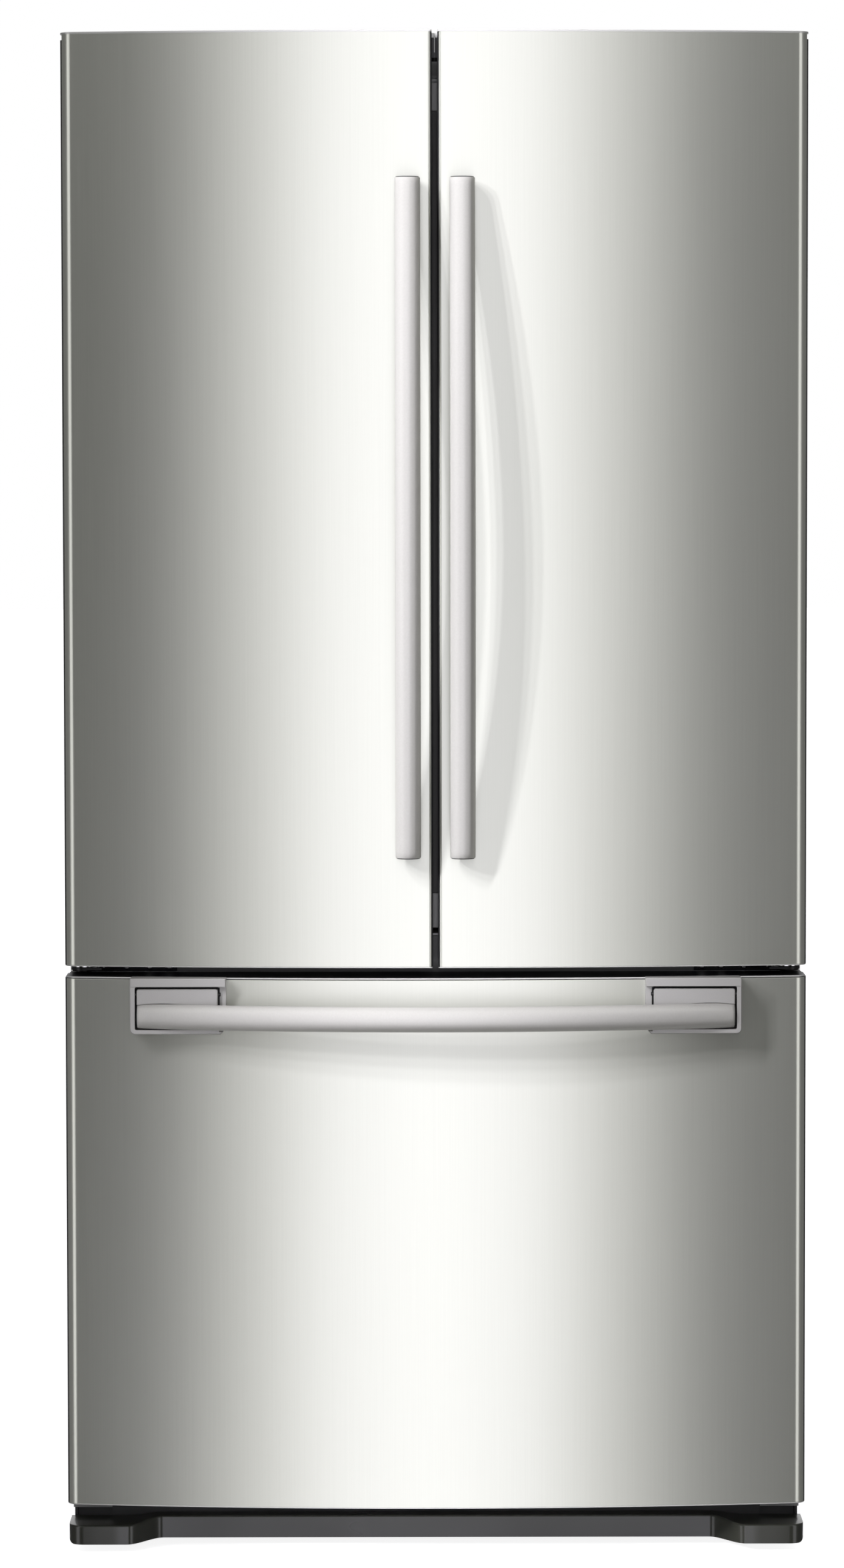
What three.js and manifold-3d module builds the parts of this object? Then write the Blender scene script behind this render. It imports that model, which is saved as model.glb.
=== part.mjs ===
// A French door refrigerator: two hinged doors over one pull-out freezer drawer.
// Millimetres, +Z up. X runs across the front, and the front looks towards -Y.
// Inside this file Y = 0 is the front of the doors at their outer edges; the group
// that is exported is moved back so that its own origin is under the middle.
import * as THREE from "three";
import { mergeVertices } from "three/addons/utils/BufferGeometryUtils.js";
import Module from "manifold-3d";

// ---------------------------------------------------------------- driving dimensions
// Heights above the floor
const KICK_CLEARANCE = 9;
const KICK_HEIGHT = 26;
const KICK_TO_DRAWER = 23;
const DRAWER_HEIGHT = 597.5;
const DRAWER_GAP = 11.5;
const DOOR_HEIGHT = 1040;
const CASE_BELOW_DOORS = 17;
const COVER_HEIGHT = 24;

// Widths
const WIDTH = 832;
const CASE_SIDE_STEP = 2;
const CENTRE_GAP = 6.4;

// Depths
const DOOR_BOW = 30;
const DOOR_DEPTH = 63;
const GASKET_DEPTH = 12;
const CASE_DEPTH = 660;

// Stock and fits
const SHEET = 1.2;
const LINER = 2.5;
const PLATE = 3.5;
const FIT = 0.3;
const EASY_FIT = 0.8;
const PIN_PLAY = 0.3;

// Case and openings
const FACE_WIDTH = 44;
const TOP_FACE = 28;
const DOOR_SILL = 30;
const DRAWER_LINTEL = 25;
const FREEZER_FLOOR = 110;
const FRIDGE_CAVITY_DEPTH = 600;
const FREEZER_CAVITY_DEPTH = 580;
const FREEZER_FLOOR_LENGTH = 355;
const STEP_RUN = 70;
const STEP_RISE = 145;
const FOAM_UNDER_FREEZER = 50;

// Doors and drawer front
const EDGE_RADIUS = 15;
const GAP_EDGE_RADIUS = 3;
const EDGE_WRAP_ANGLE = Math.PI / 3;
const FRAME_WALL = 3;
const FRAME_LIP = 1.1;
const GAP_WRAP = 9;
const FLANGE = 3;
const GASKET_WIDTH = 12;
const GASKET_IN_FROM_SIDE = 21;
const GASKET_IN_FROM_GAP = 3.8;
const GASKET_IN_FROM_ENDS = 8;
const DIKE_FROM_GAP = 36.8;
const DIKE_SIDE_CLEARANCE = 8;
const DIKE_WALL = 18;
const DIKE_DEPTH = 42;

// Hinges
const PIVOT_FROM_SIDE = 19;
const PIVOT_DEPTH = 40;
const HINGE_PIN_RADIUS = 5;
const HINGE_ARM_RADIUS = 14;
const HINGE_PLATE_LENGTH = 118;
const HINGE_PLATE_DEPTH = 95;
const HINGE_PLATE_WIDTH = 66;
const PIN_REACH = 11;
const BOSS_HEIGHT = 13;
const HINGE_POCKET_DEPTH = 8;
const POCKET_CLEARANCE = 6;
const COVER_WALL = 2;
const COVER_WIDTH = 73;
const COVER_DEPTH = 118;

// Handles
const BAR_RADIUS = 14;
const DOOR_BAR_LENGTH = 752;
const DOOR_BAR_ABOVE_SILL = 124.6;
const DOOR_BAR_FROM_CENTRE = 30.3;
const DOOR_BAR_STANDOFF = 16;
const DOOR_BAR_BOW = 42;
const POST_RADIUS = 7;
const POST_FROM_END = 34;
const DRAWER_BAR_LENGTH = 661;
const DRAWER_BAR_STANDOFF = 20.2;
const DRAWER_BAR_BOW = 45;
const DRAWER_BAR_BELOW_TOP = 41.5;

// Lever housings at both ends of the drawer bar
const HOUSING_INNER_X = 234;
const HOUSING_WIDTH = 107;
const HOUSING_HEIGHT = 62.4;
const HOUSING_ABOVE_TOP = 1;
const HOUSING_REACH = 40;
const HOUSING_STRIP = 9.4;
const HOUSING_SILL = 5;
const HOUSING_OUTER_LEG = 5.5;
const HOUSING_INNER_LEG = 7;
const HOUSING_CORNER = 6;
const HOUSING_FLOOR = 3;
const INNER_LEG_STEP = 8;
const LEVER_SET_BACK = 2;
const LEVER_THICKNESS = 11;
const LEVER_HEIGHT = 38;
const LEVER_TOP_CLEARANCE = 2.5;
const LEVER_PIN_RADIUS = 2.5;
const LEVER_PIN_BELOW_TOP = 6.5;

// Mullion flap between the doors
const FLAP_PIVOT_X = 30;
const FLAP_PIVOT_DEPTH = 9;
const FLAP_KNUCKLE_RADIUS = 6;
const FLAP_PIN_RADIUS = 2.5;
const FLAP_REACH = 19;
const FLAP_THICKNESS = 15;
const FLAP_END_GAP = 6;
const FLAP_LUG_RISE = 10;
const FLAP_LUG_THICKNESS = 4;

// Shelves, bins and crispers
const SHELF_THICKNESS = 5;
const SHELF_RIM = 14;
const SHELF_FRONT_CLEARANCE = 115;
const SHELF_BACK_CLEARANCE = 10;
const SHELF_ABOVE_FLOOR = 543;
const SHELF_CENTRE_GAP = 6;
const LEDGE_WIDTH = 12;
const LEDGE_HEIGHT = 8;
const CRISPER_HEIGHT = 172;
const CRISPER_LID_GAP = 8;
const CRISPER_WALL = 3;
const CRISPER_CENTRE_GAP = 12;
const CRISPER_LENGTH = 440;
const BIN_LEVELS = [223, 590];
const BIN_HEIGHT = 112;
const BIN_REACH = 102;
const BIN_WALL = 3;

// Freezer drawer running gear and basket
const RAIL_ABOVE_FLOOR = 190;
const RAIL_HEIGHT = 45;
const RAIL_WIDTH = 18;
const RAIL_LENGTH = 480;
const RAIL_WALL = 2;
const RAIL_SETBACK = 10;
const ARM_THICKNESS = 11;
const ARM_LENGTH = 482;
const ARM_LEG_WIDTH = 20;
const ARM_LEG_THICKNESS = 3;
const FRONT_BRACKET_HEIGHT = 12;
const BASKET_WALL = 3;
const BASKET_ABOVE_FLOOR = 15;
const BASKET_HEIGHT = 350;
const BASKET_LENGTH = 330;
const BASKET_SETBACK = 30;
const BASKET_FLANGE = 3.5;

// Kick cover
const KICK_WALL = 3;
const LOBE_FRONT = 12;
const LOBE_WIDTH = 66;
const LOBE_BLEND = 40;
const LOBE_SIDE_GAP = 0.5;
const LOBE_CORNER = 17;
const LOBE_DROP = 4;
const KICK_PANEL_FRONT = 52;

// Base, feet and rollers
const BASE_BOTTOM = 24;
const BASE_BAR = 16;
const BASE_BAR_WIDTH = 30;
const CASE_BOTTOM = 40;
const APRON = 2;
const MACHINE_FLOOR = 2;
const FOOT_FROM_SIDE = 66;
const FOOT_FROM_FACE = 35;
const FOOT_PAD_RADIUS = 20;
const FOOT_PAD_HEIGHT = 8;
const FOOT_STEM_RADIUS = 6;
const FOOT_STEM_LENGTH = 46;
const ROLLER_RADIUS = 17;
const ROLLER_WIDTH = 24;
const ROLLER_FROM_BACK = 70;
const ROLLER_AXLE_RADIUS = 3;
const ROLLER_SIDE_GAP = 1.5;
const ROLLER_EAR = 3;
const ROLLER_EAR_DEPTH = 20;

// Cooling machinery
const COMPRESSOR_RADIUS = 62;
const COMPRESSOR_HEIGHT = 128;
const COMPRESSOR_X = 205;
const COMPRESSOR_FOOT = 6;
const DRIP_PAN_SIZE = 150;
const DRIP_PAN_HEIGHT = 18;
const CONDENSER_LENGTH = 170;
const CONDENSER_DEPTH = 130;
const CONDENSER_HEIGHT = 140;
const CONDENSER_X = -325;
const CONDENSER_FINS = 7;
const CONDENSER_FAN_RADIUS = 56;
const EVAPORATOR_WIDTH = 400;
const EVAPORATOR_HEIGHT = 230;
const EVAPORATOR_DEPTH = 38;
const EVAPORATOR_FINS = 9;
const EVAPORATOR_COVER_FROM_BACK = 80;
const EVAPORATOR_COVER = 3;
const EVAPORATOR_FAN_RADIUS = 52;
const EVAPORATOR_FAN_BELOW_CEILING = 90;
const FAN_THICKNESS = 12;
const FAN_HUB_RADIUS = 16;
const FAN_BLADES = 5;
const FAN_TIP_GAP = 5;
const FAN_AXLE_RADIUS = 3;
const FAN_GUARD_BARS = 3;
const FAN_BRACKET_WIDTH = 10;

// ---------------------------------------------------------------- places that follow
const KICK_TOP = KICK_CLEARANCE + KICK_HEIGHT;
const DRAWER_BOTTOM = KICK_TOP + KICK_TO_DRAWER;
const DRAWER_TOP = DRAWER_BOTTOM + DRAWER_HEIGHT;
const DOORS_BOTTOM = DRAWER_TOP + DRAWER_GAP;
const DOORS_TOP = DOORS_BOTTOM + DOOR_HEIGHT;
const CASE_TOP = DOORS_TOP - CASE_BELOW_DOORS;
const HALF_WIDTH = WIDTH / 2;
const CASE_HALF = HALF_WIDTH - CASE_SIDE_STEP;
const CASE_FRONT = DOOR_DEPTH + GASKET_DEPTH;
const CASE_BACK = CASE_FRONT + CASE_DEPTH;
const CAVITY_HALF = CASE_HALF - FACE_WIDTH;
const INSIDE_CASE = CASE_HALF - SHEET - FIT;
const BEHIND_FACE = CASE_FRONT + SHEET + FIT;
const FRIDGE_FLOOR = DOORS_BOTTOM + DOOR_SILL;
const FRIDGE_CEILING = CASE_TOP - TOP_FACE;
const FRIDGE_BACK = CASE_FRONT + FRIDGE_CAVITY_DEPTH;
const FREEZER_CEILING = DRAWER_TOP - DRAWER_LINTEL;
const FREEZER_BACK = CASE_FRONT + FREEZER_CAVITY_DEPTH;
const STEP_START = CASE_FRONT + FREEZER_FLOOR_LENGTH;
const STEP_END = STEP_START + STEP_RUN;
const STEP_TOP = FREEZER_FLOOR + STEP_RISE;
const MACHINE_FRONT = STEP_END + 5;
const MACHINE_CEILING = STEP_TOP - FOAM_UNDER_FREEZER;
const UNDERSIDE = FREEZER_FLOOR - FOAM_UNDER_FREEZER;
const PIVOT_X = HALF_WIDTH - PIVOT_FROM_SIDE;
const GAP_HALF = CENTRE_GAP / 2;
const BAR_TUBE_SIDES = 8;
const LARGE = 2000;

// ---------------------------------------------------------------- making solids
const wasm = await Module();
wasm.setup();

// A closed geometry as a solid that can be joined and cut.
function solid(geometry) {
  const bare = geometry.index ? geometry.toNonIndexed() : geometry;
  bare.deleteAttribute("normal");
  bare.deleteAttribute("uv");
  const merged = mergeVertices(bare, 1e-4);
  return new wasm.Manifold(
    new wasm.Mesh({
      numProp: 3,
      vertProperties: merged.attributes.position.array,
      triVerts: new Uint32Array(merged.index.array),
    }),
  );
}

// The solids joined into one.
function join(first, ...others) {
  return others.reduce((sum, next) => sum.add(next), first);
}

// The first solid without the others.
function cut(first, ...others) {
  return others.reduce((rest, next) => rest.subtract(next), first);
}

// A block given by its range along X, Y and Z.
function box([x0, x1], [y0, y1], [z0, z1]) {
  const geometry = new THREE.BoxGeometry(x1 - x0, y1 - y0, z1 - z0);
  geometry.translate((x0 + x1) / 2, (y0 + y1) / 2, (z0 + z1) / 2);
  return solid(geometry);
}

// An outline in X and Y, drawn up from z0 to z1.
function uprightPrism(outline, [z0, z1], curveSegments = 6) {
  const geometry = new THREE.ExtrudeGeometry(outline, {
    depth: z1 - z0,
    bevelEnabled: false,
    curveSegments,
  });
  geometry.translate(0, 0, z0);
  return solid(geometry);
}

// An outline in Y and Z, drawn across from x0 to x1.
function crossPrism(outline, [x0, x1]) {
  const geometry = new THREE.ExtrudeGeometry(outline, { depth: x1 - x0, bevelEnabled: false });
  const turn = new THREE.Matrix4().makeBasis(
    new THREE.Vector3(0, 1, 0),
    new THREE.Vector3(0, 0, 1),
    new THREE.Vector3(1, 0, 0),
  );
  geometry.applyMatrix4(turn);
  geometry.translate(x0, 0, 0);
  return solid(geometry);
}

// An outline in X and Z, drawn back from y0 to y1.
function depthPrism(outline, [y0, y1], curveSegments = 4) {
  const geometry = new THREE.ExtrudeGeometry(outline, {
    depth: y1 - y0,
    bevelEnabled: false,
    curveSegments,
  });
  const turn = new THREE.Matrix4().makeBasis(
    new THREE.Vector3(1, 0, 0),
    new THREE.Vector3(0, 0, 1),
    new THREE.Vector3(0, -1, 0),
  );
  geometry.applyMatrix4(turn);
  geometry.translate(0, y1, 0);
  return solid(geometry);
}

// A closed outline through the given points.
function polygon(points) {
  return new THREE.Shape(points.map(([u, v]) => new THREE.Vector2(u, v)));
}

// A round bar between two points.
function rod(radius, from, to, sides = 16) {
  const start = new THREE.Vector3(...from);
  const end = new THREE.Vector3(...to);
  const along = end.clone().sub(start);
  const geometry = new THREE.CylinderGeometry(radius, radius, along.length(), sides);
  const up = new THREE.Vector3(0, 1, 0);
  geometry.applyQuaternion(new THREE.Quaternion().setFromUnitVectors(up, along.normalize()));
  geometry.translate(...start.add(end).multiplyScalar(0.5).toArray());
  return solid(geometry);
}

// A round bar that bows evenly between its two ends.
function bowedBar(radius, start, end, bow) {
  const middle = start.clone().add(end).multiplyScalar(0.5);
  middle.y -= 2 * bow;
  const section = new THREE.Shape().absarc(0, 0, radius, 0, 2 * Math.PI);
  const geometry = new THREE.ExtrudeGeometry(section, {
    steps: 14,
    bevelEnabled: false,
    curveSegments: BAR_TUBE_SIDES,
    extrudePath: new THREE.QuadraticBezierCurve3(start, middle, end),
  });
  return solid(geometry);
}

// ---------------------------------------------------------------- scene graph
const FINISHES = {
  brushed_steel: { color: 0xb9bab6, roughness: 0.34, metalness: 1 },
  satin_bar: { color: 0xc8c7c5, roughness: 0.3, metalness: 1 },
  silver_plastic: { color: 0xa5a3a5, roughness: 0.45, metalness: 0.4 },
  black_plastic: { color: 0x0d0d0c, roughness: 0.5, metalness: 0 },
  case_paint: { color: 0x2a2b2a, roughness: 0.55, metalness: 0 },
  galvanised: { color: 0x9a9c9c, roughness: 0.5, metalness: 0.9 },
  white_plastic: { color: 0xeceeed, roughness: 0.4, metalness: 0 },
  foam: { color: 0xd9c690, roughness: 0.9, metalness: 0 },
  gasket: { color: 0x8d8f8e, roughness: 0.7, metalness: 0 },
  kick_plastic: { color: 0x37382f, roughness: 0.4, metalness: 0 },
  hinge_steel: { color: 0x1b1b1b, roughness: 0.35, metalness: 0.7 },
  flap_plastic: { color: 0x343532, roughness: 0.5, metalness: 0 },
  clear_plastic: { color: 0xdde6ea, roughness: 0.15, metalness: 0 },
  shelf_glass: { color: 0xcfe3dd, roughness: 0.05, metalness: 0 },
  compressor_black: { color: 0x151515, roughness: 0.4, metalness: 0.3 },
  coil_aluminium: { color: 0xb5b8ba, roughness: 0.4, metalness: 0.9 },
  nylon: { color: 0xc9c7be, roughness: 0.5, metalness: 0 },
};
const materials = Object.fromEntries(
  Object.entries(FINISHES).map(([name, look]) => [name, new THREE.MeshStandardMaterial(look)]),
);

const fridge = new THREE.Group();

// Adds one named piece to a group.
function piece(group, name, body, finish) {
  const mesh = body.getMesh();
  const geometry = new THREE.BufferGeometry();
  geometry.setAttribute("position", new THREE.BufferAttribute(mesh.vertProperties, 3));
  geometry.setIndex(new THREE.BufferAttribute(mesh.triVerts, 1));
  geometry.computeVertexNormals();
  const made = new THREE.Mesh(geometry, materials[finish]);
  made.name = name;
  group.add(made);
  return made;
}

// A group for one side: what is made for the right-hand side, mirrored for the left.
function sideGroup(side) {
  const group = new THREE.Group();
  group.scale.x = side === "left" ? -1 : 1;
  fridge.add(group);
  return group;
}
const SIDES = ["left", "right"];
const groups = Object.fromEntries(SIDES.map((side) => [side, sideGroup(side)]));

// Adds a piece on both sides, mirrored.
function pair(name, body, finish) {
  SIDES.forEach((side) => piece(groups[side], `${name}_${side}`, body, finish));
}

// ---------------------------------------------------------------- the bowed front
// One arc runs across both doors and the drawer front. These give its circle.
const BOW_RADIUS = (HALF_WIDTH ** 2 + DOOR_BOW ** 2) / (2 * DOOR_BOW);
const BOW_CENTRE = BOW_RADIUS - DOOR_BOW;
const CORNER_X = HALF_WIDTH - EDGE_RADIUS;
const CORNER_Y = BOW_CENTRE - Math.sqrt((BOW_RADIUS - EDGE_RADIUS) ** 2 - CORNER_X ** 2);
const CORNER_TURN = Math.asin(CORNER_X / (BOW_RADIUS - EDGE_RADIUS));

// Depth of the bowed face at x, moved in by inset.
function faceY(x, inset = 0) {
  return BOW_CENTRE - Math.sqrt((BOW_RADIUS - inset) ** 2 - x ** 2);
}

// Outline of a door's right half seen from above: its outer bend, the bowed face and
// the small bend at the gap, all moved in by inset and closed at the given depth.
function doorOutline(gapX, inset, depth) {
  const small = GAP_EDGE_RADIUS - Math.min(inset, GAP_EDGE_RADIUS - 0.5);
  const gapEdge = gapX + inset;
  const outline = new THREE.Shape();
  outline.moveTo(gapEdge, depth);
  outline.lineTo(HALF_WIDTH - inset, depth);
  outline.lineTo(HALF_WIDTH - inset, CORNER_Y);
  outline.absarc(CORNER_X, CORNER_Y, EDGE_RADIUS - inset, 0, CORNER_TURN - Math.PI / 2, true);
  const smallX = gapEdge + small;
  const smallY = BOW_CENTRE - Math.sqrt((BOW_RADIUS - inset - small) ** 2 - smallX ** 2);
  const smallTurn = Math.asin(smallX / (BOW_RADIUS - inset - small));
  outline.absarc(
    0,
    BOW_CENTRE,
    BOW_RADIUS - inset,
    CORNER_TURN - Math.PI / 2,
    smallTurn - Math.PI / 2,
    true,
  );
  outline.absarc(smallX, smallY, small, smallTurn - Math.PI / 2, -Math.PI, true);
  return outline;
}

// Outline of the full-width drawer front, moved in by inset and closed at the given depth.
function drawerOutline(inset, depth) {
  const outline = new THREE.Shape();
  outline.moveTo(-HALF_WIDTH + inset, depth);
  outline.lineTo(HALF_WIDTH - inset, depth);
  outline.lineTo(HALF_WIDTH - inset, CORNER_Y);
  outline.absarc(CORNER_X, CORNER_Y, EDGE_RADIUS - inset, 0, CORNER_TURN - Math.PI / 2, true);
  outline.absarc(
    0,
    BOW_CENTRE,
    BOW_RADIUS - inset,
    CORNER_TURN - Math.PI / 2,
    -CORNER_TURN - Math.PI / 2,
    true,
  );
  outline.absarc(
    -CORNER_X,
    CORNER_Y,
    EDGE_RADIUS - inset,
    -CORNER_TURN - Math.PI / 2,
    -Math.PI,
    true,
  );
  return outline;
}

// The steel wraps the outer bend as far as this depth, then tucks behind the frame.
const WRAP_DEPTH = CORNER_Y - EDGE_RADIUS * Math.cos(EDGE_WRAP_ANGLE);
const PANEL_BACK = DOOR_DEPTH - FLANGE;

// ---------------------------------------------------------------- doors
const DOOR_Z = [DOORS_BOTTOM, DOORS_TOP];
const DIKE_Z = [FRIDGE_FLOOR + DIKE_SIDE_CLEARANCE, FRIDGE_CEILING - DIKE_SIDE_CLEARANCE];
const DIKE_X = [GAP_HALF + DIKE_FROM_GAP, CAVITY_HALF - DIKE_SIDE_CLEARANCE];
const DIKE_BACK = DOOR_DEPTH + DIKE_DEPTH;
const PANEL_X = GAP_HALF + FRAME_LIP;
const POCKET_FLOOR = DOORS_TOP - HINGE_POCKET_DEPTH;
const BOSS_X = [PIVOT_X - HINGE_ARM_RADIUS - POCKET_CLEARANCE - FRAME_WALL, HALF_WIDTH - FRAME_WALL];
const BOSS_Y = [
  PIVOT_DEPTH - HINGE_ARM_RADIUS - POCKET_CLEARANCE - FRAME_WALL - FIT,
  PANEL_BACK - FIT,
];

// The sheet that lies between two outlines and in front of the places where it tucks in.
function steelSheet(outlineAt, grow, z) {
  const shell = cut(
    uprightPrism(outlineAt(-grow, DOOR_DEPTH), z),
    uprightPrism(outlineAt(SHEET + grow, LARGE), [z[0] - 1, z[1] + 1]),
  );
  return shell;
}

// Steel front panel of a door, made for the right-hand side.
function doorPanel(grow = 0) {
  const z = [DOOR_Z[0] + FRAME_LIP - grow, DOOR_Z[1] - FRAME_LIP + grow];
  const shell = steelSheet((inset, depth) => doorOutline(PANEL_X, inset, depth), grow, z);
  const reach = [z[0] - 1, z[1] + 1];
  const middleX = (PANEL_X + HALF_WIDTH) / 2;
  return cut(
    shell,
    box([middleX, LARGE], [WRAP_DEPTH + grow, LARGE], reach),
    box([-LARGE, middleX], [faceY(PANEL_X) + GAP_WRAP + grow, LARGE], reach),
  );
}

// Blocks inside the frame that take the hinge pins at the door's top and bottom corners.
function hingeBosses(grow = 0) {
  const x = [BOSS_X[0] - grow, BOSS_X[1] + grow];
  const y = [BOSS_Y[0] - grow, BOSS_Y[1] + grow];
  const bottom = box(x, y, [DOORS_BOTTOM, DOORS_BOTTOM + BOSS_HEIGHT + grow]);
  const top = box(x, y, [POCKET_FLOOR - BOSS_HEIGHT - grow, DOORS_TOP]);
  return join(bottom, top);
}

// Black frame round a door's edges, with the pocket for the top hinge arm.
function doorFrame() {
  const [z0, z1] = DOOR_Z;
  const block = uprightPrism(doorOutline(GAP_HALF, 0, PANEL_BACK - FIT), DOOR_Z);
  const inside = box(
    [GAP_HALF + FRAME_WALL, HALF_WIDTH - FRAME_WALL],
    [-LARGE, LARGE],
    [z0 + FRAME_WALL, z1 - FRAME_WALL],
  );
  const pocket = box(
    [BOSS_X[0] + FRAME_WALL, LARGE],
    [BOSS_Y[0] + FRAME_WALL, LARGE],
    [POCKET_FLOOR, LARGE],
  );
  const holeRadius = HINGE_PIN_RADIUS + PIN_PLAY;
  const holes = [
    [DOORS_BOTTOM - 1, DOORS_BOTTOM + PIN_REACH + 1],
    [POCKET_FLOOR - PIN_REACH - 1, POCKET_FLOOR + 1],
  ].map(([low, high]) => rod(holeRadius, [PIVOT_X, PIVOT_DEPTH, low], [PIVOT_X, PIVOT_DEPTH, high]));
  const behindSteel = box([-LARGE, PANEL_X + FIT], [-LARGE, faceY(0) + SHEET + GAP_EDGE_RADIUS], [0, LARGE]);
  return cut(join(cut(block, inside), hingeBosses()), pocket, ...holes, doorPanel(FIT), behindSteel);
}

// Inner door: liner and its foam filling in one piece, with raised walls for the bins.
function doorCore() {
  const inset = FRAME_WALL + FIT;
  const [z0, z1] = DOOR_Z;
  const z = [z0 + inset, z1 - inset];
  const filling = uprightPrism(doorOutline(GAP_HALF, SHEET + FIT, PANEL_BACK + 0.5), z).intersect(
    box([GAP_HALF + inset, HALF_WIDTH - inset], [-LARGE, LARGE], z),
  );
  const flange = box(
    [GAP_HALF + FIT, HALF_WIDTH - FIT],
    [PANEL_BACK, DOOR_DEPTH],
    [z0 + FIT, POCKET_FLOOR - BOSS_HEIGHT],
  );
  const topFlange = box(
    [GAP_HALF + FIT, BOSS_X[0] - FIT],
    [PANEL_BACK, DOOR_DEPTH],
    [POCKET_FLOOR - BOSS_HEIGHT - 1, z1 - FIT],
  );
  const dike = box(DIKE_X, [PANEL_BACK, DIKE_BACK], DIKE_Z);
  const hollow = box(
    [DIKE_X[0] + DIKE_WALL, DIKE_X[1] - DIKE_WALL],
    [DOOR_DEPTH, DIKE_BACK + 1],
    [DIKE_Z[0] + DIKE_WALL, DIKE_Z[1] - DIKE_WALL],
  );
  const behindPocket = box(
    [BOSS_X[0] - FIT, LARGE],
    [BOSS_Y[0] - FIT, LARGE],
    [POCKET_FLOOR - BOSS_HEIGHT - FIT, LARGE],
  );
  return join(cut(filling, hingeBosses(FIT), behindPocket), flange, topFlange, cut(dike, hollow));
}

// A four-sided gasket between the outer and the inner rectangle.
function gasketRing([x0, x1], [z0, z1]) {
  const y = [DOOR_DEPTH + FIT, CASE_FRONT - FIT];
  return cut(
    box([x0, x1], y, [z0, z1]),
    box(
      [x0 + GASKET_WIDTH, x1 - GASKET_WIDTH],
      [y[0] - 1, y[1] + 1],
      [z0 + GASKET_WIDTH, z1 - GASKET_WIDTH],
    ),
  );
}

// Vertical door handle: a bowed tube on two posts.
function doorHandle() {
  const z0 = DOORS_BOTTOM + DOOR_BAR_ABOVE_SILL;
  const z1 = z0 + DOOR_BAR_LENGTH;
  const x = DOOR_BAR_FROM_CENTRE;
  const y = faceY(x) - DOOR_BAR_STANDOFF;
  const bar = bowedBar(BAR_RADIUS, new THREE.Vector3(x, y, z0), new THREE.Vector3(x, y, z1), DOOR_BAR_BOW);
  const share = POST_FROM_END / DOOR_BAR_LENGTH;
  const barY = y - 4 * DOOR_BAR_BOW * share * (1 - share);
  const posts = [z0 + POST_FROM_END, z1 - POST_FROM_END].map((z) =>
    rod(POST_RADIUS, [x, faceY(x - POST_RADIUS) - FIT, z], [x, barY, z], 12),
  );
  return join(bar, ...posts);
}

// Door bin: an open box between the door's raised walls.
function doorBin(level) {
  const x = [DIKE_X[0] + DIKE_WALL + FIT, DIKE_X[1] - DIKE_WALL - FIT];
  const y = [DOOR_DEPTH + FIT, DOOR_DEPTH + FIT + BIN_REACH];
  const z0 = FRIDGE_FLOOR + level;
  return openBox(x, y, [z0, z0 + BIN_HEIGHT], BIN_WALL);
}

// A box without a lid.
function openBox([x0, x1], [y0, y1], [z0, z1], wall) {
  return cut(
    box([x0, x1], [y0, y1], [z0, z1]),
    box([x0 + wall, x1 - wall], [y0 + wall, y1 - wall], [z0 + wall, z1 + 1]),
  );
}

const GASKET_X = [GAP_HALF + GASKET_IN_FROM_GAP, HALF_WIDTH - GASKET_IN_FROM_SIDE];
const FRIDGE_GASKET_Z = [
  DOORS_BOTTOM + GASKET_IN_FROM_ENDS,
  CASE_TOP - GASKET_IN_FROM_ENDS,
];

// Plates on the left door that carry the mullion flap's pins.
function flapLugs() {
  const half = FLAP_KNUCKLE_RADIUS - 1;
  const at = (z) => [FLAP_PIVOT_X, FLAP_PIVOT_Y, z];
  return [FLAP_Z[0] + FLAP_LUG_RISE, FLAP_Z[1] - FLAP_LUG_RISE - FLAP_LUG_THICKNESS].map((z) => {
    const top = z + FLAP_LUG_THICKNESS;
    const arm = box([FLAP_PIVOT_X, DIKE_X[0] + 1], [FLAP_PIVOT_Y - half, FLAP_PIVOT_Y + half], [z, top]);
    const eye = rod(half, at(z), at(top), 12);
    return cut(join(arm, eye), rod(FLAP_PIN_RADIUS + PIN_PLAY, at(z - 1), at(top + 1), 12));
  });
}

const FLAP_FRONT = CASE_FRONT + FIT;
const FLAP_PIVOT_Y = CASE_FRONT + FLAP_PIVOT_DEPTH;
const FLAP_Z = [FRIDGE_FLOOR + FLAP_END_GAP, FRIDGE_CEILING - FLAP_END_GAP];

SIDES.forEach((side) => {
  const door = groups[side];
  const core = side === "left" ? join(doorCore(), ...flapLugs()) : doorCore();
  piece(door, `${side}_door_panel`, doorPanel(), "brushed_steel");
  piece(door, `${side}_door_frame`, doorFrame(), "black_plastic");
  piece(door, `${side}_door_core`, core, "white_plastic");
  piece(door, `${side}_door_gasket`, gasketRing(GASKET_X, FRIDGE_GASKET_Z), "gasket");
  piece(door, `${side}_door_handle`, doorHandle(), "satin_bar");
  BIN_LEVELS.forEach((level, i) => {
    piece(door, `${side}_door_bin_${i + 1}`, doorBin(level), "clear_plastic");
  });
});

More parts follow.
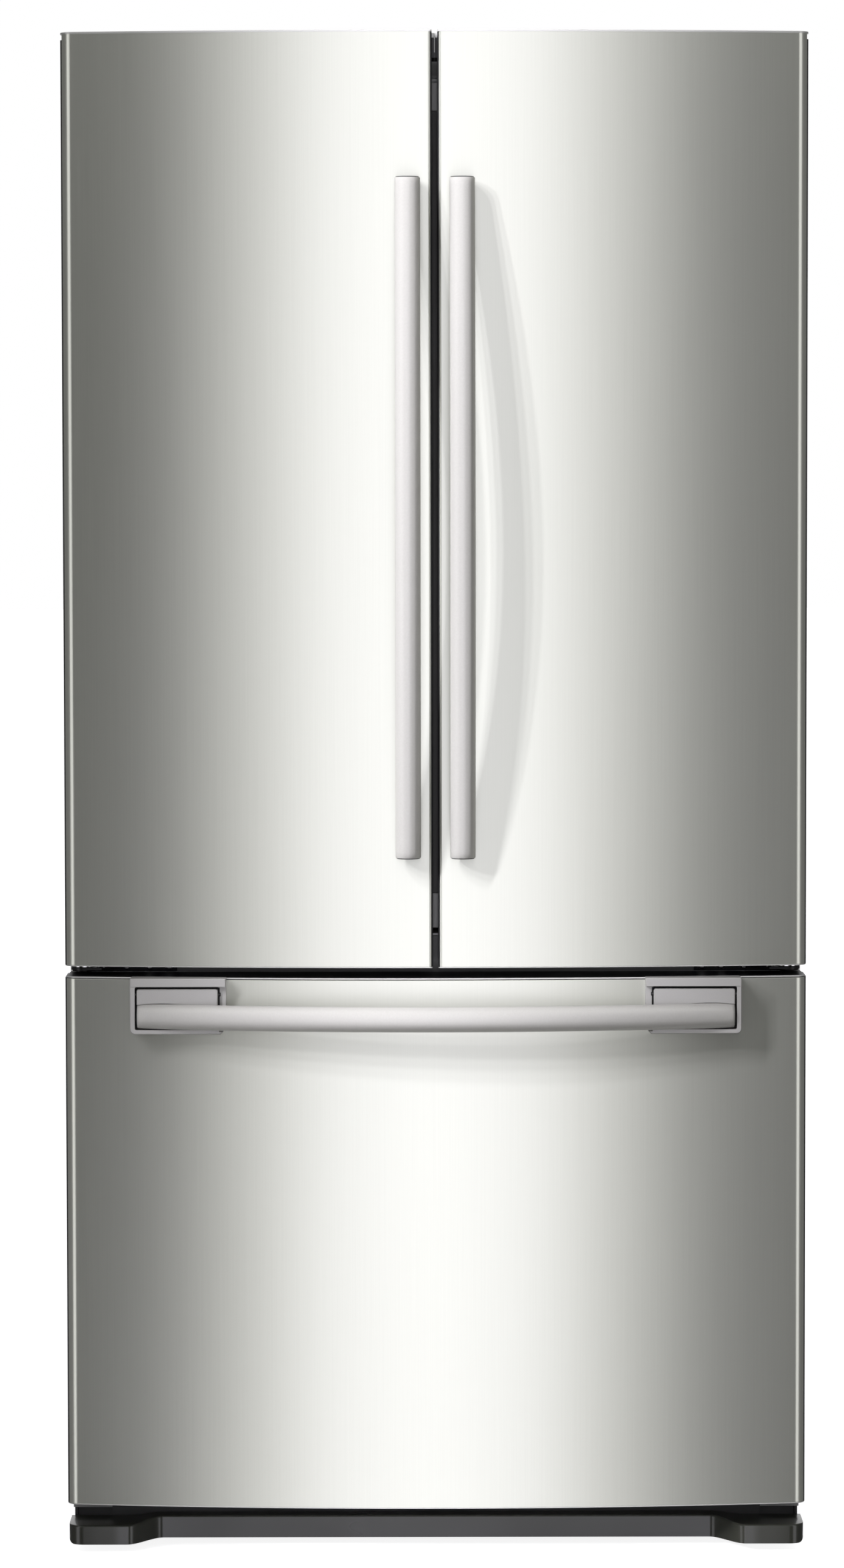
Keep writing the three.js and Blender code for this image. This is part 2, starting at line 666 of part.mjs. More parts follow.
// ---------------------------------------------------------------- mullion flap
// It hangs on the left door and closes the space behind the gap between the doors.
function mullionFlap() {
  const knuckleZ = [
    FLAP_Z[0] + FLAP_LUG_RISE + FLAP_LUG_THICKNESS + FIT,
    FLAP_Z[1] - FLAP_LUG_RISE - FLAP_LUG_THICKNESS - FIT,
  ];
  const back = FLAP_FRONT + FLAP_THICKNESS;
  const bar = box([-FLAP_REACH, FLAP_PIVOT_X - FLAP_KNUCKLE_RADIUS - FIT], [FLAP_FRONT, back], FLAP_Z);
  const web = box([FLAP_PIVOT_X - FLAP_KNUCKLE_RADIUS - 1, FLAP_PIVOT_X], [FLAP_FRONT + 2, back - 2], knuckleZ);
  const knuckle = rod(
    FLAP_KNUCKLE_RADIUS,
    [FLAP_PIVOT_X, FLAP_PIVOT_Y, knuckleZ[0]],
    [FLAP_PIVOT_X, FLAP_PIVOT_Y, knuckleZ[1]],
    12,
  );
  const pin = rod(
    FLAP_PIN_RADIUS,
    [FLAP_PIVOT_X, FLAP_PIVOT_Y, knuckleZ[0] - FLAP_LUG_THICKNESS],
    [FLAP_PIVOT_X, FLAP_PIVOT_Y, knuckleZ[1] + FLAP_LUG_THICKNESS],
    12,
  );
  return join(bar, web, knuckle, pin);
}
piece(groups.left, "mullion_flap", mullionFlap(), "flap_plastic");

// ---------------------------------------------------------------- cabinet
// Freezer cavity from the side: its floor steps up over the machinery.
function freezerProfile(grow, front) {
  const back = (grow * (Math.hypot(STEP_RUN, STEP_RISE) - STEP_RUN)) / STEP_RISE;
  return polygon([
    [front, FREEZER_FLOOR - grow],
    [STEP_START + back, FREEZER_FLOOR - grow],
    [STEP_END + back, STEP_TOP - grow],
    [FREEZER_BACK + grow, STEP_TOP - grow],
    [FREEZER_BACK + grow, FREEZER_CEILING + grow],
    [front, FREEZER_CEILING + grow],
  ]);
}

// Painted steel case: two sides and a top in one bend, with flat faces round the doors.
function cabinetWrap() {
  const outer = box([-CASE_HALF, CASE_HALF], [CASE_FRONT, CASE_BACK], [CASE_BOTTOM, CASE_TOP]);
  const inner = box(
    [-CASE_HALF + SHEET, CASE_HALF - SHEET],
    [CASE_FRONT + SHEET, CASE_BACK + 1],
    [CASE_BOTTOM - 1, CASE_TOP - SHEET],
  );
  const opening = box(
    [-CAVITY_HALF, CAVITY_HALF],
    [CASE_FRONT - 1, CASE_FRONT + SHEET + 1],
    [CASE_BOTTOM - 1, FRIDGE_CEILING],
  );
  return cut(outer, inner, opening);
}
piece(fridge, "cabinet_wrap", cabinetWrap(), "case_paint");

// Fridge cavity block, grown by a wall.
function fridgeCavity(grow, front) {
  return box(
    [-CAVITY_HALF - grow, CAVITY_HALF + grow],
    [front, FRIDGE_BACK + grow],
    [FRIDGE_FLOOR - grow, FRIDGE_CEILING + grow],
  );
}

// A ledge on both side walls that a shelf rests on.
function ledges(top) {
  const y = [SHELF_Y[0] + LEDGE_WIDTH, FRIDGE_BACK + 1];
  const z = [top - LEDGE_HEIGHT, top];
  return [
    box([CAVITY_HALF - LEDGE_WIDTH, CAVITY_HALF + 1], y, z),
    box([-CAVITY_HALF - 1, -CAVITY_HALF + LEDGE_WIDTH], y, z),
  ];
}

const SHELF_Y = [CASE_FRONT + SHELF_FRONT_CLEARANCE, FRIDGE_BACK - SHELF_BACK_CLEARANCE];
const CRISPER_LID_Z = FRIDGE_FLOOR + FIT + CRISPER_HEIGHT + CRISPER_LID_GAP;
const SHELF_Z = FRIDGE_FLOOR + SHELF_ABOVE_FLOOR;
const GUIDE_X = [-20, 20];
const GUIDE_DEPTH = 30;

// Fridge liner with its shelf ledges, a rear shelf bracket and the flap's guide block.
function fridgeLiner() {
  const shell = cut(fridgeCavity(LINER, BEHIND_FACE), fridgeCavity(0, BEHIND_FACE - 1));
  const bracket = box(
    [-LEDGE_WIDTH, LEDGE_WIDTH],
    [SHELF_Y[1] - LEDGE_WIDTH * 3, FRIDGE_BACK + 1],
    [SHELF_Z - LEDGE_HEIGHT, SHELF_Z],
  );
  const guideFront = FLAP_FRONT + FLAP_THICKNESS + 4;
  const guide = box(
    GUIDE_X,
    [guideFront, guideFront + GUIDE_DEPTH],
    [FLAP_Z[1] + 1, FRIDGE_CEILING + 1],
  );
  return join(shell, ...ledges(CRISPER_LID_Z - FIT), ...ledges(SHELF_Z), bracket, guide);
}
piece(fridge, "fridge_liner", fridgeLiner(), "white_plastic");

// Freezer liner.
function freezerLiner() {
  const grown = CAVITY_HALF + LINER;
  return cut(
    crossPrism(freezerProfile(LINER, BEHIND_FACE), [-grown, grown]),
    crossPrism(freezerProfile(0, BEHIND_FACE - 1), [-CAVITY_HALF, CAVITY_HALF]),
  );
}
piece(fridge, "freezer_liner", freezerLiner(), "white_plastic");

const RAIL_Z = [FREEZER_CEILING + LINER + FIT, FRIDGE_FLOOR - LINER - FIT];
const RAIL_DEPTH = 20;

// Steel rail across the front between the two compartments.
function dividerRail() {
  const half = CAVITY_HALF - FIT;
  return cut(
    box([-half, half], [CASE_FRONT, CASE_FRONT + RAIL_DEPTH], RAIL_Z),
    box(
      [-half - 1, half + 1],
      [CASE_FRONT + 2, CASE_FRONT + RAIL_DEPTH + 1],
      [RAIL_Z[0] + 2, RAIL_Z[1] - 2],
    ),
  );
}
piece(fridge, "divider_rail", dividerRail(), "case_paint");

// The bent sheet under the freezer, which is also the roof over the machinery.
function underSheetProfile(low, high) {
  return polygon([
    [CASE_FRONT, UNDERSIDE - low],
    [STEP_START + 10, UNDERSIDE - low],
    [MACHINE_FRONT, MACHINE_CEILING - low],
    [CASE_BACK - SHEET - FIT, MACHINE_CEILING - low],
    [CASE_BACK - SHEET - FIT, MACHINE_CEILING + high],
    [MACHINE_FRONT, MACHINE_CEILING + high],
    [STEP_START + 10, UNDERSIDE + high],
    [CASE_FRONT, UNDERSIDE + high],
  ]);
}

// Insulation between the case, the two liners and the sheet underneath.
function cabinetFoam() {
  const block = box(
    [-INSIDE_CASE, INSIDE_CASE],
    [BEHIND_FACE, CASE_BACK - SHEET - 2 * FIT],
    [UNDERSIDE + SHEET + FIT, CASE_TOP - SHEET - FIT],
  );
  const machineRoom = polygon([
    [STEP_START + 10, UNDERSIDE - 1],
    [STEP_START + 10, UNDERSIDE + SHEET + FIT],
    [MACHINE_FRONT, MACHINE_CEILING + SHEET + FIT],
    [CASE_BACK + 1, MACHINE_CEILING + SHEET + FIT],
    [CASE_BACK + 1, UNDERSIDE - 1],
  ]);
  const freezerGrown = CAVITY_HALF + LINER + FIT;
  return cut(
    block,
    fridgeCavity(LINER + FIT, CASE_FRONT - 1),
    crossPrism(freezerProfile(LINER + FIT, CASE_FRONT - 1), [-freezerGrown, freezerGrown]),
    crossPrism(machineRoom, [-LARGE, LARGE]),
    box(
      [-CAVITY_HALF, CAVITY_HALF],
      [CASE_FRONT - 1, CASE_FRONT + RAIL_DEPTH + FIT],
      [FREEZER_CEILING, FRIDGE_FLOOR],
    ),
    box([-LARGE, LARGE], [CASE_FRONT - 1, CASE_FRONT + APRON + FIT], [0, FREEZER_FLOOR - LINER]),
  );
}
piece(fridge, "cabinet_foam", cabinetFoam(), "foam");

// Flat steel back of the insulated part.
function rearPanel() {
  return box(
    [-INSIDE_CASE, INSIDE_CASE],
    [CASE_BACK - SHEET, CASE_BACK],
    [MACHINE_CEILING + SHEET + FIT, CASE_TOP - SHEET - FIT],
  );
}
piece(fridge, "rear_panel", rearPanel(), "galvanised");

const VENT_COLUMNS = 6;
const VENT_ROWS = 4;
const VENT_LENGTH = 90;
const VENT_HEIGHT = 8;
const VENT_PITCH = 24;

// Slotted cover over the machinery at the back.
function machineCover() {
  const z = [CASE_BOTTOM, MACHINE_CEILING - FIT];
  const plate = box([-INSIDE_CASE, INSIDE_CASE], [CASE_BACK - SHEET - 0.8, CASE_BACK], z);
  const pitch = (2 * INSIDE_CASE - 40) / VENT_COLUMNS;
  const vents = [];
  for (let column = 0; column < VENT_COLUMNS; column += 1) {
    for (let row = 0; row < VENT_ROWS; row += 1) {
      const x = (column + 0.5 - VENT_COLUMNS / 2) * pitch;
      const low = (z[0] + z[1]) / 2 + (row - VENT_ROWS / 2) * VENT_PITCH;
      vents.push(
        box(
          [x - VENT_LENGTH / 2, x + VENT_LENGTH / 2],
          [CASE_BACK - 5, CASE_BACK + 1],
          [low, low + VENT_HEIGHT],
        ),
      );
    }
  }
  return cut(plate, ...vents);
}
piece(fridge, "machine_cover", machineCover(), "black_plastic");

// ---------------------------------------------------------------- base
const BASE_Y = [CASE_FRONT + 20, CASE_BACK - 10];
const BASE_Z = [BASE_BOTTOM, BASE_BOTTOM + BASE_BAR];
const FOOT_X = HALF_WIDTH - FOOT_FROM_SIDE;
const FOOT_Y = CASE_FRONT + FOOT_FROM_FACE;
const ROLLER_Y = CASE_BACK - ROLLER_FROM_BACK;

// Folded steel base: apron, side and cross bars, machinery floor, roller ears and the
// sheet under the freezer.
function baseFrame() {
  const apron = box(
    [-CAVITY_HALF + FIT, CAVITY_HALF - FIT],
    [CASE_FRONT, CASE_FRONT + APRON],
    [BASE_BOTTOM, FREEZER_FLOOR - LINER - FIT],
  );
  const underSheet = crossPrism(underSheetProfile(0, SHEET), [-INSIDE_CASE, INSIDE_CASE]);
  const faceRelief = [-1, 1].map((side) =>
    box(
      side < 0 ? [-LARGE, -CAVITY_HALF + FIT] : [CAVITY_HALF - FIT, LARGE],
      [CASE_FRONT - 1, BEHIND_FACE],
      [0, LARGE],
    ),
  );
  const bars = [-1, 1].map((side) =>
    box(
      [side * INSIDE_CASE, side * (INSIDE_CASE - BASE_BAR_WIDTH)].sort((a, b) => a - b),
      BASE_Y,
      BASE_Z,
    ),
  );
  const webs = [-1, 1].map((side) =>
    box(
      [side * INSIDE_CASE, side * (INSIDE_CASE - 3)].sort((a, b) => a - b),
      [BEHIND_FACE, CASE_BACK - SHEET - 4 * FIT],
      [BASE_Z[0], UNDERSIDE + 0.5],
    ),
  );
  const frontBar = box([-INSIDE_CASE, INSIDE_CASE], [FOOT_Y - 15, FOOT_Y + 15], BASE_Z);
  const apronTies = [-1, 1].map((side) =>
    box([side * FOOT_X - 15, side * FOOT_X + 15], [CASE_FRONT + 1, FOOT_Y], [BASE_Z[0], BASE_Z[0] + 3]),
  );
  const rearBar = box([-INSIDE_CASE, INSIDE_CASE], [BASE_Y[1] - 20, BASE_Y[1]], BASE_Z);
  const floorTop = BASE_Z[1];
  const machineFloor = box(
    [-INSIDE_CASE, INSIDE_CASE],
    [MACHINE_FRONT - 20, BASE_Y[1]],
    [floorTop - MACHINE_FLOOR, floorTop],
  );
  const earX = ROLLER_WIDTH / 2 + ROLLER_SIDE_GAP;
  const ears = [-1, 1].flatMap((side) =>
    [-1, 1].map((face) =>
      box(
        [side * FOOT_X + face * earX, side * FOOT_X + face * (earX + ROLLER_EAR)].sort((a, b) => a - b),
        [ROLLER_Y - ROLLER_EAR_DEPTH / 2, ROLLER_Y + ROLLER_EAR_DEPTH / 2],
        [ROLLER_RADIUS - ROLLER_AXLE_RADIUS - 5, floorTop - 0.5],
      ),
    ),
  );
  const stemHoles = [-1, 1].map((side) =>
    rod(
      FOOT_STEM_RADIUS + PIN_PLAY,
      [side * FOOT_X, FOOT_Y, BASE_Z[0] - 1],
      [side * FOOT_X, FOOT_Y, BASE_Z[1] + 1],
    ),
  );
  const axleHoles = [-1, 1].map((side) =>
    rod(
      ROLLER_AXLE_RADIUS + PIN_PLAY,
      [side * FOOT_X - ROLLER_WIDTH, ROLLER_Y, ROLLER_RADIUS],
      [side * FOOT_X + ROLLER_WIDTH, ROLLER_Y, ROLLER_RADIUS],
      12,
    ),
  );
  return cut(
    join(
      apron,
      cut(underSheet, ...faceRelief),
      ...bars,
      ...webs,
      frontBar,
      ...apronTies,
      rearBar,
      machineFloor,
      ...ears,
    ),
    ...stemHoles,
    ...axleHoles,
  );
}
piece(fridge, "base_frame", baseFrame(), "case_paint");

// Levelling foot: a round pad on a threaded stem.
function foot() {
  const pad = rod(FOOT_PAD_RADIUS, [0, 0, 0], [0, 0, FOOT_PAD_HEIGHT], 20);
  const stem = rod(FOOT_STEM_RADIUS, [0, 0, FOOT_PAD_HEIGHT - 1], [0, 0, FOOT_PAD_HEIGHT + FOOT_STEM_LENGTH], 12);
  return join(pad, stem);
}

// Rear roller with its axle.
function roller() {
  const wheel = rod(ROLLER_RADIUS, [-ROLLER_WIDTH / 2, 0, 0], [ROLLER_WIDTH / 2, 0, 0], 24);
  const axleHalf = ROLLER_WIDTH / 2 + ROLLER_SIDE_GAP + ROLLER_EAR;
  return join(wheel, rod(ROLLER_AXLE_RADIUS, [-axleHalf, 0, 0], [axleHalf, 0, 0], 12));
}

SIDES.forEach((side) => {
  piece(groups[side], `foot_${side}`, foot(), "black_plastic").position.set(FOOT_X, FOOT_Y, 0);
  piece(groups[side], `roller_${side}`, roller(), "nylon").position.set(FOOT_X, ROLLER_Y, ROLLER_RADIUS);
});

// ---------------------------------------------------------------- kick cover
// Outline of the kick cover seen from above, moved in by inset: a lobe in front of each
// foot and a set-back panel between them.
function kickOutline(inset, back) {
  const outer = HALF_WIDTH - LOBE_SIDE_GAP - inset;
  const front = LOBE_FRONT + inset;
  const panel = KICK_PANEL_FRONT + inset;
  const flat = HALF_WIDTH - LOBE_WIDTH - inset;
  const inner = flat - LOBE_BLEND;
  const corner = LOBE_CORNER - inset;
  const mid = (flat + inner) / 2;
  const outline = new THREE.Shape();
  outline.moveTo(-outer, back);
  outline.lineTo(-outer, front + corner);
  outline.quadraticCurveTo(-outer, front, -outer + corner, front);
  outline.lineTo(-flat, front);
  outline.bezierCurveTo(-mid, front, -mid, panel, -inner, panel);
  outline.lineTo(inner, panel);
  outline.bezierCurveTo(mid, panel, mid, front, flat, front);
  outline.lineTo(outer - corner, front);
  outline.quadraticCurveTo(outer, front, outer, front + corner);
  outline.lineTo(outer, back);
  return outline;
}

// Moulded cover across the bottom, open underneath and at the back.
function kickCover() {
  const back = CASE_FRONT - FIT;
  const shell = cut(
    uprightPrism(kickOutline(0, back), [KICK_CLEARANCE, KICK_TOP]),
    uprightPrism(kickOutline(KICK_WALL, back + 1), [KICK_CLEARANCE - 1, KICK_TOP - LOBE_DROP - KICK_WALL]),
  );
  const flat = HALF_WIDTH - LOBE_WIDTH;
  const slopes = [-1, 1].map((side) => {
    const points = [
      [side * (flat - LOBE_BLEND), KICK_TOP],
      [side * flat, KICK_TOP - LOBE_DROP],
      [side * (HALF_WIDTH + 1), KICK_TOP - LOBE_DROP],
      [side * (HALF_WIDTH + 1), KICK_TOP + 1],
      [side * (flat - LOBE_BLEND), KICK_TOP + 1],
    ];
    return depthPrism(polygon(points), [-1, back + 1]);
  });
  return cut(shell, ...slopes);
}
piece(fridge, "kick_cover", kickCover(), "kick_plastic");

// ---------------------------------------------------------------- hinges
const ARM_Z = [POCKET_FLOOR + FIT, POCKET_FLOOR + FIT + PLATE];
const TOP_PLATE_Z = [CASE_TOP + FIT, CASE_TOP + FIT + PLATE];
const HINGE_INNER_X = PIVOT_X + HINGE_ARM_RADIUS - HINGE_PLATE_WIDTH;

// Top hinge: a plate screwed to the case top, stepped up to an arm that carries the pin.
function topHinge() {
  const outerX = PIVOT_X + HINGE_ARM_RADIUS;
  const plateY = [CASE_FRONT + 10, CASE_FRONT + 10 + HINGE_PLATE_DEPTH];
  const plate = box([HINGE_INNER_X, outerX], plateY, TOP_PLATE_Z);
  const armX = [PIVOT_X - HINGE_ARM_RADIUS, outerX];
  const riser = box(armX, [plateY[0], plateY[0] + 6], [TOP_PLATE_Z[0], ARM_Z[1]]);
  const arm = box(armX, [PIVOT_DEPTH, plateY[0] + 6], ARM_Z);
  const eye = rod(HINGE_ARM_RADIUS, [PIVOT_X, PIVOT_DEPTH, ARM_Z[0]], [PIVOT_X, PIVOT_DEPTH, ARM_Z[1]], 24);
  const pin = rod(
    HINGE_PIN_RADIUS,
    [PIVOT_X, PIVOT_DEPTH, POCKET_FLOOR - PIN_REACH],
    [PIVOT_X, PIVOT_DEPTH, ARM_Z[0] + 1],
  );
  return join(plate, riser, arm, eye, pin);
}
pair("top_hinge", topHinge(), "hinge_steel");

// Plastic cover over the top hinge's plate.
function hingeCover() {
  const x = [HINGE_INNER_X - 5, HINGE_INNER_X - 5 + COVER_WIDTH];
  const y = [CASE_FRONT + 4, CASE_FRONT + 4 + COVER_DEPTH];
  const z = [CASE_TOP + FIT, CASE_TOP + COVER_HEIGHT];
  const inside = box(
    [x[0] + COVER_WALL, x[1] - COVER_WALL],
    [y[0] + COVER_WALL, y[1] - COVER_WALL],
    [z[0] - 1, z[1] - COVER_WALL],
  );
  const mouth = box(
    [PIVOT_X - HINGE_ARM_RADIUS - EASY_FIT, x[1] - COVER_WALL],
    [y[0] - 1, y[0] + COVER_WALL + 1],
    [z[0] - 1, ARM_Z[1] + EASY_FIT],
  );
  return cut(box(x, y, z), inside, mouth);
}
pair("hinge_cover", hingeCover(), "black_plastic");

// Middle hinge: a bracket on the case face, in the gap between a door and the drawer,
// with a washer and a pin that carry the door.
function midHinge() {
  const armZ = [(DRAWER_TOP + DOORS_BOTTOM - PLATE) / 2, (DRAWER_TOP + DOORS_BOTTOM + PLATE) / 2];
  const outerX = PIVOT_X + HINGE_ARM_RADIUS;
  const back = CASE_FRONT - FIT;
  const plate = box(
    [outerX - HINGE_PLATE_LENGTH, outerX],
    [back - PLATE, back],
    [
      Math.max(DRAWER_TOP - 7, DRAWER_GASKET_Z[1] + FIT),
      Math.min(DOORS_BOTTOM + 7, FRIDGE_GASKET_Z[0] - FIT),
    ],
  );
  const outline = polygon([
    [PIVOT_X, PIVOT_DEPTH - HINGE_ARM_RADIUS],
    [outerX, PIVOT_DEPTH],
    [outerX, back],
    [outerX - HINGE_PLATE_LENGTH * 0.6, back],
    [PIVOT_X - HINGE_ARM_RADIUS * 1.5, PIVOT_DEPTH - HINGE_ARM_RADIUS],
  ]);
  const arm = uprightPrism(outline, armZ);
  const eye = rod(HINGE_ARM_RADIUS, [PIVOT_X, PIVOT_DEPTH, armZ[0]], [PIVOT_X, PIVOT_DEPTH, armZ[1]], 24);
  const washer = rod(
    HINGE_PIN_RADIUS + 4,
    [PIVOT_X, PIVOT_DEPTH, armZ[1] - 1],
    [PIVOT_X, PIVOT_DEPTH, DOORS_BOTTOM - FIT],
  );
  const pin = rod(
    HINGE_PIN_RADIUS,
    [PIVOT_X, PIVOT_DEPTH, armZ[0]],
    [PIVOT_X, PIVOT_DEPTH, DOORS_BOTTOM + PIN_REACH],
  );
  return join(plate, arm, eye, washer, pin);
}

// ---------------------------------------------------------------- freezer drawer front
const DRAWER_Z = [DRAWER_BOTTOM, DRAWER_TOP];
const DRAWER_GASKET_Z = [
  FREEZER_FLOOR - LINER - GASKET_WIDTH - 10,
  FREEZER_CEILING + GASKET_WIDTH + 6,
];
pair("mid_hinge", midHinge(), "hinge_steel");

// Steel front panel of the drawer.
function drawerPanel(grow = 0) {
  const z = [DRAWER_Z[0] + FRAME_LIP - grow, DRAWER_Z[1] - FRAME_LIP + grow];
  return cut(
    steelSheet(drawerOutline, grow, z),
    box([-LARGE, LARGE], [WRAP_DEPTH + grow, LARGE], [z[0] - 1, z[1] + 1]),
  );
}
piece(fridge, "drawer_panel", drawerPanel(), "brushed_steel");

// Black frame round the drawer front's edges.
function drawerFrontFrame() {
  const block = uprightPrism(drawerOutline(0, PANEL_BACK - FIT), DRAWER_Z);
  const inside = box(
    [-HALF_WIDTH + FRAME_WALL, HALF_WIDTH - FRAME_WALL],
    [-LARGE, LARGE],
    [DRAWER_Z[0] + FRAME_WALL, DRAWER_Z[1] - FRAME_WALL],
  );
  return cut(block, inside, drawerPanel(FIT));
}
piece(fridge, "drawer_frame", drawerFrontFrame(), "black_plastic");

// Inner drawer front: liner and foam in one piece.
function drawerCore() {
  const inset = FRAME_WALL + FIT;
  const z = [DRAWER_Z[0] + inset, DRAWER_Z[1] - inset];
  const filling = uprightPrism(drawerOutline(SHEET + FIT, PANEL_BACK + 0.5), z).intersect(
    box([-HALF_WIDTH + inset, HALF_WIDTH - inset], [-LARGE, LARGE], z),
  );
  const flange = box(
    [-HALF_WIDTH + FIT, HALF_WIDTH - FIT],
    [PANEL_BACK, DOOR_DEPTH],
    [DRAWER_Z[0] + FIT, DRAWER_Z[1] - FIT],
  );
  return join(filling, flange);
}
piece(fridge, "drawer_core", drawerCore(), "white_plastic");
const DRAWER_GASKET_X = HALF_WIDTH - GASKET_IN_FROM_SIDE;
piece(
  fridge,
  "drawer_gasket",
  gasketRing([-DRAWER_GASKET_X, DRAWER_GASKET_X], DRAWER_GASKET_Z),
  "gasket",
);

// ---------------------------------------------------------------- drawer handle
const BAR_HALF = DRAWER_BAR_LENGTH / 2;
const BAR_Z = DRAWER_TOP - DRAWER_BAR_BELOW_TOP;
const BAR_END_Y = faceY(BAR_HALF) - DRAWER_BAR_STANDOFF;

// The bowed bar of the drawer handle.
function drawerBar(radius = BAR_RADIUS) {
  return bowedBar(
    radius,
    new THREE.Vector3(-BAR_HALF, BAR_END_Y, BAR_Z),
    new THREE.Vector3(BAR_HALF, BAR_END_Y, BAR_Z),
    DRAWER_BAR_BOW,
  );
}
piece(fridge, "drawer_bar", drawerBar(), "satin_bar");

const HOUSING_X = [HOUSING_INNER_X, HOUSING_INNER_X + HOUSING_WIDTH];
const HOUSING_Z = [DRAWER_TOP + HOUSING_ABOVE_TOP - HOUSING_HEIGHT, DRAWER_TOP + HOUSING_ABOVE_TOP];
const RECESS_X = [HOUSING_X[0] + HOUSING_INNER_LEG, HOUSING_X[1] - HOUSING_OUTER_LEG];
const RECESS_Z = [HOUSING_Z[0] + HOUSING_SILL, HOUSING_Z[1] - HOUSING_STRIP];
const LEVER_Y = [-HOUSING_REACH + LEVER_SET_BACK, -HOUSING_REACH + LEVER_SET_BACK + LEVER_THICKNESS];
const LEVER_TOP = RECESS_Z[1] - LEVER_TOP_CLEARANCE;
const LEVER_PIN_Y = (LEVER_Y[0] + LEVER_Y[1]) / 2 + 1.5;
const LEVER_PIN_Z = LEVER_TOP - LEVER_PIN_BELOW_TOP;

// A full-width block behind the bowed face, moved in by inset.
function bowedBlock(inset) {
  return uprightPrism(drawerOutline(inset, DOOR_DEPTH), [HOUSING_Z[0] - 1, HOUSING_Z[1] + 1]);
}

// Outline of the housing seen from the front: square on top, round at the bottom.
function housingOutline() {
  const [x0, x1] = HOUSING_X;
  const [z0, z1] = HOUSING_Z;
  const outline = new THREE.Shape();
  outline.moveTo(x0, z1);
  outline.lineTo(x0, z0 + HOUSING_CORNER);
  outline.lineTo(x0 + HOUSING_CORNER, z0);
  outline.lineTo(x1 - HOUSING_CORNER, z0);
  outline.absarc(x1 - HOUSING_CORNER, z0 + HOUSING_CORNER, HOUSING_CORNER, -Math.PI / 2, 0, false);
  outline.lineTo(x1, z1);
  return outline;
}

// Housing on the drawer front that the lever turns in.
function leverHousing() {
  const block = depthPrism(housingOutline(), [-HOUSING_REACH, 0]);
  const recess = box(RECESS_X, [-HOUSING_REACH - 1, 1], RECESS_Z);
  const legStep = box(
    [HOUSING_X[0] - 1, RECESS_X[0] + 1],
    [-HOUSING_REACH - 1, -HOUSING_REACH + INNER_LEG_STEP],
    [HOUSING_Z[0] + HOUSING_SILL / 2, RECESS_Z[1]],
  );
  const floor = block.intersect(bowedBlock(-HOUSING_FLOOR - FIT));
  const pinHole = rod(
    LEVER_PIN_RADIUS + PIN_PLAY,
    [RECESS_X[0] - HOUSING_INNER_LEG / 2, LEVER_PIN_Y, LEVER_PIN_Z],
    [RECESS_X[1] + HOUSING_OUTER_LEG / 2, LEVER_PIN_Y, LEVER_PIN_Z],
    12,
  );
  const shell = join(cut(block, recess, legStep), floor);
  return cut(shell, bowedBlock(-FIT), pinHole);
}
pair("lever_housing", leverHousing(), "silver_plastic");

// Lever that carries one end of the bar and turns on a pin in the housing.
function handleLever() {
  const x = [RECESS_X[0] + EASY_FIT, RECESS_X[1] - EASY_FIT];
  const block = box(x, LEVER_Y, [LEVER_TOP - LEVER_HEIGHT, LEVER_TOP]);
  const pin = rod(
    LEVER_PIN_RADIUS,
    [x[0] - HOUSING_INNER_LEG / 2, LEVER_PIN_Y, LEVER_PIN_Z],
    [x[1] + HOUSING_OUTER_LEG / 2, LEVER_PIN_Y, LEVER_PIN_Z],
    12,
  );
  return join(cut(block, drawerBar(BAR_RADIUS + FIT)), pin);
}
pair("handle_lever", handleLever(), "silver_plastic");

// ---------------------------------------------------------------- drawer running gear
const SLIDE_Z = [FREEZER_FLOOR + RAIL_ABOVE_FLOOR, FREEZER_FLOOR + RAIL_ABOVE_FLOOR + RAIL_HEIGHT];
const SLIDE_X = [CAVITY_HALF - FIT - RAIL_WIDTH, CAVITY_HALF - FIT];
const SLIDE_Y = [CASE_FRONT + RAIL_SETBACK, CASE_FRONT + RAIL_SETBACK + RAIL_LENGTH];

// Channel on the freezer's side wall.
function slideRail() {
  return cut(
    box(SLIDE_X, SLIDE_Y, SLIDE_Z),
    box(
      [SLIDE_X[0] - 1, SLIDE_X[1] - RAIL_WALL],
      [SLIDE_Y[0] - 1, SLIDE_Y[1] + 1],
      [SLIDE_Z[0] + RAIL_WALL, SLIDE_Z[1] - RAIL_WALL],
    ),
  );
}
pair("slide_rail", slideRail(), "galvanised");

const ARM_X = [SLIDE_X[1] - RAIL_WALL - EASY_FIT - ARM_THICKNESS, SLIDE_X[1] - RAIL_WALL - EASY_FIT];
const SLIDE_ARM_Z = [SLIDE_Z[0] + RAIL_WALL + EASY_FIT, SLIDE_Z[1] - RAIL_WALL - EASY_FIT];
const LEG_X = [ARM_X[0] - ARM_LEG_WIDTH, ARM_X[0] + 1];
const LEG_TOP = SLIDE_ARM_Z[0] + ARM_LEG_THICKNESS;

// Carrier bolted to the drawer front: two sliding arms with legs for the basket,
// joined across the front.
function drawerCarrier() {
  const y = [DOOR_DEPTH + FIT, DOOR_DEPTH + FIT + ARM_LENGTH];
  const sides = [-1, 1].flatMap((side) => {
    const across = ([a, b]) => [side * a, side * b].sort((p, q) => p - q);
    return [
      box(across(ARM_X), y, SLIDE_ARM_Z),
      box(across(LEG_X), [y[0], BASKET_Y[1]], [SLIDE_ARM_Z[0], LEG_TOP]),
    ];
  });
  const bar = box(
    [-ARM_X[0] - 1, ARM_X[0] + 1],
    [y[0], y[0] + FRONT_BRACKET_HEIGHT],
    [SLIDE_ARM_Z[0], SLIDE_ARM_Z[0] + FRONT_BRACKET_HEIGHT],
  );
  return join(bar, ...sides);
}
const BASKET_Y = [CASE_FRONT + BASKET_SETBACK, CASE_FRONT + BASKET_SETBACK + BASKET_LENGTH];
piece(fridge, "drawer_carrier", drawerCarrier(), "galvanised");

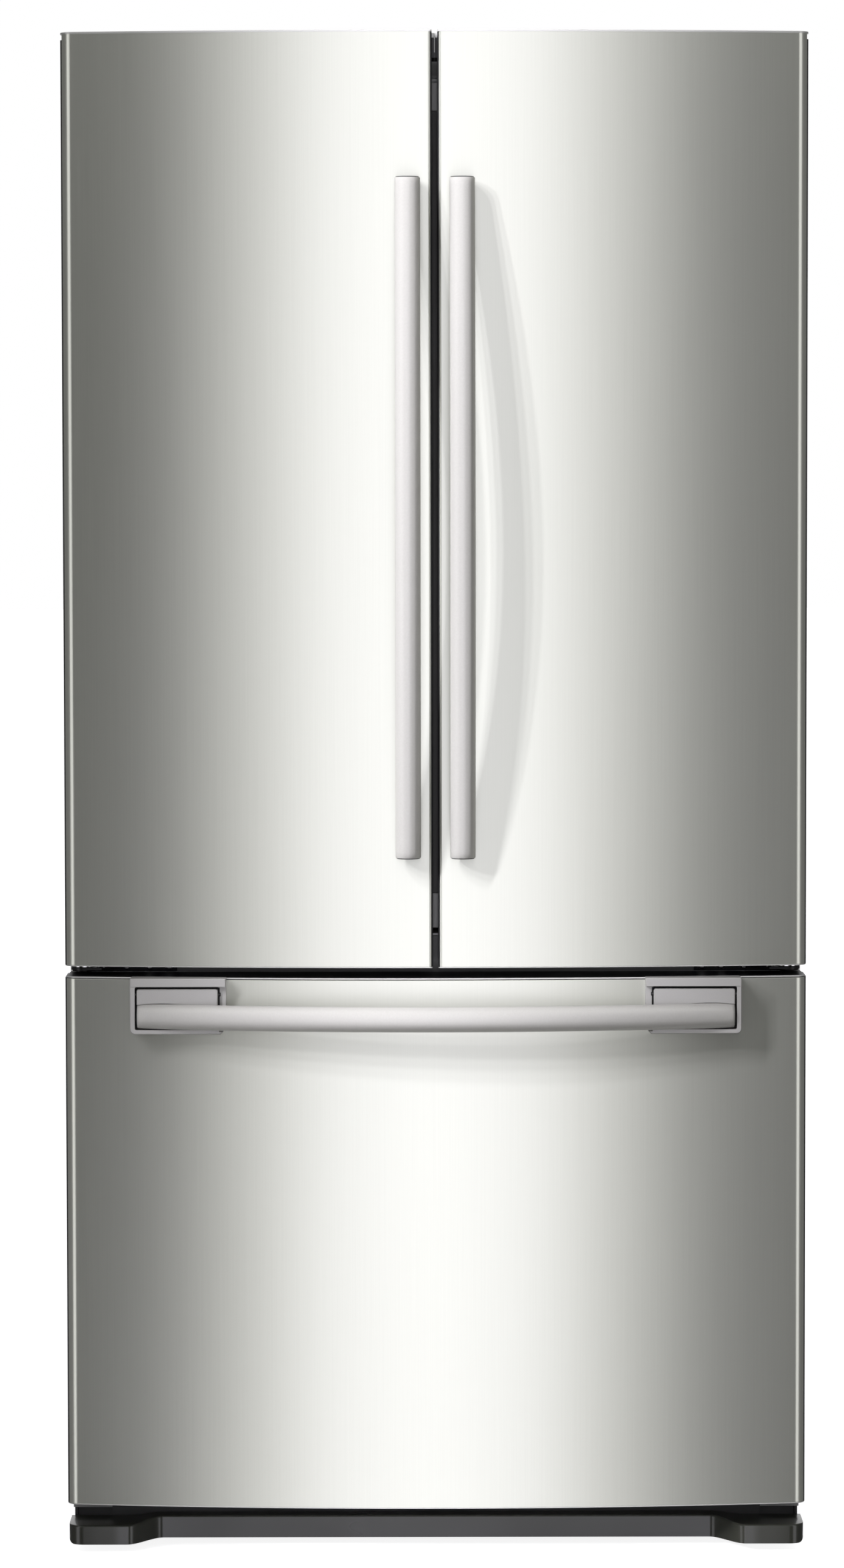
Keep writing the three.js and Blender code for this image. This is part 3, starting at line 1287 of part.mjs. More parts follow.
// Deep basket that hangs on the carrier's legs by its flange.
function freezerBasket() {
  const half = LEG_X[0] - EASY_FIT;
  const z0 = FREEZER_FLOOR + BASKET_ABOVE_FLOOR;
  const flangeZ = [LEG_TOP + FIT, LEG_TOP + FIT + BASKET_FLANGE];
  const flanges = [-1, 1].map((side) =>
    box([side * (half - 1), side * (ARM_X[0] - EASY_FIT)].sort((a, b) => a - b), BASKET_Y, flangeZ),
  );
  return join(openBox([-half, half], BASKET_Y, [z0, z0 + BASKET_HEIGHT], BASKET_WALL), ...flanges);
}
piece(fridge, "freezer_basket", freezerBasket(), "clear_plastic");

// ---------------------------------------------------------------- fridge furniture
// Glass shelf over one half of the fridge, with a deeper rim in front and behind.
function halfShelf() {
  const x = [SHELF_CENTRE_GAP / 2, CAVITY_HALF - EASY_FIT];
  const z = [SHELF_Z + FIT, SHELF_Z + FIT + SHELF_THICKNESS];
  const rim = box(x, [SHELF_Y[0], SHELF_Y[0] + LEDGE_WIDTH - 1], [z[1] - SHELF_RIM, z[1]]);
  return join(box(x, SHELF_Y, z), rim);
}
pair("shelf", halfShelf(), "shelf_glass");

// Full-width glass lid over the crispers.
function crisperLid() {
  const half = CAVITY_HALF - EASY_FIT;
  return box([-half, half], SHELF_Y, [CRISPER_LID_Z, CRISPER_LID_Z + SHELF_THICKNESS]);
}
piece(fridge, "crisper_lid", crisperLid(), "shelf_glass");

// Crisper drawer on the fridge floor.
function crisper() {
  const x = [CRISPER_CENTRE_GAP / 2, CAVITY_HALF - LEDGE_WIDTH - EASY_FIT];
  const y = [SHELF_Y[0], SHELF_Y[0] + CRISPER_LENGTH];
  const z = [FRIDGE_FLOOR + FIT, FRIDGE_FLOOR + FIT + CRISPER_HEIGHT];
  return openBox(x, y, z, CRISPER_WALL);
}
pair("crisper", crisper(), "clear_plastic");

// ---------------------------------------------------------------- cooling machinery
// Flat fan with twisted blades about +Y, centred on its hub.
function fanWheel(radius) {
  const half = FAN_THICKNESS / 2;
  const hub = rod(FAN_HUB_RADIUS, [0, -half, 0], [0, half, 0], 16);
  const blades = [];
  for (let i = 0; i < FAN_BLADES; i += 1) {
    const blade = new THREE.BoxGeometry(radius - FAN_HUB_RADIUS / 2, 2, radius * 0.42);
    blade.rotateX(Math.PI / 7);
    blade.translate(radius / 2 + FAN_HUB_RADIUS / 4, 0, 0);
    blade.rotateY((i * 2 * Math.PI) / FAN_BLADES);
    blades.push(solid(blade));
  }
  const sweep = rod(radius, [0, -half, 0], [0, half, 0], 32);
  const bore = rod(FAN_AXLE_RADIUS + PIN_PLAY, [0, -half - 1, 0], [0, half + 1, 0], 12);
  return cut(join(hub, ...blades.map((blade) => blade.intersect(sweep))), bore);
}

// Block of parallel fins joined by two end plates and tubes.
function finBlock([x0, x1], [y0, y1], [z0, z1], fins) {
  const pitch = (x1 - x0 - 4) / (fins - 1);
  const plates = [];
  for (let i = 0; i < fins; i += 1) {
    plates.push(box([x0 + i * pitch, x0 + i * pitch + 4], [y0, y1], [z0, z1]));
  }
  const tubeY = (y0 + y1) / 2;
  const rows = [0.25, 0.75].map((share) => z0 + share * (z1 - z0));
  const tubes = rows.map((z) => rod(5, [x0 - 8, tubeY, z], [x1 + 8, tubeY, z], 6));
  return join(plates[0], ...plates.slice(1), ...tubes);
}

const MACHINE_TOP = BASE_Z[1];
const MACHINE_MIDDLE_Y = (MACHINE_FRONT + CASE_BACK) / 2;

// Sealed compressor on three feet.
function compressor() {
  const z0 = MACHINE_TOP + FIT;
  const r = COMPRESSOR_RADIUS;
  const h = COMPRESSOR_HEIGHT;
  const profile = [
    [0, COMPRESSOR_FOOT],
    [r * 0.7, COMPRESSOR_FOOT],
    [r, COMPRESSOR_FOOT + 18],
    [r, h - 34],
    [r * 0.85, h - 12],
    [r * 0.4, h],
    [0, h],
  ].map(([a, b]) => new THREE.Vector2(a, b));
  const shell = new THREE.LatheGeometry(profile, 24);
  shell.rotateX(Math.PI / 2);
  shell.translate(COMPRESSOR_X, MACHINE_MIDDLE_Y, z0);
  const feet = [0, 1, 2].map((i) => {
    const turn = (i * 2 * Math.PI) / 3;
    const x = COMPRESSOR_X + Math.cos(turn) * r * 0.62;
    const y = MACHINE_MIDDLE_Y + Math.sin(turn) * r * 0.62;
    return rod(9, [x, y, z0], [x, y, z0 + COMPRESSOR_FOOT + 8], 10);
  });
  return join(solid(shell), ...feet);
}
piece(fridge, "compressor", compressor(), "compressor_black");

// Open tray on top of the compressor, where defrost water dries off.
function dripPan() {
  const half = DRIP_PAN_SIZE / 2;
  const z0 = MACHINE_TOP + 2 * FIT + COMPRESSOR_HEIGHT;
  return openBox(
    [COMPRESSOR_X - half, COMPRESSOR_X + half],
    [MACHINE_MIDDLE_Y - half, MACHINE_MIDDLE_Y + half],
    [z0, z0 + DRIP_PAN_HEIGHT],
    2,
  );
}
piece(fridge, "drip_pan", dripPan(), "black_plastic");

const FAN_PLATE_X = CONDENSER_X + CONDENSER_LENGTH + 12;
const CONDENSER_FAN_Z = MACHINE_TOP + FIT + CONDENSER_HEIGHT / 2;

// Condenser coil with the plate that its fan blows through.
function condenser() {
  const z = [MACHINE_TOP + FIT, MACHINE_TOP + FIT + CONDENSER_HEIGHT];
  const y = [MACHINE_MIDDLE_Y - CONDENSER_DEPTH / 2, MACHINE_MIDDLE_Y + CONDENSER_DEPTH / 2];
  const coil = finBlock([CONDENSER_X, CONDENSER_X + CONDENSER_LENGTH], y, z, CONDENSER_FINS);
  const plate = cut(
    box([FAN_PLATE_X - 4, FAN_PLATE_X + FAN_THICKNESS], y, z),
    rod(
      CONDENSER_FAN_RADIUS + FAN_TIP_GAP,
      [FAN_PLATE_X, MACHINE_MIDDLE_Y, CONDENSER_FAN_Z],
      [FAN_PLATE_X + FAN_THICKNESS + 1, MACHINE_MIDDLE_Y, CONDENSER_FAN_Z],
      32,
    ),
    ...fanGuardHoles(),
  );
  const axle = rod(
    FAN_AXLE_RADIUS,
    [FAN_PLATE_X - 1, MACHINE_MIDDLE_Y, CONDENSER_FAN_Z],
    [FAN_PLATE_X + FAN_THICKNESS, MACHINE_MIDDLE_Y, CONDENSER_FAN_Z],
    12,
  );
  return join(coil, plate, axle);
}

// Air holes in the guard that carries the condenser fan.
function fanGuardHoles() {
  const r = CONDENSER_FAN_RADIUS;
  const gap = (2 * r) / (FAN_GUARD_BARS + 1);
  const holes = [];
  for (let i = 0; i <= FAN_GUARD_BARS; i += 1) {
    const y = MACHINE_MIDDLE_Y - r + i * gap + 3;
    [-1, 1].forEach((side) => {
      const z = [CONDENSER_FAN_Z + side * FAN_HUB_RADIUS, CONDENSER_FAN_Z + side * r * 0.8];
      holes.push(box([FAN_PLATE_X - 5, FAN_PLATE_X + 1], [y, y + gap - 6], z.sort((a, b) => a - b)));
    });
  }
  return holes;
}
piece(fridge, "condenser", condenser(), "coil_aluminium");

const condenserFan = piece(fridge, "condenser_fan", fanWheel(CONDENSER_FAN_RADIUS), "black_plastic");
condenserFan.rotation.z = Math.PI / 2;
condenserFan.position.set(FAN_PLATE_X + FIT + FAN_THICKNESS / 2, MACHINE_MIDDLE_Y, CONDENSER_FAN_Z);

const COVER_Y = FREEZER_BACK - EVAPORATOR_COVER_FROM_BACK;
const EVAPORATOR_FAN_Z = FREEZER_CEILING - EVAPORATOR_FAN_BELOW_CEILING;

// Evaporator coil against the freezer's back wall.
function evaporator() {
  const half = EVAPORATOR_WIDTH / 2;
  const z0 = STEP_TOP + 10;
  return finBlock(
    [-half, half],
    [FREEZER_BACK - FIT - EVAPORATOR_DEPTH, FREEZER_BACK - FIT],
    [z0, z0 + EVAPORATOR_HEIGHT],
    EVAPORATOR_FINS,
  );
}
piece(fridge, "evaporator", evaporator(), "coil_aluminium");

// Cover in front of the evaporator, with a round opening and a cross that carries its fan.
function evaporatorCover() {
  const half = CAVITY_HALF - FIT;
  const r = EVAPORATOR_FAN_RADIUS;
  const y = [COVER_Y - EVAPORATOR_COVER, COVER_Y];
  const plate = box([-half, half], y, [STEP_TOP + FIT, FREEZER_CEILING - FIT]);
  const opening = rod(r, [0, y[0] - 1, EVAPORATOR_FAN_Z], [0, y[1] + 1, EVAPORATOR_FAN_Z], 32);
  const arm = FAN_BRACKET_WIDTH / 2;
  const bracket = join(
    box([-r - 1, r + 1], y, [EVAPORATOR_FAN_Z - arm, EVAPORATOR_FAN_Z + arm]),
    box([-arm, arm], y, [EVAPORATOR_FAN_Z - r - 1, EVAPORATOR_FAN_Z + r + 1]),
  );
  const axle = rod(
    FAN_AXLE_RADIUS,
    [0, y[0], EVAPORATOR_FAN_Z],
    [0, COVER_Y + EASY_FIT + FAN_THICKNESS, EVAPORATOR_FAN_Z],
    12,
  );
  return join(cut(plate, opening), bracket, axle);
}
piece(fridge, "evaporator_cover", evaporatorCover(), "white_plastic");

const evaporatorFan = piece(
  fridge,
  "evaporator_fan",
  fanWheel(EVAPORATOR_FAN_RADIUS - FAN_TIP_GAP),
  "black_plastic",
);
evaporatorFan.position.set(0, COVER_Y + EASY_FIT + FAN_THICKNESS / 2, EVAPORATOR_FAN_Z);

// ---------------------------------------------------------------- origin
// The origin is on the floor, midway between the frontmost handle and the back.
const FRONT_REACH = faceY(DOOR_BAR_FROM_CENTRE) - DOOR_BAR_STANDOFF - DOOR_BAR_BOW - BAR_RADIUS;
fridge.position.y = -(FRONT_REACH + CASE_BACK) / 2;

export default fridge;
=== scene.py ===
import math
import bmesh
import bpy
from mathutils import Matrix, Vector


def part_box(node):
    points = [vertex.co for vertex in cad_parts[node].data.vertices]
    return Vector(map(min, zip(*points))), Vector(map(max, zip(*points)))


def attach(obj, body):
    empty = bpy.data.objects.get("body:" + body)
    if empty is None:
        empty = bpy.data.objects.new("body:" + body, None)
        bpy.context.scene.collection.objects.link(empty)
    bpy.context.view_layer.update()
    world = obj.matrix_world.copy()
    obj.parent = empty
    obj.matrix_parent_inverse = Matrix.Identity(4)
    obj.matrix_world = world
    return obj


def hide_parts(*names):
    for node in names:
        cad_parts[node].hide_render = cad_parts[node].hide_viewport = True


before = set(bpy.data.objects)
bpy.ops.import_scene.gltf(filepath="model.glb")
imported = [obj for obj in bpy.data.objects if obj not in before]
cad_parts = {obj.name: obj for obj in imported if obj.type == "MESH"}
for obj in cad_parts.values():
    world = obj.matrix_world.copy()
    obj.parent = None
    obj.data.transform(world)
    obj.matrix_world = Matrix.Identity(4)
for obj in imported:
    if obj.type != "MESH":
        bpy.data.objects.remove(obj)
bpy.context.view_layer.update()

# ---- Camera ----
# A long lens from standing height, six metres in front, tipped a little down.
eye = bpy.data.cameras.new("eye")
eye.lens = 121.4
eye.sensor_width = eye.sensor_height = 36.0
eye.sensor_fit = "VERTICAL"
eye.clip_end = 100.0


def standing(name, data):
    """A new object that stands in the scene."""
    made = bpy.data.objects.new(name, data)
    bpy.context.scene.collection.objects.link(made)
    return made


camera = standing("camera", eye)
camera.matrix_world = (
    Matrix.Translation((-0.0221, -6.2199, 1.2232))
    @ Matrix.Rotation(math.radians(-0.069), 4, "Z")
    @ Matrix.Rotation(math.radians(90 - 3.415), 4, "X")
    @ Matrix.Rotation(math.radians(-0.09), 4, "Z")
)
bpy.context.scene.camera = camera
bpy.context.scene.view_settings.view_transform = "Standard"

# ---- Steel fronts ----
# Three sheets of stainless steel, brushed up and down, rolled to one shallow bow that runs
# over both doors and the drawer, bent round at the outer edges and glued to the foam.
half_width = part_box("drawer_frame")[1][0]
bow = 0.030
edge_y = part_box("drawer_frame")[0][1] + bow
bow_radius = (half_width**2 + bow**2) / (2 * bow)
bow_y = edge_y + bow_radius - bow
bend = 0.015
gap_bend = 0.003
bend_x = half_width - bend
bend_y = bow_y - math.sqrt((bow_radius - bend) ** 2 - bend_x**2)
bend_turn = math.asin(bend_x / (bow_radius - bend))
sheet = 0.0012
clear = 0.0003


def face_y(x, inset=0.0):
    """Depth of the bowed front at x, moved in by inset."""
    return bow_y - math.sqrt((bow_radius - inset) ** 2 - x * x)


def arc(x, y, radius, start, end, steps):
    """Points round a centre, from one angle to another."""
    return [
        (x + radius * math.cos(start + (end - start) * i / steps),
         y + radius * math.sin(start + (end - start) * i / steps))
        for i in range(steps + 1)
    ]


def outer_bend(inset, turned, steps=14):
    """From the bow round the outer edge, as far as the given angle past straight ahead."""
    return arc(bend_x, bend_y, bend - inset, bend_turn - math.pi / 2, turned - math.pi / 2, steps)


def bow_line(x0, x1, inset, steps):
    """Points along the bow between two places."""
    xs = [x0 + (x1 - x0) * i / steps for i in range(steps + 1)]
    return [(x, face_y(x, inset)) for x in xs]


def door_line(gap_x, inset, turned, back):
    """Front of a right-hand door from above: gap edge, small bend, bow and outer bend."""
    small = max(gap_bend - inset, 0.0006)
    cx = gap_x + inset + small
    cy = bow_y - math.sqrt((bow_radius - inset - small) ** 2 - cx * cx)
    turn = math.asin(cx / (bow_radius - inset - small))
    line = [(gap_x + inset, back)]
    line += arc(cx, cy, small, math.pi, 1.5 * math.pi + turn, 8)
    line += bow_line(cx + 0.004, bend_x - 0.004, inset, 90)
    return line + outer_bend(inset, turned)


def loft(bm, rings, closed=False):
    """Skin over rings of equally many points, with both ends filled unless it is closed."""
    made = [[bm.verts.new(p) for p in ring] for ring in rings]
    spans = list(zip(made, made[1:] + made[:1] if closed else made[1:]))
    for a, b in spans:
        n = len(a)
        for i in range(n):
            bm.faces.new((a[i], a[(i + 1) % n], b[(i + 1) % n], b[i]))
    if not closed:
        bm.faces.new(made[0])
        bm.faces.new(made[-1])
    return [v for ring in made for v in ring]


def along(axis, u, v, h):
    """A point from two cross measures and a length along an axis."""
    return Vector({"x": (h, u, v), "y": (u, h, v), "z": (u, v, h)}[axis])


def pulled_in(line, amount):
    """A closed outline moved inwards by a small amount."""
    n = len(line)
    area = sum(line[i - 1][0] * line[i][1] - line[i][0] * line[i - 1][1] for i in range(n))
    side = 1 if area > 0 else -1
    out = []
    for i in range(n):
        a, p, b = (Vector(line[j % n]) for j in (i - 1, i, i + 1))
        d1 = (p - a).normalized() if (p - a).length > 1e-9 else (b - p).normalized()
        d2 = (b - p).normalized() if (b - p).length > 1e-9 else d1
        n1 = Vector((-d1.y, d1.x))
        n2 = Vector((-d2.y, d2.x))
        mid = n1 + n2
        mid = mid.normalized() if mid.length > 1e-6 else n1
        out.append(tuple(p + side * mid * amount / max(mid.dot(n1), 0.5)))
    return out


def prism(bm, line, low, high, axis="z", edge=0.0, foot=None):
    """An outline drawn along an axis, its far end eased by edge and its near end by foot."""
    foot = edge if foot is None else foot
    rings = [[along(axis, u, v, low) for u, v in (pulled_in(line, foot) if foot else line)]]
    if foot:
        rings.append([along(axis, u, v, low + foot) for u, v in line])
    if edge:
        rings.append([along(axis, u, v, high - edge) for u, v in line])
    rings.append([along(axis, u, v, high) for u, v in (pulled_in(line, edge) if edge else line)])
    return loft(bm, rings)


def mirrored(bm, verts, wanted=True):
    """Mirrors what was just made to the other side, where that is wanted."""
    if wanted:
        bmesh.ops.scale(bm, verts=verts, vec=(-1, 1, 1))


def placed(piece, body, nodes, sharp):
    """Shades a piece smooth up to an angle and puts it on its body, for the CAD nodes named."""
    piece.data.polygons.foreach_set("use_smooth", [True] * len(piece.data.polygons))
    piece.data.set_sharp_from_angle(angle=math.radians(sharp))
    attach(piece, body)
    if nodes:
        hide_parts(*nodes)
    return piece


def filled(name, bm):
    """A standing object made of the mesh at hand, with its faces turned outwards."""
    bmesh.ops.recalc_face_normals(bm, faces=bm.faces)
    mesh = bpy.data.meshes.new(name)
    bm.to_mesh(mesh)
    bm.free()
    return standing(name, mesh)


def shown(name, bm, material, body, slot, *nodes, sharp=35, flip=False):
    """Turns what was made into a piece of a body, standing for the CAD nodes named. A flipped
    one was made on the right and belongs on the left."""
    mirrored(bm, bm.verts, flip)
    made = filled(name, bm)
    made.data.materials.append(material)
    return placed(made, body, nodes, sharp)


def new_node(tree, kind, fed=None, **settings):
    """Adds a node with its settings. Its sockets are fed values, sockets or whole nodes."""
    made = tree.nodes.new(kind)
    for setting, value in settings.items():
        setattr(made, setting, value)
    for socket, value in (fed or {}).items():
        for one in value if isinstance(value, list) else [value]:
            if isinstance(one, bpy.types.Node):
                one = one.outputs[0]
            if isinstance(one, bpy.types.NodeSocket):
                tree.links.new(one, made.inputs[socket])
            else:
                made.inputs[socket].default_value = one
    return made


def noise(tree, scale, detail=3.0, stretch=(1, 1, 1)):
    """A noise in the object's own coordinates."""
    place = new_node(tree, "ShaderNodeTexCoord").outputs["Object"]
    mapping = new_node(tree, "ShaderNodeMapping", {"Vector": place, "Scale": stretch})
    return new_node(tree, "ShaderNodeTexNoise", {"Vector": mapping, "Scale": scale,
                                                 "Detail": detail}).outputs["Fac"]


def patterned(tree, look, fac, low, high):
    """Lets a pattern run the tint or the roughness from low to high, or raise a fine grain
    with low as its strength and high as its depth."""
    low_end, high_end = 0.3, 0.7
    if look == "tint":
        made = new_node(tree, "ShaderNodeValToRGB", {"Fac": fac})
        for stop, place, colour in zip(made.color_ramp.elements, (low_end, high_end), (low, high)):
            stop.position = place
            stop.color = (*colour, 1)
    elif look == "rough":
        made = new_node(tree, "ShaderNodeMapRange", {"Value": fac, "From Min": low_end,
                                                     "From Max": high_end, "To Min": low, "To Max": high})
    else:
        made = new_node(tree, "ShaderNodeBump", {"Height": fac, "Strength": low, "Distance": high})
    socket = {"tint": "Base Color", "rough": "Roughness", "grain": "Normal"}[look]
    tree.links.new(made.outputs[0], tree.nodes["Principled BSDF"].inputs[socket])


def surface(name, colour, roughness, metallic=0.0, stretch=(1, 1, 1), **looks):
    """A material. Its tint, rough and grain each give a noise's scale, the two values it runs
    between and, where it isn't the usual one, its detail. The other looks are plain values."""
    material = bpy.data.materials.new(name)
    material.use_nodes = True
    tree = material.node_tree
    sockets = tree.nodes["Principled BSDF"].inputs
    sockets["Base Color"].default_value = (*colour, 1)
    sockets["Roughness"].default_value = roughness
    sockets["Metallic"].default_value = metallic
    for look, value in looks.items():
        if look in ("tint", "rough", "grain"):
            scale, low, high, *detail = value
            patterned(tree, look, noise(tree, scale, *(detail or [3.0]), stretch), low, high)
        else:
            sockets[look.replace("_", " ")].default_value = value
    return material


brushed_steel = surface("brushed_steel", (0.654, 0.664, 0.594), 0.3, 0.75, stretch=(80, 80, 0.35),
                        tint=(14.0, (0.644, 0.654, 0.585), (0.664, 0.674, 0.604), 4.0),
                        rough=(14.0, 0.30, 0.34, 4.0), Anisotropic=0.75, Anisotropic_Rotation=0.25)
round_z = new_node(brushed_steel.node_tree, "ShaderNodeTangent", direction_type="RADIAL", axis="Z")
brushed_steel.node_tree.links.new(round_z.outputs["Tangent"],
                                  brushed_steel.node_tree.nodes["Principled BSDF"].inputs["Tangent"])

gap_half = 0.0032
steel_gap = 0.0043
top_lip = 0.0022
low_lip = 0.0012
wrap = math.pi / 3
door_low, door_high = [corner[2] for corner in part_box("left_door_frame")]
drawer_low, drawer_high = [corner[2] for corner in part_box("drawer_frame")]
for side in ("left", "right"):
    bm = bmesh.new()
    tuck = face_y(0) + 0.009
    line = door_line(steel_gap, 0.0, wrap, tuck)
    line += reversed(door_line(steel_gap, sheet, wrap, tuck))
    prism(bm, line, door_low + low_lip, door_high - top_lip, edge=0.0001, foot=0.0003)
    shown(f"{side}_door_steel", bm, brushed_steel, f"{side}_door", "brushed_steel",
          f"{side}_door_panel", sharp=25, flip=side == "left")


def full_line(inset, turned):
    """Front of the full-width drawer from above, from the left bend to the right bend."""
    right = outer_bend(inset, turned)
    left = [(-x, y) for x, y in reversed(right)]
    return left + bow_line(-bend_x + 0.004, bend_x - 0.004, inset, 180) + right


bm = bmesh.new()
prism(bm, full_line(0.0, wrap) + full_line(sheet, wrap)[::-1],
      drawer_low + low_lip, drawer_high - 0.0024, edge=0.0003)
shown("drawer_steel", bm, brushed_steel, "drawer", "brushed_steel", "drawer_panel", sharp=25)

# ---- Door and drawer edges ----
# Moulded plastic rails close the edges of each front: black down the sides, and metal
# painted caps above and below with a fine rim standing over the steel. They clip together.
black_plastic = surface("black_plastic", (0.012, 0.012, 0.012), 0.42, grain=(900.0, 0.25, 0.0002),
                        rough=(12.0, 0.36, 0.50))
cap_plastic = surface("cap_plastic", (0.60, 0.60, 0.58), 0.38, 0.55, grain=(1200.0, 0.15, 0.0001),
                      rough=(20.0, 0.33, 0.43))

frame_back = edge_y + 0.0597
pocket_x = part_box("top_hinge_right")[1][0] - 0.034
pocket_y = edge_y + 0.0197
pocket_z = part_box("top_hinge_right")[0][2] + 0.011


def block(bm, low, high, soft=0.0):
    """A box, with its edges softened where that is given."""
    made = bmesh.ops.create_cube(bm, size=1.0)["verts"]
    size = [b - a for a, b in zip(low, high)]
    middle = [(a + b) / 2 for a, b in zip(low, high)]
    bmesh.ops.scale(bm, verts=made, vec=size)
    bmesh.ops.translate(bm, verts=made, vec=middle)
    if not soft:
        return made
    edges = list(dict.fromkeys(e for v in made for e in v.link_edges))
    out = bmesh.ops.bevel(bm, geom=edges, offset=min(soft, 0.45 * min(size)), segments=2,
                          affect="EDGES", profile=0.5)
    return list(dict.fromkeys(v for f in out["faces"] for v in f.verts))


strip_inside = half_width - 0.003
outer = outer_bend(0.0, math.pi / 2)[9:]
tuck = outer_bend(sheet + 0.0002, math.pi / 2)[9:]
side_strip = outer + [(half_width, frame_back), (strip_inside, frame_back),
                      (strip_inside, tuck[-1][1] + 0.002)]
side_strip += [(x - 0.0012, y) for x, y in reversed(tuck)]
for side in ("left", "right"):
    caps = bmesh.new()
    rails = bmesh.new()
    whole = door_line(gap_half, 0.0, math.pi / 2, frame_back) + [(half_width, frame_back)]
    notched = door_line(gap_half, 0.0, math.pi / 2, frame_back)
    notched += [(half_width, pocket_y), (pocket_x, pocket_y), (pocket_x, frame_back)]
    prism(caps, notched, door_high - top_lip, door_high, edge=0.0005, foot=0.0)
    prism(caps, whole, door_low, door_low + low_lip - 0.0001, edge=0.0004)
    prism(caps, pulled_in(whole, 0.0016), door_low + 0.0005, door_low + 0.013)
    prism(caps, pulled_in(whole, 0.0016), pocket_z - 0.013, pocket_z)
    lip = pulled_in(notched, 0.0016)
    prism(caps, lip, pocket_z - 0.001, door_high - 0.001)
    tab_y = face_y(0) + 0.012
    block(caps, (0.0001, tab_y, door_high - 0.0085), (gap_half + 0.002, tab_y + 0.008, door_high - 0.003),
          0.0008)
    shown(f"{side}_door_caps", caps, cap_plastic, f"{side}_door", "silver_plastic", flip=side == "left")
    prism(rails, side_strip, door_low + low_lip, pocket_z - 0.0005)
    gap_y = face_y(0) + 0.0005
    inner = [(gap_half, frame_back), (gap_half, gap_y + 0.0022), (gap_half + 0.0009, gap_y + 0.0008),
             (gap_half + 0.0012, gap_y + 0.0008), (gap_half + 0.0012, gap_y + 0.0105),
             (gap_half + 0.003, gap_y + 0.0105), (gap_half + 0.003, frame_back)]
    prism(rails, inner, door_low + low_lip, door_high - top_lip)
    web = [(tab_y + 0.001, door_high - 0.0088), (tab_y + 0.004, door_high - 0.030),
           (tab_y + 0.009, door_high - 0.034), (tab_y + 0.009, door_high - 0.0088)]
    prism(rails, web, 0.0001, gap_half + 0.002, "x", edge=0.0003, foot=0.0)
    shown(f"{side}_door_rails", rails, black_plastic, f"{side}_door", "black_plastic",
          f"{side}_door_frame", flip=side == "left")

caps = bmesh.new()
whole = full_line(0.0, math.pi / 2) + [(half_width, frame_back), (-half_width, frame_back)]
prism(caps, full_line(0.0, wrap) + full_line(0.0022, wrap)[::-1], drawer_high - 0.0016, drawer_high,
      edge=0.0005)
prism(caps, whole, drawer_low, drawer_low + low_lip - 0.0001, edge=0.0004)
prism(caps, pulled_in(whole, 0.0017), drawer_low + 0.0005, drawer_low + 0.013)
shown("drawer_caps", caps, cap_plastic, "drawer", "silver_plastic")
rails = bmesh.new()
prism(rails, pulled_in(whole, 0.0017), drawer_high - 0.013, drawer_high - 0.0012)
prism(rails, pulled_in(whole, 0.0024), drawer_high - 0.0014, drawer_high - 0.0002, edge=0.0003)
for side in (-1, 1):
    verts = prism(rails, side_strip, drawer_low + low_lip, drawer_high - 0.0017)
    mirrored(rails, verts, side < 0)
shown("drawer_rails", rails, black_plastic, "drawer", "black_plastic", "drawer_frame")

# ---- Inner doors ----
# A white vacuum-formed liner closes the back of each front over the foam. Its raised
# walls, drawn up in one with it, stiffen the door and hold the bins.
white_liner = surface("white_liner", (0.82, 0.825, 0.81), 0.28, Coat_Weight=0.15,
                      tint=(3.0, (0.80, 0.805, 0.79), (0.84, 0.845, 0.83)),
                      grain=(500.0, 0.08, 0.0002, 2.0))


def rect_ring(axis, low, high, h, radius, steps=5):
    """A rectangle with round corners across an axis, as points."""
    (u0, v0), (u1, v1) = low, high
    r = max(min(radius, (u1 - u0) / 2 - 1e-5, (v1 - v0) / 2 - 1e-5), 1e-5)
    points = []
    for cu, cv, start in ((u1 - r, v0 + r, -90), (u1 - r, v1 - r, 0), (u0 + r, v1 - r, 90),
                          (u0 + r, v0 + r, 180)):
        points += arc(cu, cv, r, math.radians(start), math.radians(start + 90), steps)
    return [along(axis, u, v, h) for u, v in points]


def stacked(bm, axis, low, high, profile, radius, steps=5, closed=False):
    """Rounded rectangles stacked along an axis. The profile lists (inset, height)."""
    rings = []
    for inset, h in profile:
        a = (low[0] + inset, low[1] + inset)
        b = (high[0] - inset, high[1] - inset)
        rings.append(rect_ring(axis, a, b, h, max(radius - inset, 0.0006), steps))
    return loft(bm, rings, closed)


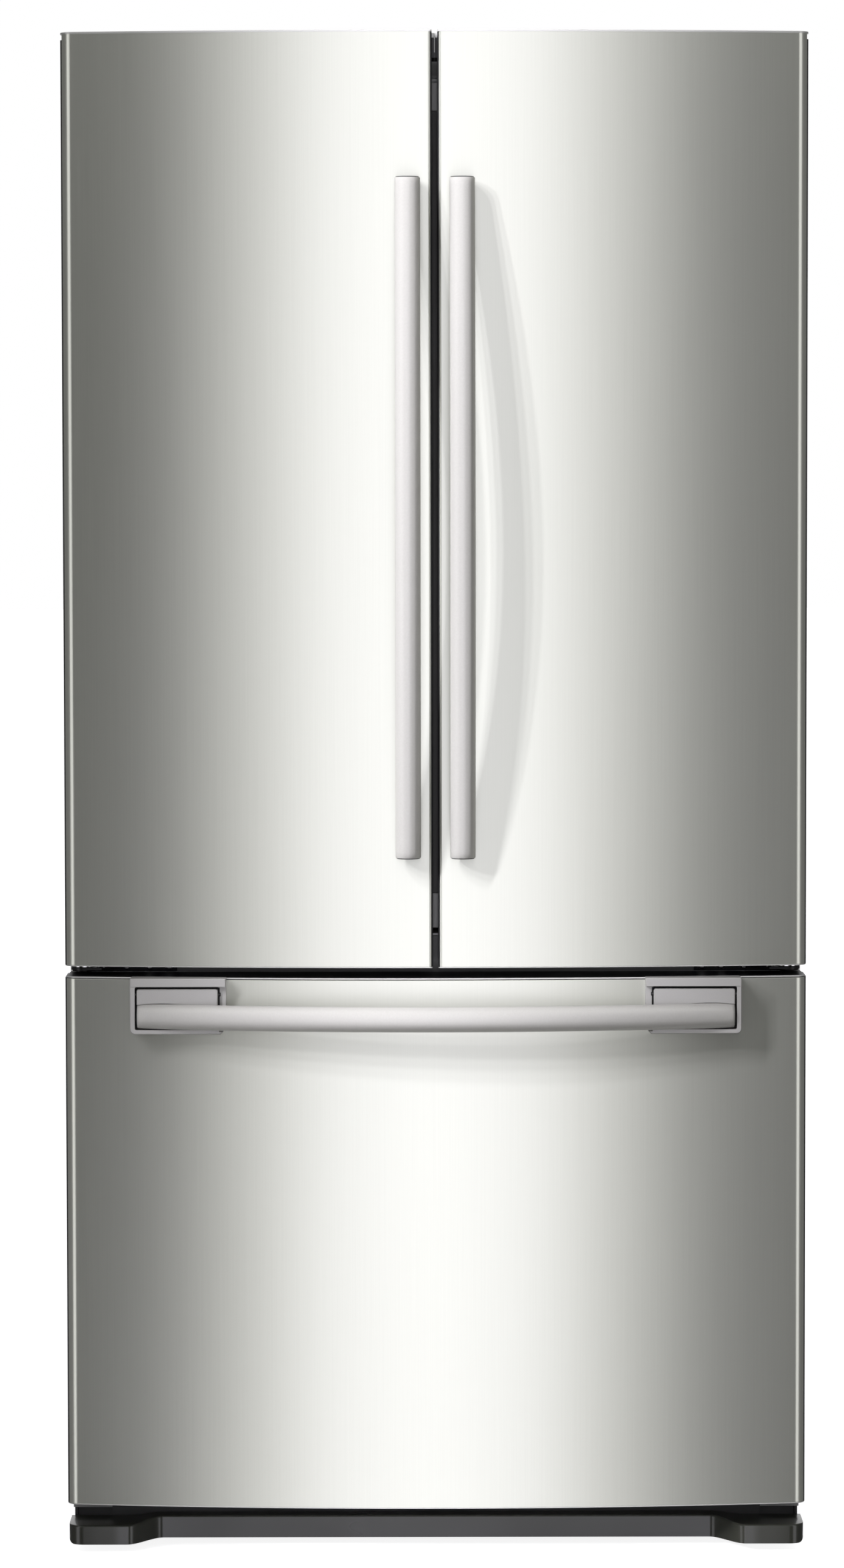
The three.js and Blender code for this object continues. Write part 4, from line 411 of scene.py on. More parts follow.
liner_face = edge_y + 0.063
flat_liner = [(0.0, liner_face - 0.0026), (0.0, liner_face - 0.0008), (0.0008, liner_face)]
wall_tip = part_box("right_door_core")[1][1]
for side in ("left", "right"):
    bm = bmesh.new()
    low = (gap_half + clear, door_low + clear)
    high = (half_width - clear, pocket_z - 0.0134)
    stacked(bm, "y", low, high, flat_liner, 0.006)
    low = (gap_half + clear, pocket_z - 0.02)
    high = (pocket_x - 0.0036, door_high - 0.0004)
    stacked(bm, "y", low, high, flat_liner, 0.002)
    low = (0.040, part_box("fridge_liner")[0][2] + 0.0105)
    high = (0.362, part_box("fridge_liner")[1][2] - 0.0105)
    wall = [(-0.004, liner_face - 0.002), (-0.0015, liner_face + 0.001), (0.0, liner_face + 0.006),
            (0.0016, wall_tip - 0.005), (0.003, wall_tip - 0.0015), (0.006, wall_tip),
            (0.012, wall_tip), (0.015, wall_tip - 0.0015), (0.0164, wall_tip - 0.005),
            (0.0178, liner_face + 0.006), (0.0195, liner_face + 0.001), (0.022, liner_face - 0.002)]
    stacked(bm, "y", low, high, wall, 0.028, 8, closed=True)
    for level in (0.30, 0.72):
        z = low[1] + (high[1] - low[1]) * level
        for x in (low[0] + 0.0178, high[0] - 0.0178 - 0.003):
            block(bm, (x, liner_face - 0.002, z), (x + 0.003, wall_tip - 0.012, z + 0.006), 0.001)
    filler = door_line(gap_half, sheet + clear, math.pi / 2, frame_back)
    filler = pulled_in(filler + [(half_width - 0.0015, frame_back)], 0.0021)
    prism(bm, filler, door_low + 0.0035, pocket_z - 0.0136)
    shown(f"{side}_door_liner", bm, white_liner, f"{side}_door", "white_liner", f"{side}_door_core",
          flip=side == "left")

bm = bmesh.new()
stacked(bm, "y", (-half_width + clear, drawer_low + clear), (half_width - clear, drawer_high - clear),
        flat_liner, 0.006)
stacked(bm, "y", (-0.345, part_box("freezer_liner")[0][2] + 0.012),
        (0.345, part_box("freezer_liner")[1][2] - 0.014), [(-0.003, liner_face - 0.001),
                                                         (0.0, liner_face + 0.0004),
                                                         (0.003, liner_face + 0.0006)], 0.03, 8)
filler = full_line(sheet + clear, math.pi / 2)
filler += [(half_width - 0.0015, frame_back), (-half_width + 0.0015, frame_back)]
prism(bm, pulled_in(filler, 0.0021), drawer_low + 0.0035, drawer_high - 0.0035)
shown("drawer_liner", bm, white_liner, "drawer", "white_liner", "drawer_core")

# ---- Gaskets ----
# A soft grey magnetic seal runs round the back of each door and the drawer. Its foot is
# pushed into a groove in the liner, and a bellows carries the flat magnet strip.
seal_rubber = surface("seal_rubber", (0.20, 0.20, 0.198), 0.62, rough=(40.0, 0.55, 0.70),
                      grain=(700.0, 0.2, 0.0002, 2.0))
seal_wide = 0.0120
seal_side = [(0.0005, 0.0003), (0.0, 0.0012), (0.0016, 0.0026), (0.0002, 0.0048), (0.0014, 0.0070),
             (0.0, 0.0088), (0.0, 0.0108), (0.0006, 0.0114)]
seal_profile = seal_side + [(seal_wide - inset, h) for inset, h in reversed(seal_side)]
for node, body in (("left_door_gasket", "left_door"), ("right_door_gasket", "right_door"),
                   ("drawer_gasket", "drawer")):
    low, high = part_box(node)
    bm = bmesh.new()
    stacked(bm, "y", (low[0], low[2]), (high[0], high[2]),
            [(inset, liner_face + h) for inset, h in seal_profile], 0.004, 4, closed=True)
    shown(node.replace("gasket", "seal"), bm, seal_rubber, body, "gasket", node, sharp=50)

# ---- Bar handles ----
# Blasted aluminium tubes, bowed, cut off square to the door, with black end plugs pressed
# in. Each door bar stands on two short posts screwed through the steel into the door.
satin_bar = surface("satin_bar", (0.40, 0.393, 0.370), 0.42, 0.35,
                    tint=(500.0, (0.388, 0.381, 0.358), (0.412, 0.405, 0.382), 2.0),
                    rough=(500.0, 0.40, 0.46, 2.0))
plug_black = surface("plug_black", (0.015, 0.015, 0.015), 0.35, rough=(60.0, 0.30, 0.42))


def swept(bm, points, radii, sides=24, across=Vector((0, -1, 0))):
    """A round bar along points, with a radius at each point."""
    rings = []
    for i, p in enumerate(points):
        ahead = points[min(i + 1, len(points) - 1)] - points[max(i - 1, 0)]
        u = ahead.cross(across)
        u = u.normalized() if u.length > 1e-9 else Vector((1, 0, 0))
        v = ahead.cross(u).normalized()
        rings.append([p + radii[i] * (math.cos(2 * math.pi * k / sides) * u
                                      + math.sin(2 * math.pi * k / sides) * v) for k in range(sides)])
    return loft(bm, rings)


def bowed(start, end, rise, steps=120):
    """Points on a shallow even bow towards the user."""
    return [start.lerp(end, i / steps) + Vector((0, -4 * rise * (i / steps) * (1 - i / steps), 0))
            for i in range(steps + 1)]


def turned(bm, axis, centre, profile, sides=32):
    """A turned piece about an axis through a centre. The profile lists (radius, height)."""
    cu, cv = centre
    rings = []
    for radius, h in profile:
        ring = arc(cu, cv, max(radius, 1e-5), 0, 2 * math.pi, sides)[:-1]
        rings.append([along(axis, u, v, h) for u, v in ring])
    return loft(bm, rings)


def bar_and_plugs(points, radius, name, body):
    """A bar cut square to its run, with an eased rim at both ends, and its two end plugs."""
    sides = 48
    bm = bmesh.new()
    ends = [points[0], points[0].lerp(points[1], 0.06)] + points[1:-1]
    ends += [points[-1].lerp(points[-2], 0.06), points[-1]]
    radii = [radius - 0.0003] + [radius] * (len(ends) - 2) + [radius - 0.0003]
    run = (points[-1] - points[0]).normalized()
    made = swept(bm, ends, radii, sides)
    for i in (0, 1, -2, -1):
        i %= len(ends)
        for v in made[i * sides:(i + 1) * sides]:
            v.co += run * (ends[i] - v.co).dot(run)
    plugs = bmesh.new()
    for tip, out in ((points[0], -run), (points[-1], run)):
        crown = [tip - out * 0.002, tip + out * 0.0005, tip + out * 0.0010, tip + out * 0.0012]
        swept(plugs, crown, [radius - 0.0010, radius - 0.0010, radius - 0.0016, radius - 0.006], sides)
    shown(f"{name}_plugs", plugs, plug_black, body, "black_plastic")
    return bm


for side, sign in (("left", -1), ("right", 1)):
    low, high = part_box(f"{side}_door_handle")
    x = (low[0] + high[0]) / 2
    radius = (high[0] - low[0]) / 2
    rise = 0.042
    stand = 0.016
    lean = math.atan(4 * rise / 0.752)
    start = Vector((x, face_y(x) - stand, low[2] + radius * math.sin(lean)))
    end = Vector((x, face_y(x) - stand, high[2] - radius * math.sin(lean)))
    points = bowed(start, end, rise, 90)
    bm = bar_and_plugs(points, radius, f"{side}_handle", f"{side}_door")
    for z in (start.z + 0.034, end.z - 0.034):
        foot = face_y(x) - 0.0002
        turned(bm, "y", (x, z), [(0.0092, foot), (0.0092, foot - 0.0015), (0.0084, foot - 0.0022),
                                 (0.0070, foot - 0.003), (0.0070, foot - 0.018)])
    shown(f"{side}_handle_bar", bm, satin_bar, f"{side}_door", "satin_bar", f"{side}_door_handle", sharp=40)

low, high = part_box("drawer_bar")
radius = (high[2] - low[2]) / 2
rise = 0.045
lean = math.atan(4 * rise / 0.661)
tip_x = high[0] - 0.0014
tip_y = face_y(0.3305) - 0.0202
bar_z = (low[2] + high[2]) / 2
points = bowed(Vector((-tip_x, tip_y, bar_z)), Vector((tip_x, tip_y, bar_z)), rise, 110)
bm = bar_and_plugs(points, radius, "drawer_bar", "drawer_handle")
shown("drawer_handle_bar", bm, satin_bar, "drawer_handle", "satin_bar", "drawer_bar", sharp=40)
bar_path = points
bar_radius = radius

# ---- Lever housings and levers ----
# Silver-painted mouldings screwed to the drawer front hold a lever each. The levers
# carry the bar, turn on a blackened pin, and tip out at the bottom when the bar is pulled.
silver_plastic = surface("silver_plastic", (0.345, 0.339, 0.323), 0.36, 0.35, Coat_Weight=0.2,
                         tint=(1500.0, (0.333, 0.327, 0.311), (0.357, 0.351, 0.335), 1.0),
                         rough=(30.0, 0.31, 0.38))


def evaluated(piece):
    """The mesh that a piece's modifiers make."""
    bpy.context.view_layer.update()
    graph = bpy.context.evaluated_depsgraph_get()
    return bpy.data.meshes.new_from_object(piece.evaluated_get(graph))


def bool_cut(target, *cutters):
    """Takes cutter meshes out of a mesh being made, and returns the rest."""
    host = filled("host", target)
    tools = [filled("cutter", cutter) for cutter in cutters]
    for tool in tools:
        cut = host.modifiers.new("cut", "BOOLEAN")
        cut.operation = "DIFFERENCE"
        cut.solver = "EXACT"
        cut.object = tool
    result = evaluated(host)
    rest = bmesh.new()
    rest.from_mesh(result)
    bpy.data.meshes.remove(result)
    for spare in (host, *tools):
        bpy.data.objects.remove(spare)
    return rest


def softened(bm, angle, offset, segments=2):
    """Eases the edges that are sharper than an angle."""
    bmesh.ops.dissolve_limit(bm, angle_limit=math.radians(1.0), verts=bm.verts, edges=bm.edges)
    sharp = [e for e in bm.edges if len(e.link_faces) == 2 and e.calc_face_angle(0) > math.radians(angle)]
    bmesh.ops.bevel(bm, geom=sharp, offset=offset, segments=segments, affect="EDGES", profile=0.5,
                    clamp_overlap=True)


def behind_bow(inset, low, high):
    """Everything behind the bowed front moved in by inset, as a cutter."""
    bm = bmesh.new()
    line = bow_line(-bend_x, bend_x, inset, 120) + [(bend_x, edge_y + 0.06), (-bend_x, edge_y + 0.06)]
    prism(bm, line, low, high)
    return bm


for side, sign in (("left", -1), ("right", 1)):
    low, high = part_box(f"lever_housing_{side}")
    inner_x, outer_x = sorted((abs(low[0]), abs(high[0])))
    z0, z1 = low[2], high[2]
    front = low[1]
    shell = bmesh.new()
    corner = arc(outer_x - 0.006, z0 + 0.006, 0.006, -math.pi / 2, 0, 8)
    line = [(inner_x, z1), (inner_x, z0 + 0.006), (inner_x + 0.006, z0)] + corner
    line += [(outer_x, z1 - 0.0012), (outer_x - 0.0012, z1)]
    prism(shell, line, front, front + 0.034, "y", edge=0.0009)
    recess = bmesh.new()
    recess_x = (inner_x + 0.007, outer_x - 0.0055)
    recess_z = (z0 + 0.005, z1 - 0.0094)
    hole = [(x, z) for x, _, z in rect_ring("y", (recess_x[0], recess_z[0]), (recess_x[1], recess_z[1]),
                                            0.0, 0.002, 4)]
    prism(recess, hole, front - 0.001, front + 0.05, "y")
    step = bmesh.new()
    block(step, (inner_x - 0.001, front - 0.001, z0 + 0.0028), (inner_x + 0.0075, front + 0.008, recess_z[1]))
    seam = bmesh.new()
    block(seam, (inner_x - 0.001, front - 0.001, recess_z[1] - 0.0003),
          (outer_x + 0.001, front + 0.0007, recess_z[1] + 0.0003))
    shell = bool_cut(shell, recess, step, seam, behind_bow(-0.0003, z0 - 0.001, z1 + 0.001))
    softened(shell, 40, 0.0007)
    shown(f"{side}_lever_housing", shell, silver_plastic, "drawer", "silver_plastic",
          f"lever_housing_{side}", sharp=12, flip=sign < 0)

    floor = bmesh.new()
    pad = bow_line(inner_x + 0.004, outer_x - 0.003, -0.0033, 12)
    pad += reversed(bow_line(inner_x + 0.004, outer_x - 0.003, -0.0003, 12))
    prism(floor, pad, z0 + 0.003, z1 - 0.006)
    for x, z in ((inner_x + 0.018, z1 - 0.016), (outer_x - 0.018, z1 - 0.016)):
        y = face_y(x, -0.0033)
        turned(floor, "y", (x, z), [(0.0042, y + 0.001), (0.0042, y - 0.0012), (0.0036, y - 0.002)], 20)
    shown(f"{side}_housing_floor", floor, plug_black, "drawer", "black_plastic", flip=sign < 0)

    low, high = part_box(f"handle_lever_{side}")
    lever = bmesh.new()
    face_x = (recess_x[0] + 0.0019, recess_x[1] - 0.0019)
    front = low[1]
    top = recess_z[1] - 0.0026
    outline = [(x, z) for x, _, z in rect_ring("y", (face_x[0], low[2] + 0.002), (face_x[1], top), 0.0,
                                               0.0025, 5)]
    prism(lever, outline, front, front + 0.0108, "y", edge=0.0008)
    groove = bmesh.new()
    swept(groove, bar_path, [bar_radius + 0.0006] * len(bar_path), 40)
    mirrored(lever, lever.verts, sign < 0)
    lever = bool_cut(lever, groove)
    softened(lever, 50, 0.0004)
    shown(f"{side}_lever", lever, silver_plastic, "drawer_handle", "silver_plastic",
          f"handle_lever_{side}", sharp=12)
    pin = bmesh.new()
    pin_z = high[2] - 0.0065
    turned(pin, "x", (front + 0.007, pin_z), [(0.0018, face_x[0] - 0.0030), (0.0024, face_x[0] - 0.0024),
                                              (0.0024, face_x[1] + 0.0024), (0.0018, face_x[1] + 0.0030)], 20)
    shown(f"{side}_lever_pin", pin, plug_black, "drawer_handle", "silver_plastic", flip=sign < 0)

# ---- Outer case ----
# One sheet of grey painted steel folded into sides and top, with returned flanges at the
# front and back. A fine orange-peel texture is baked into the paint.
case_paint = surface("case_paint", (0.20, 0.20, 0.195), 0.42, 0.25, Coat_Weight=0.15,
                     grain=(420.0, 0.22, 0.0004, 2.0), rough=(9.0, 0.36, 0.50),
                     tint=(5.0, (0.195, 0.195, 0.19), (0.21, 0.21, 0.205)))

low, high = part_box("cabinet_wrap")
wrap_sheet = 0.0012
case_corner = 0.0038


def arch(inset, corner, foot, top_inset=None):
    """The case from the front: up one side, over the top and down the other."""
    x = high[0] - inset
    z = high[2] - (inset if top_inset is None else top_inset)
    r = max(corner - inset, 0.0005)
    return ([(x, foot)] + arc(x - r, z - r, r, 0, math.pi / 2, 8)
            + arc(-x + r, z - r, r, math.pi / 2, math.pi, 8) + [(-x, foot)])


face_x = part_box("fridge_liner")[1][0] - 0.0025
face_inset = (high[0] - face_x, high[2] - (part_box("fridge_liner")[1][2] - 0.0025))
bm = bmesh.new()
rings = [[Vector((x, low[1], z)) for x, z in arch(face_inset[0] + clear, 0.001, low[2],
                                                  face_inset[1] + clear)]]
for inset, y in ((0.0016, low[1]), (0.0004, low[1] + 0.0005), (0.0, low[1] + 0.0016),
                 (0.0, high[1] - 0.0016), (0.0004, high[1] - 0.0005), (0.0016, high[1]), (0.014, high[1]),
                 (0.014, high[1] - wrap_sheet), (wrap_sheet, high[1] - 0.002),
                 (wrap_sheet, low[1] + 0.002)):
    rings.append([Vector((x, y, z)) for x, z in arch(inset, case_corner, low[2])])
rings.append([Vector((x, low[1] + wrap_sheet, z))
              for x, z in arch(face_inset[0] + clear, 0.001, low[2], face_inset[1] + clear)])
n = len(rings[0])
made = [[bm.verts.new(p) for p in ring] for ring in rings]
for a, b in zip(made, made[1:] + made[:1]):
    for i in range(n - 1):
        bm.faces.new((a[i], a[i + 1], b[i + 1], b[i]))
for end in (0, n - 1):
    bm.faces.new([ring[end] for ring in made])
shown("case", bm, case_paint, "cabinet", "case_paint", "cabinet_wrap")

# ---- Rear panel ----
# Galvanised steel, pressed with a shallow raised field and stiffening ribs, screwed to
# the back flanges of the case all round.
galvanised = surface("galvanised", (0.44, 0.45, 0.455), 0.42, 0.9)
crystals = new_node(galvanised.node_tree, "ShaderNodeTexVoronoi", {
    "Vector": new_node(galvanised.node_tree, "ShaderNodeTexCoord").outputs["Object"], "Scale": 110.0})
patterned(galvanised.node_tree, "rough", crystals.outputs["Distance"], 0.34, 0.52)
patterned(galvanised.node_tree, "tint", crystals.outputs["Distance"], (0.41, 0.42, 0.425),
          (0.47, 0.48, 0.485))
bright_steel = surface("bright_steel", (0.62, 0.62, 0.61), 0.25, 1.0, rough=(80.0, 0.20, 0.32))


def node_group(name, inputs):
    """A geometry node group and the sockets of its named inputs. An input is listed with its
    usual value, or with what it holds."""
    tree = bpy.data.node_groups.new(name, "GeometryNodeTree")
    kinds = {float: "Float", int: "Int", tuple: "Vector"}
    for label, value in inputs.items():
        kind = kinds.get(type(value), value)
        socket = tree.interface.new_socket(label, in_out="INPUT", socket_type=f"NodeSocket{kind}")
        if kind != value:
            socket.default_value = value
    tree.interface.new_socket("Geometry", in_out="OUTPUT", socket_type="NodeSocketGeometry")
    return tree, new_node(tree, "NodeGroupInput").outputs


def worked(tree, operation, *terms, **settings):
    """A sum done on values and sockets."""
    return new_node(tree, "ShaderNodeMath", dict(enumerate(terms)), operation=operation, **settings)


def vector(tree, **parts):
    """A vector put together from its parts."""
    return new_node(tree, "ShaderNodeCombineXYZ", parts)


def coated(tree, geometry, finish):
    """Ends a node group: what it made becomes real, takes its finish and goes out."""
    real = new_node(tree, "GeometryNodeRealizeInstances", {"Geometry": geometry})
    painted = new_node(tree, "GeometryNodeSetMaterial", {"Geometry": real, "Material": finish})
    new_node(tree, "NodeGroupOutput", {"Geometry": painted})
    return tree


def screw_tree():
    """Geometry nodes: a cross-head screw standing on every point of the mesh given."""
    tree, given = node_group("screws", {"Geometry": "Geometry", "Head radius": 0.0042, "Head height": 0.0022,
                                        "Facing": (0.0, 0.0, 0.0), "Finish": "Material"})
    radius, height = given["Head radius"], given["Head height"]
    ball = new_node(tree, "GeometryNodeMeshUVSphere", {"Segments": 20, "Rings": 10, "Radius": radius})
    flat = vector(tree, X=1.0, Y=1.0, Z=worked(tree, "DIVIDE", height, radius))
    head = new_node(tree, "GeometryNodeTransform", {"Geometry": ball, "Scale": flat})
    sunk = worked(tree, "MULTIPLY", height, 0.45)
    bars = []
    for turn in (0.0, math.pi / 2):
        size = vector(tree, X=worked(tree, "MULTIPLY", radius, 1.1),
                      Y=worked(tree, "MULTIPLY", radius, 0.24), Z=radius)
        bar = new_node(tree, "GeometryNodeMeshCube", {"Size": size})
        lift = vector(tree, Z=worked(tree, "MULTIPLY_ADD", radius, 0.5, sunk))
        bars.append(new_node(tree, "GeometryNodeTransform", {"Geometry": bar, "Rotation": (0, 0, turn),
                                                             "Translation": lift}))
    cross = new_node(tree, "GeometryNodeMeshBoolean", {"Mesh 1": head, "Mesh 2": bars},
                     operation="DIFFERENCE", solver="EXACT")
    turn_to = new_node(tree, "FunctionNodeAlignRotationToVector", {"Vector": given["Facing"]}, axis="Z")
    spread = new_node(tree, "GeometryNodeInstanceOnPoints",
                      {"Points": given["Geometry"], "Instance": cross, "Rotation": turn_to})
    return coated(tree, spread, given["Finish"])


def through_tree(piece, tree, *runs):
    """Runs a node tree over a piece, once for each set of inputs, and keeps the plain mesh."""
    sockets = {item.name: item.identifier for item in tree.interface.items_tree
               if item.item_type == "SOCKET" and item.in_out == "INPUT"}
    for inputs in runs:
        run = piece.modifiers.new("run", "NODES")
        run.node_group = tree
        for label, value in inputs.items():
            run[sockets[label]] = value
    before, result = piece.data, evaluated(piece)
    piece.modifiers.clear()
    piece.data = result
    bpy.data.meshes.remove(before)
    result.name = piece.name
    return piece


def grown(name, tree, inputs, points, body, slot, *nodes, sharp=35):
    """A piece that a node tree makes on points."""
    seed = bpy.data.meshes.new(name)
    seed.from_pydata([tuple(p) for p in points], [], [])
    return placed(through_tree(standing(name, seed), tree, inputs), body, nodes, sharp)


def screws(name, points, facing, slot, wide, head):
    """Cross-head screws of the cabinet, all facing one way."""
    inputs = {"Head radius": wide, "Head height": head, "Facing": facing, "Finish": bright_steel}
    return grown(name, screw_tree(), inputs, points, "cabinet", slot, sharp=40)


low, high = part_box("rear_panel")
back_plane = high[1]
bm = bmesh.new()
stacked(bm, "y", (low[0], low[2]), (high[0], high[2]),
        [(0.0, low[1] + 0.0001), (0.0, back_plane - 0.0009), (0.0003, back_plane - 0.0007),
         (0.030, back_plane - 0.0007), (0.034, back_plane), (0.12, back_plane)], 0.006, 4)
panel_size = (high[0] - low[0], high[2] - low[2])
ribs = bmesh.new()
for x in (-0.24, -0.08, 0.08, 0.24):
    stacked(ribs, "y", (x - 0.016, low[2] + 0.10), (x + 0.016, high[2] - 0.10),
            [(0.012, back_plane - 0.0006), (0.004, back_plane - 0.0006), (0.0, back_plane - 0.0001),
             (0.0, back_plane + 0.0005)], 0.014, 6)
bm = bool_cut(bm, ribs)
shown("rear_sheet", bm, galvanised, "cabinet", "galvanised", "rear_panel", sharp=10)
spots = [(x, back_plane - 0.0010, z) for z in [low[2] + 0.012 + i * (panel_size[1] - 0.024) / 7
                                               for i in range(8)] for x in (low[0] + 0.012, high[0] - 0.012)]
spots += [(x, back_plane - 0.0010, z) for x in (-0.2, 0.0, 0.2) for z in (low[2] + 0.012, high[2] - 0.012)]
screws("rear_sheet_screws", spots, (0, 1, 0), "galvanised", 0.0036, 0.0010)

# ---- Foam ----
# Pale insulating foam poured between case and liners and inside each door. Only its cut
# edges would ever show.
foam = surface("foam", (0.72, 0.66, 0.48), 0.9,
               tint=(60.0, (0.68, 0.61, 0.42), (0.76, 0.70, 0.53), 5.0), grain=(300.0, 0.5, 0.001, 4.0))


def finished(node, material):
    """Gives a carried-over CAD node its material."""
    piece = bpy.data.objects[node]
    piece.data.materials.clear()
    piece.data.materials.append(material)
    return piece


for node in ("cabinet_foam", "left_door_core", "right_door_core", "drawer_core"):
    finished(node, foam)

# ---- Kick cover ----
# One dark grey moulding across the bottom, open underneath: a rounded lobe in front of
# each foot, blended into a set-back panel. It clips to the base frame.
kick_plastic = surface("kick_plastic", (0.023, 0.024, 0.018), 0.34, Coat_Weight=0.45,
                       Coat_Roughness=0.10, grain=(700.0, 0.12, 0.0002), rough=(10.0, 0.26, 0.36))
low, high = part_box("kick_cover")
kick_half = half_width - 0.0002
kick_back = high[1]
lobe_front = low[1]
panel_front = edge_y + 0.052
lobe_flat = half_width - 0.066
lobe_root = lobe_flat - 0.040
kick_corner = 0.017
kick_low, kick_top = low[2], high[2]


def kick_station(x):
    """Front and top of the kick cover at a place across."""
    a = abs(x)
    blend = min(max((a - lobe_root) / (lobe_flat - lobe_root), 0.0), 1.0)
    ease = blend * blend * (3 - 2 * blend)
    front = panel_front + (lobe_front - panel_front) * ease
    over = a - (kick_half - kick_corner)
    if over > 0:
        front = lobe_front + kick_corner * (1 - math.sqrt(max(1 - (over / kick_corner) ** 2, 0.0)))
    return front, kick_top - 0.004 * ease


def kick_section(x, wall):
    """Section of the kick cover at x, as points in depth and height."""
    front, top = kick_station(x)
    r = 0.0028
    over = max(abs(x) - (kick_half - 0.006), 0.0)
    low = kick_low + 0.006 - math.sqrt(max(0.006**2 - over**2, 0.0))
    points = [(front, low + 0.0004)]
    points += [(front + r - r * math.cos(t), top - r + r * math.sin(t))
               for t in [math.pi / 2 * i / 4 for i in range(5)]]
    points += [(kick_back, top)]
    return points + [(kick_back, top - wall), (front + wall, top - wall), (front + wall, low)]


stations = [kick_half - kick_corner + kick_corner * math.sin(math.pi / 2 * i / 12) for i in range(12, -1, -1)]
stations += [lobe_flat + (kick_half - kick_corner - lobe_flat) * i / 3 for i in (2, 1)]
stations += [lobe_root + (lobe_flat - lobe_root) * i / 16 for i in range(16, -1, -1)]
stations += [0.2, 0.1]
stations = [-s for s in stations] + [0.0] + stations[::-1]
bm = bmesh.new()
wall = 0.0028
loft(bm, [[Vector((x, y, z)) for y, z in kick_section(x, wall)] for x in stations])
for sign in (-1, 1):
    cheek = [(kick_station(x * sign)[0] + 0.0004, x * sign) for x in stations[:6]]
    line = [(abs(x) - 0.0002, y) for y, x in cheek] + [(abs(cheek[-1][1]) - 0.0002, kick_back - 0.0002),
                                                       (kick_half - 0.0002, kick_back - 0.0002)]
    verts = prism(bm, line, kick_low + 0.0061, kick_top - 0.0045)
    mirrored(bm, verts, sign < 0)
for x in (-0.29, -0.15, 0.0, 0.15, 0.29):
    block(bm, (x - 0.001, panel_front + 0.002, kick_low + 0.003),
          (x + 0.001, kick_back - 0.004, kick_top - 0.003))
shown("kick_panel", bm, kick_plastic, "cabinet", "kick_plastic", "kick_cover", sharp=30)

# ---- Middle hinges ----
# Each is a black steel bracket bolted to the case face between door and drawer. Its arm
# carries a bright pin, bright bearing discs with a nylon washer and a wire closing spring.
hinge_steel = surface("hinge_steel", (0.018, 0.018, 0.018), 0.36, 0.4, rough=(50.0, 0.30, 0.44))
chrome = surface("chrome", (0.80, 0.80, 0.79), 0.14, 1.0, rough=(60.0, 0.10, 0.20))
nylon = surface("nylon", (0.62, 0.61, 0.58), 0.45, grain=(600.0, 0.1, 0.0002), rough=(25.0, 0.40, 0.52))
pivot_x = half_width - 0.019
pivot_y = edge_y + 0.040
pivot = (pivot_x, pivot_y)
arm_round = 0.014
arm_x = (pivot_x - arm_round, pivot_x + arm_round)
case_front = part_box("cabinet_wrap")[0][1]
face_back = case_front - clear
plate_sheet = 0.0035
arm_low = (drawer_high + door_low - plate_sheet) / 2
arm_high = arm_low + plate_sheet


def hex_head(bm, axis, centre, start, tall, across):
    """A hexagon bolt head with a chamfered crown and a washer face."""
    r = across / 2 / math.cos(math.pi / 6)
    sign = 1 if tall > 0 else -1
    washer = turned(bm, axis, centre, [(across * 0.72, start), (across * 0.72, start + sign * 0.0007),
                                       (across * 0.68, start + sign * 0.0009)], 24)
    head = turned(bm, axis, centre, [(r, start + sign * 0.0008), (r, start + tall * 0.8),
                                     (r * 0.86, start + tall)], 6)
    return washer + head


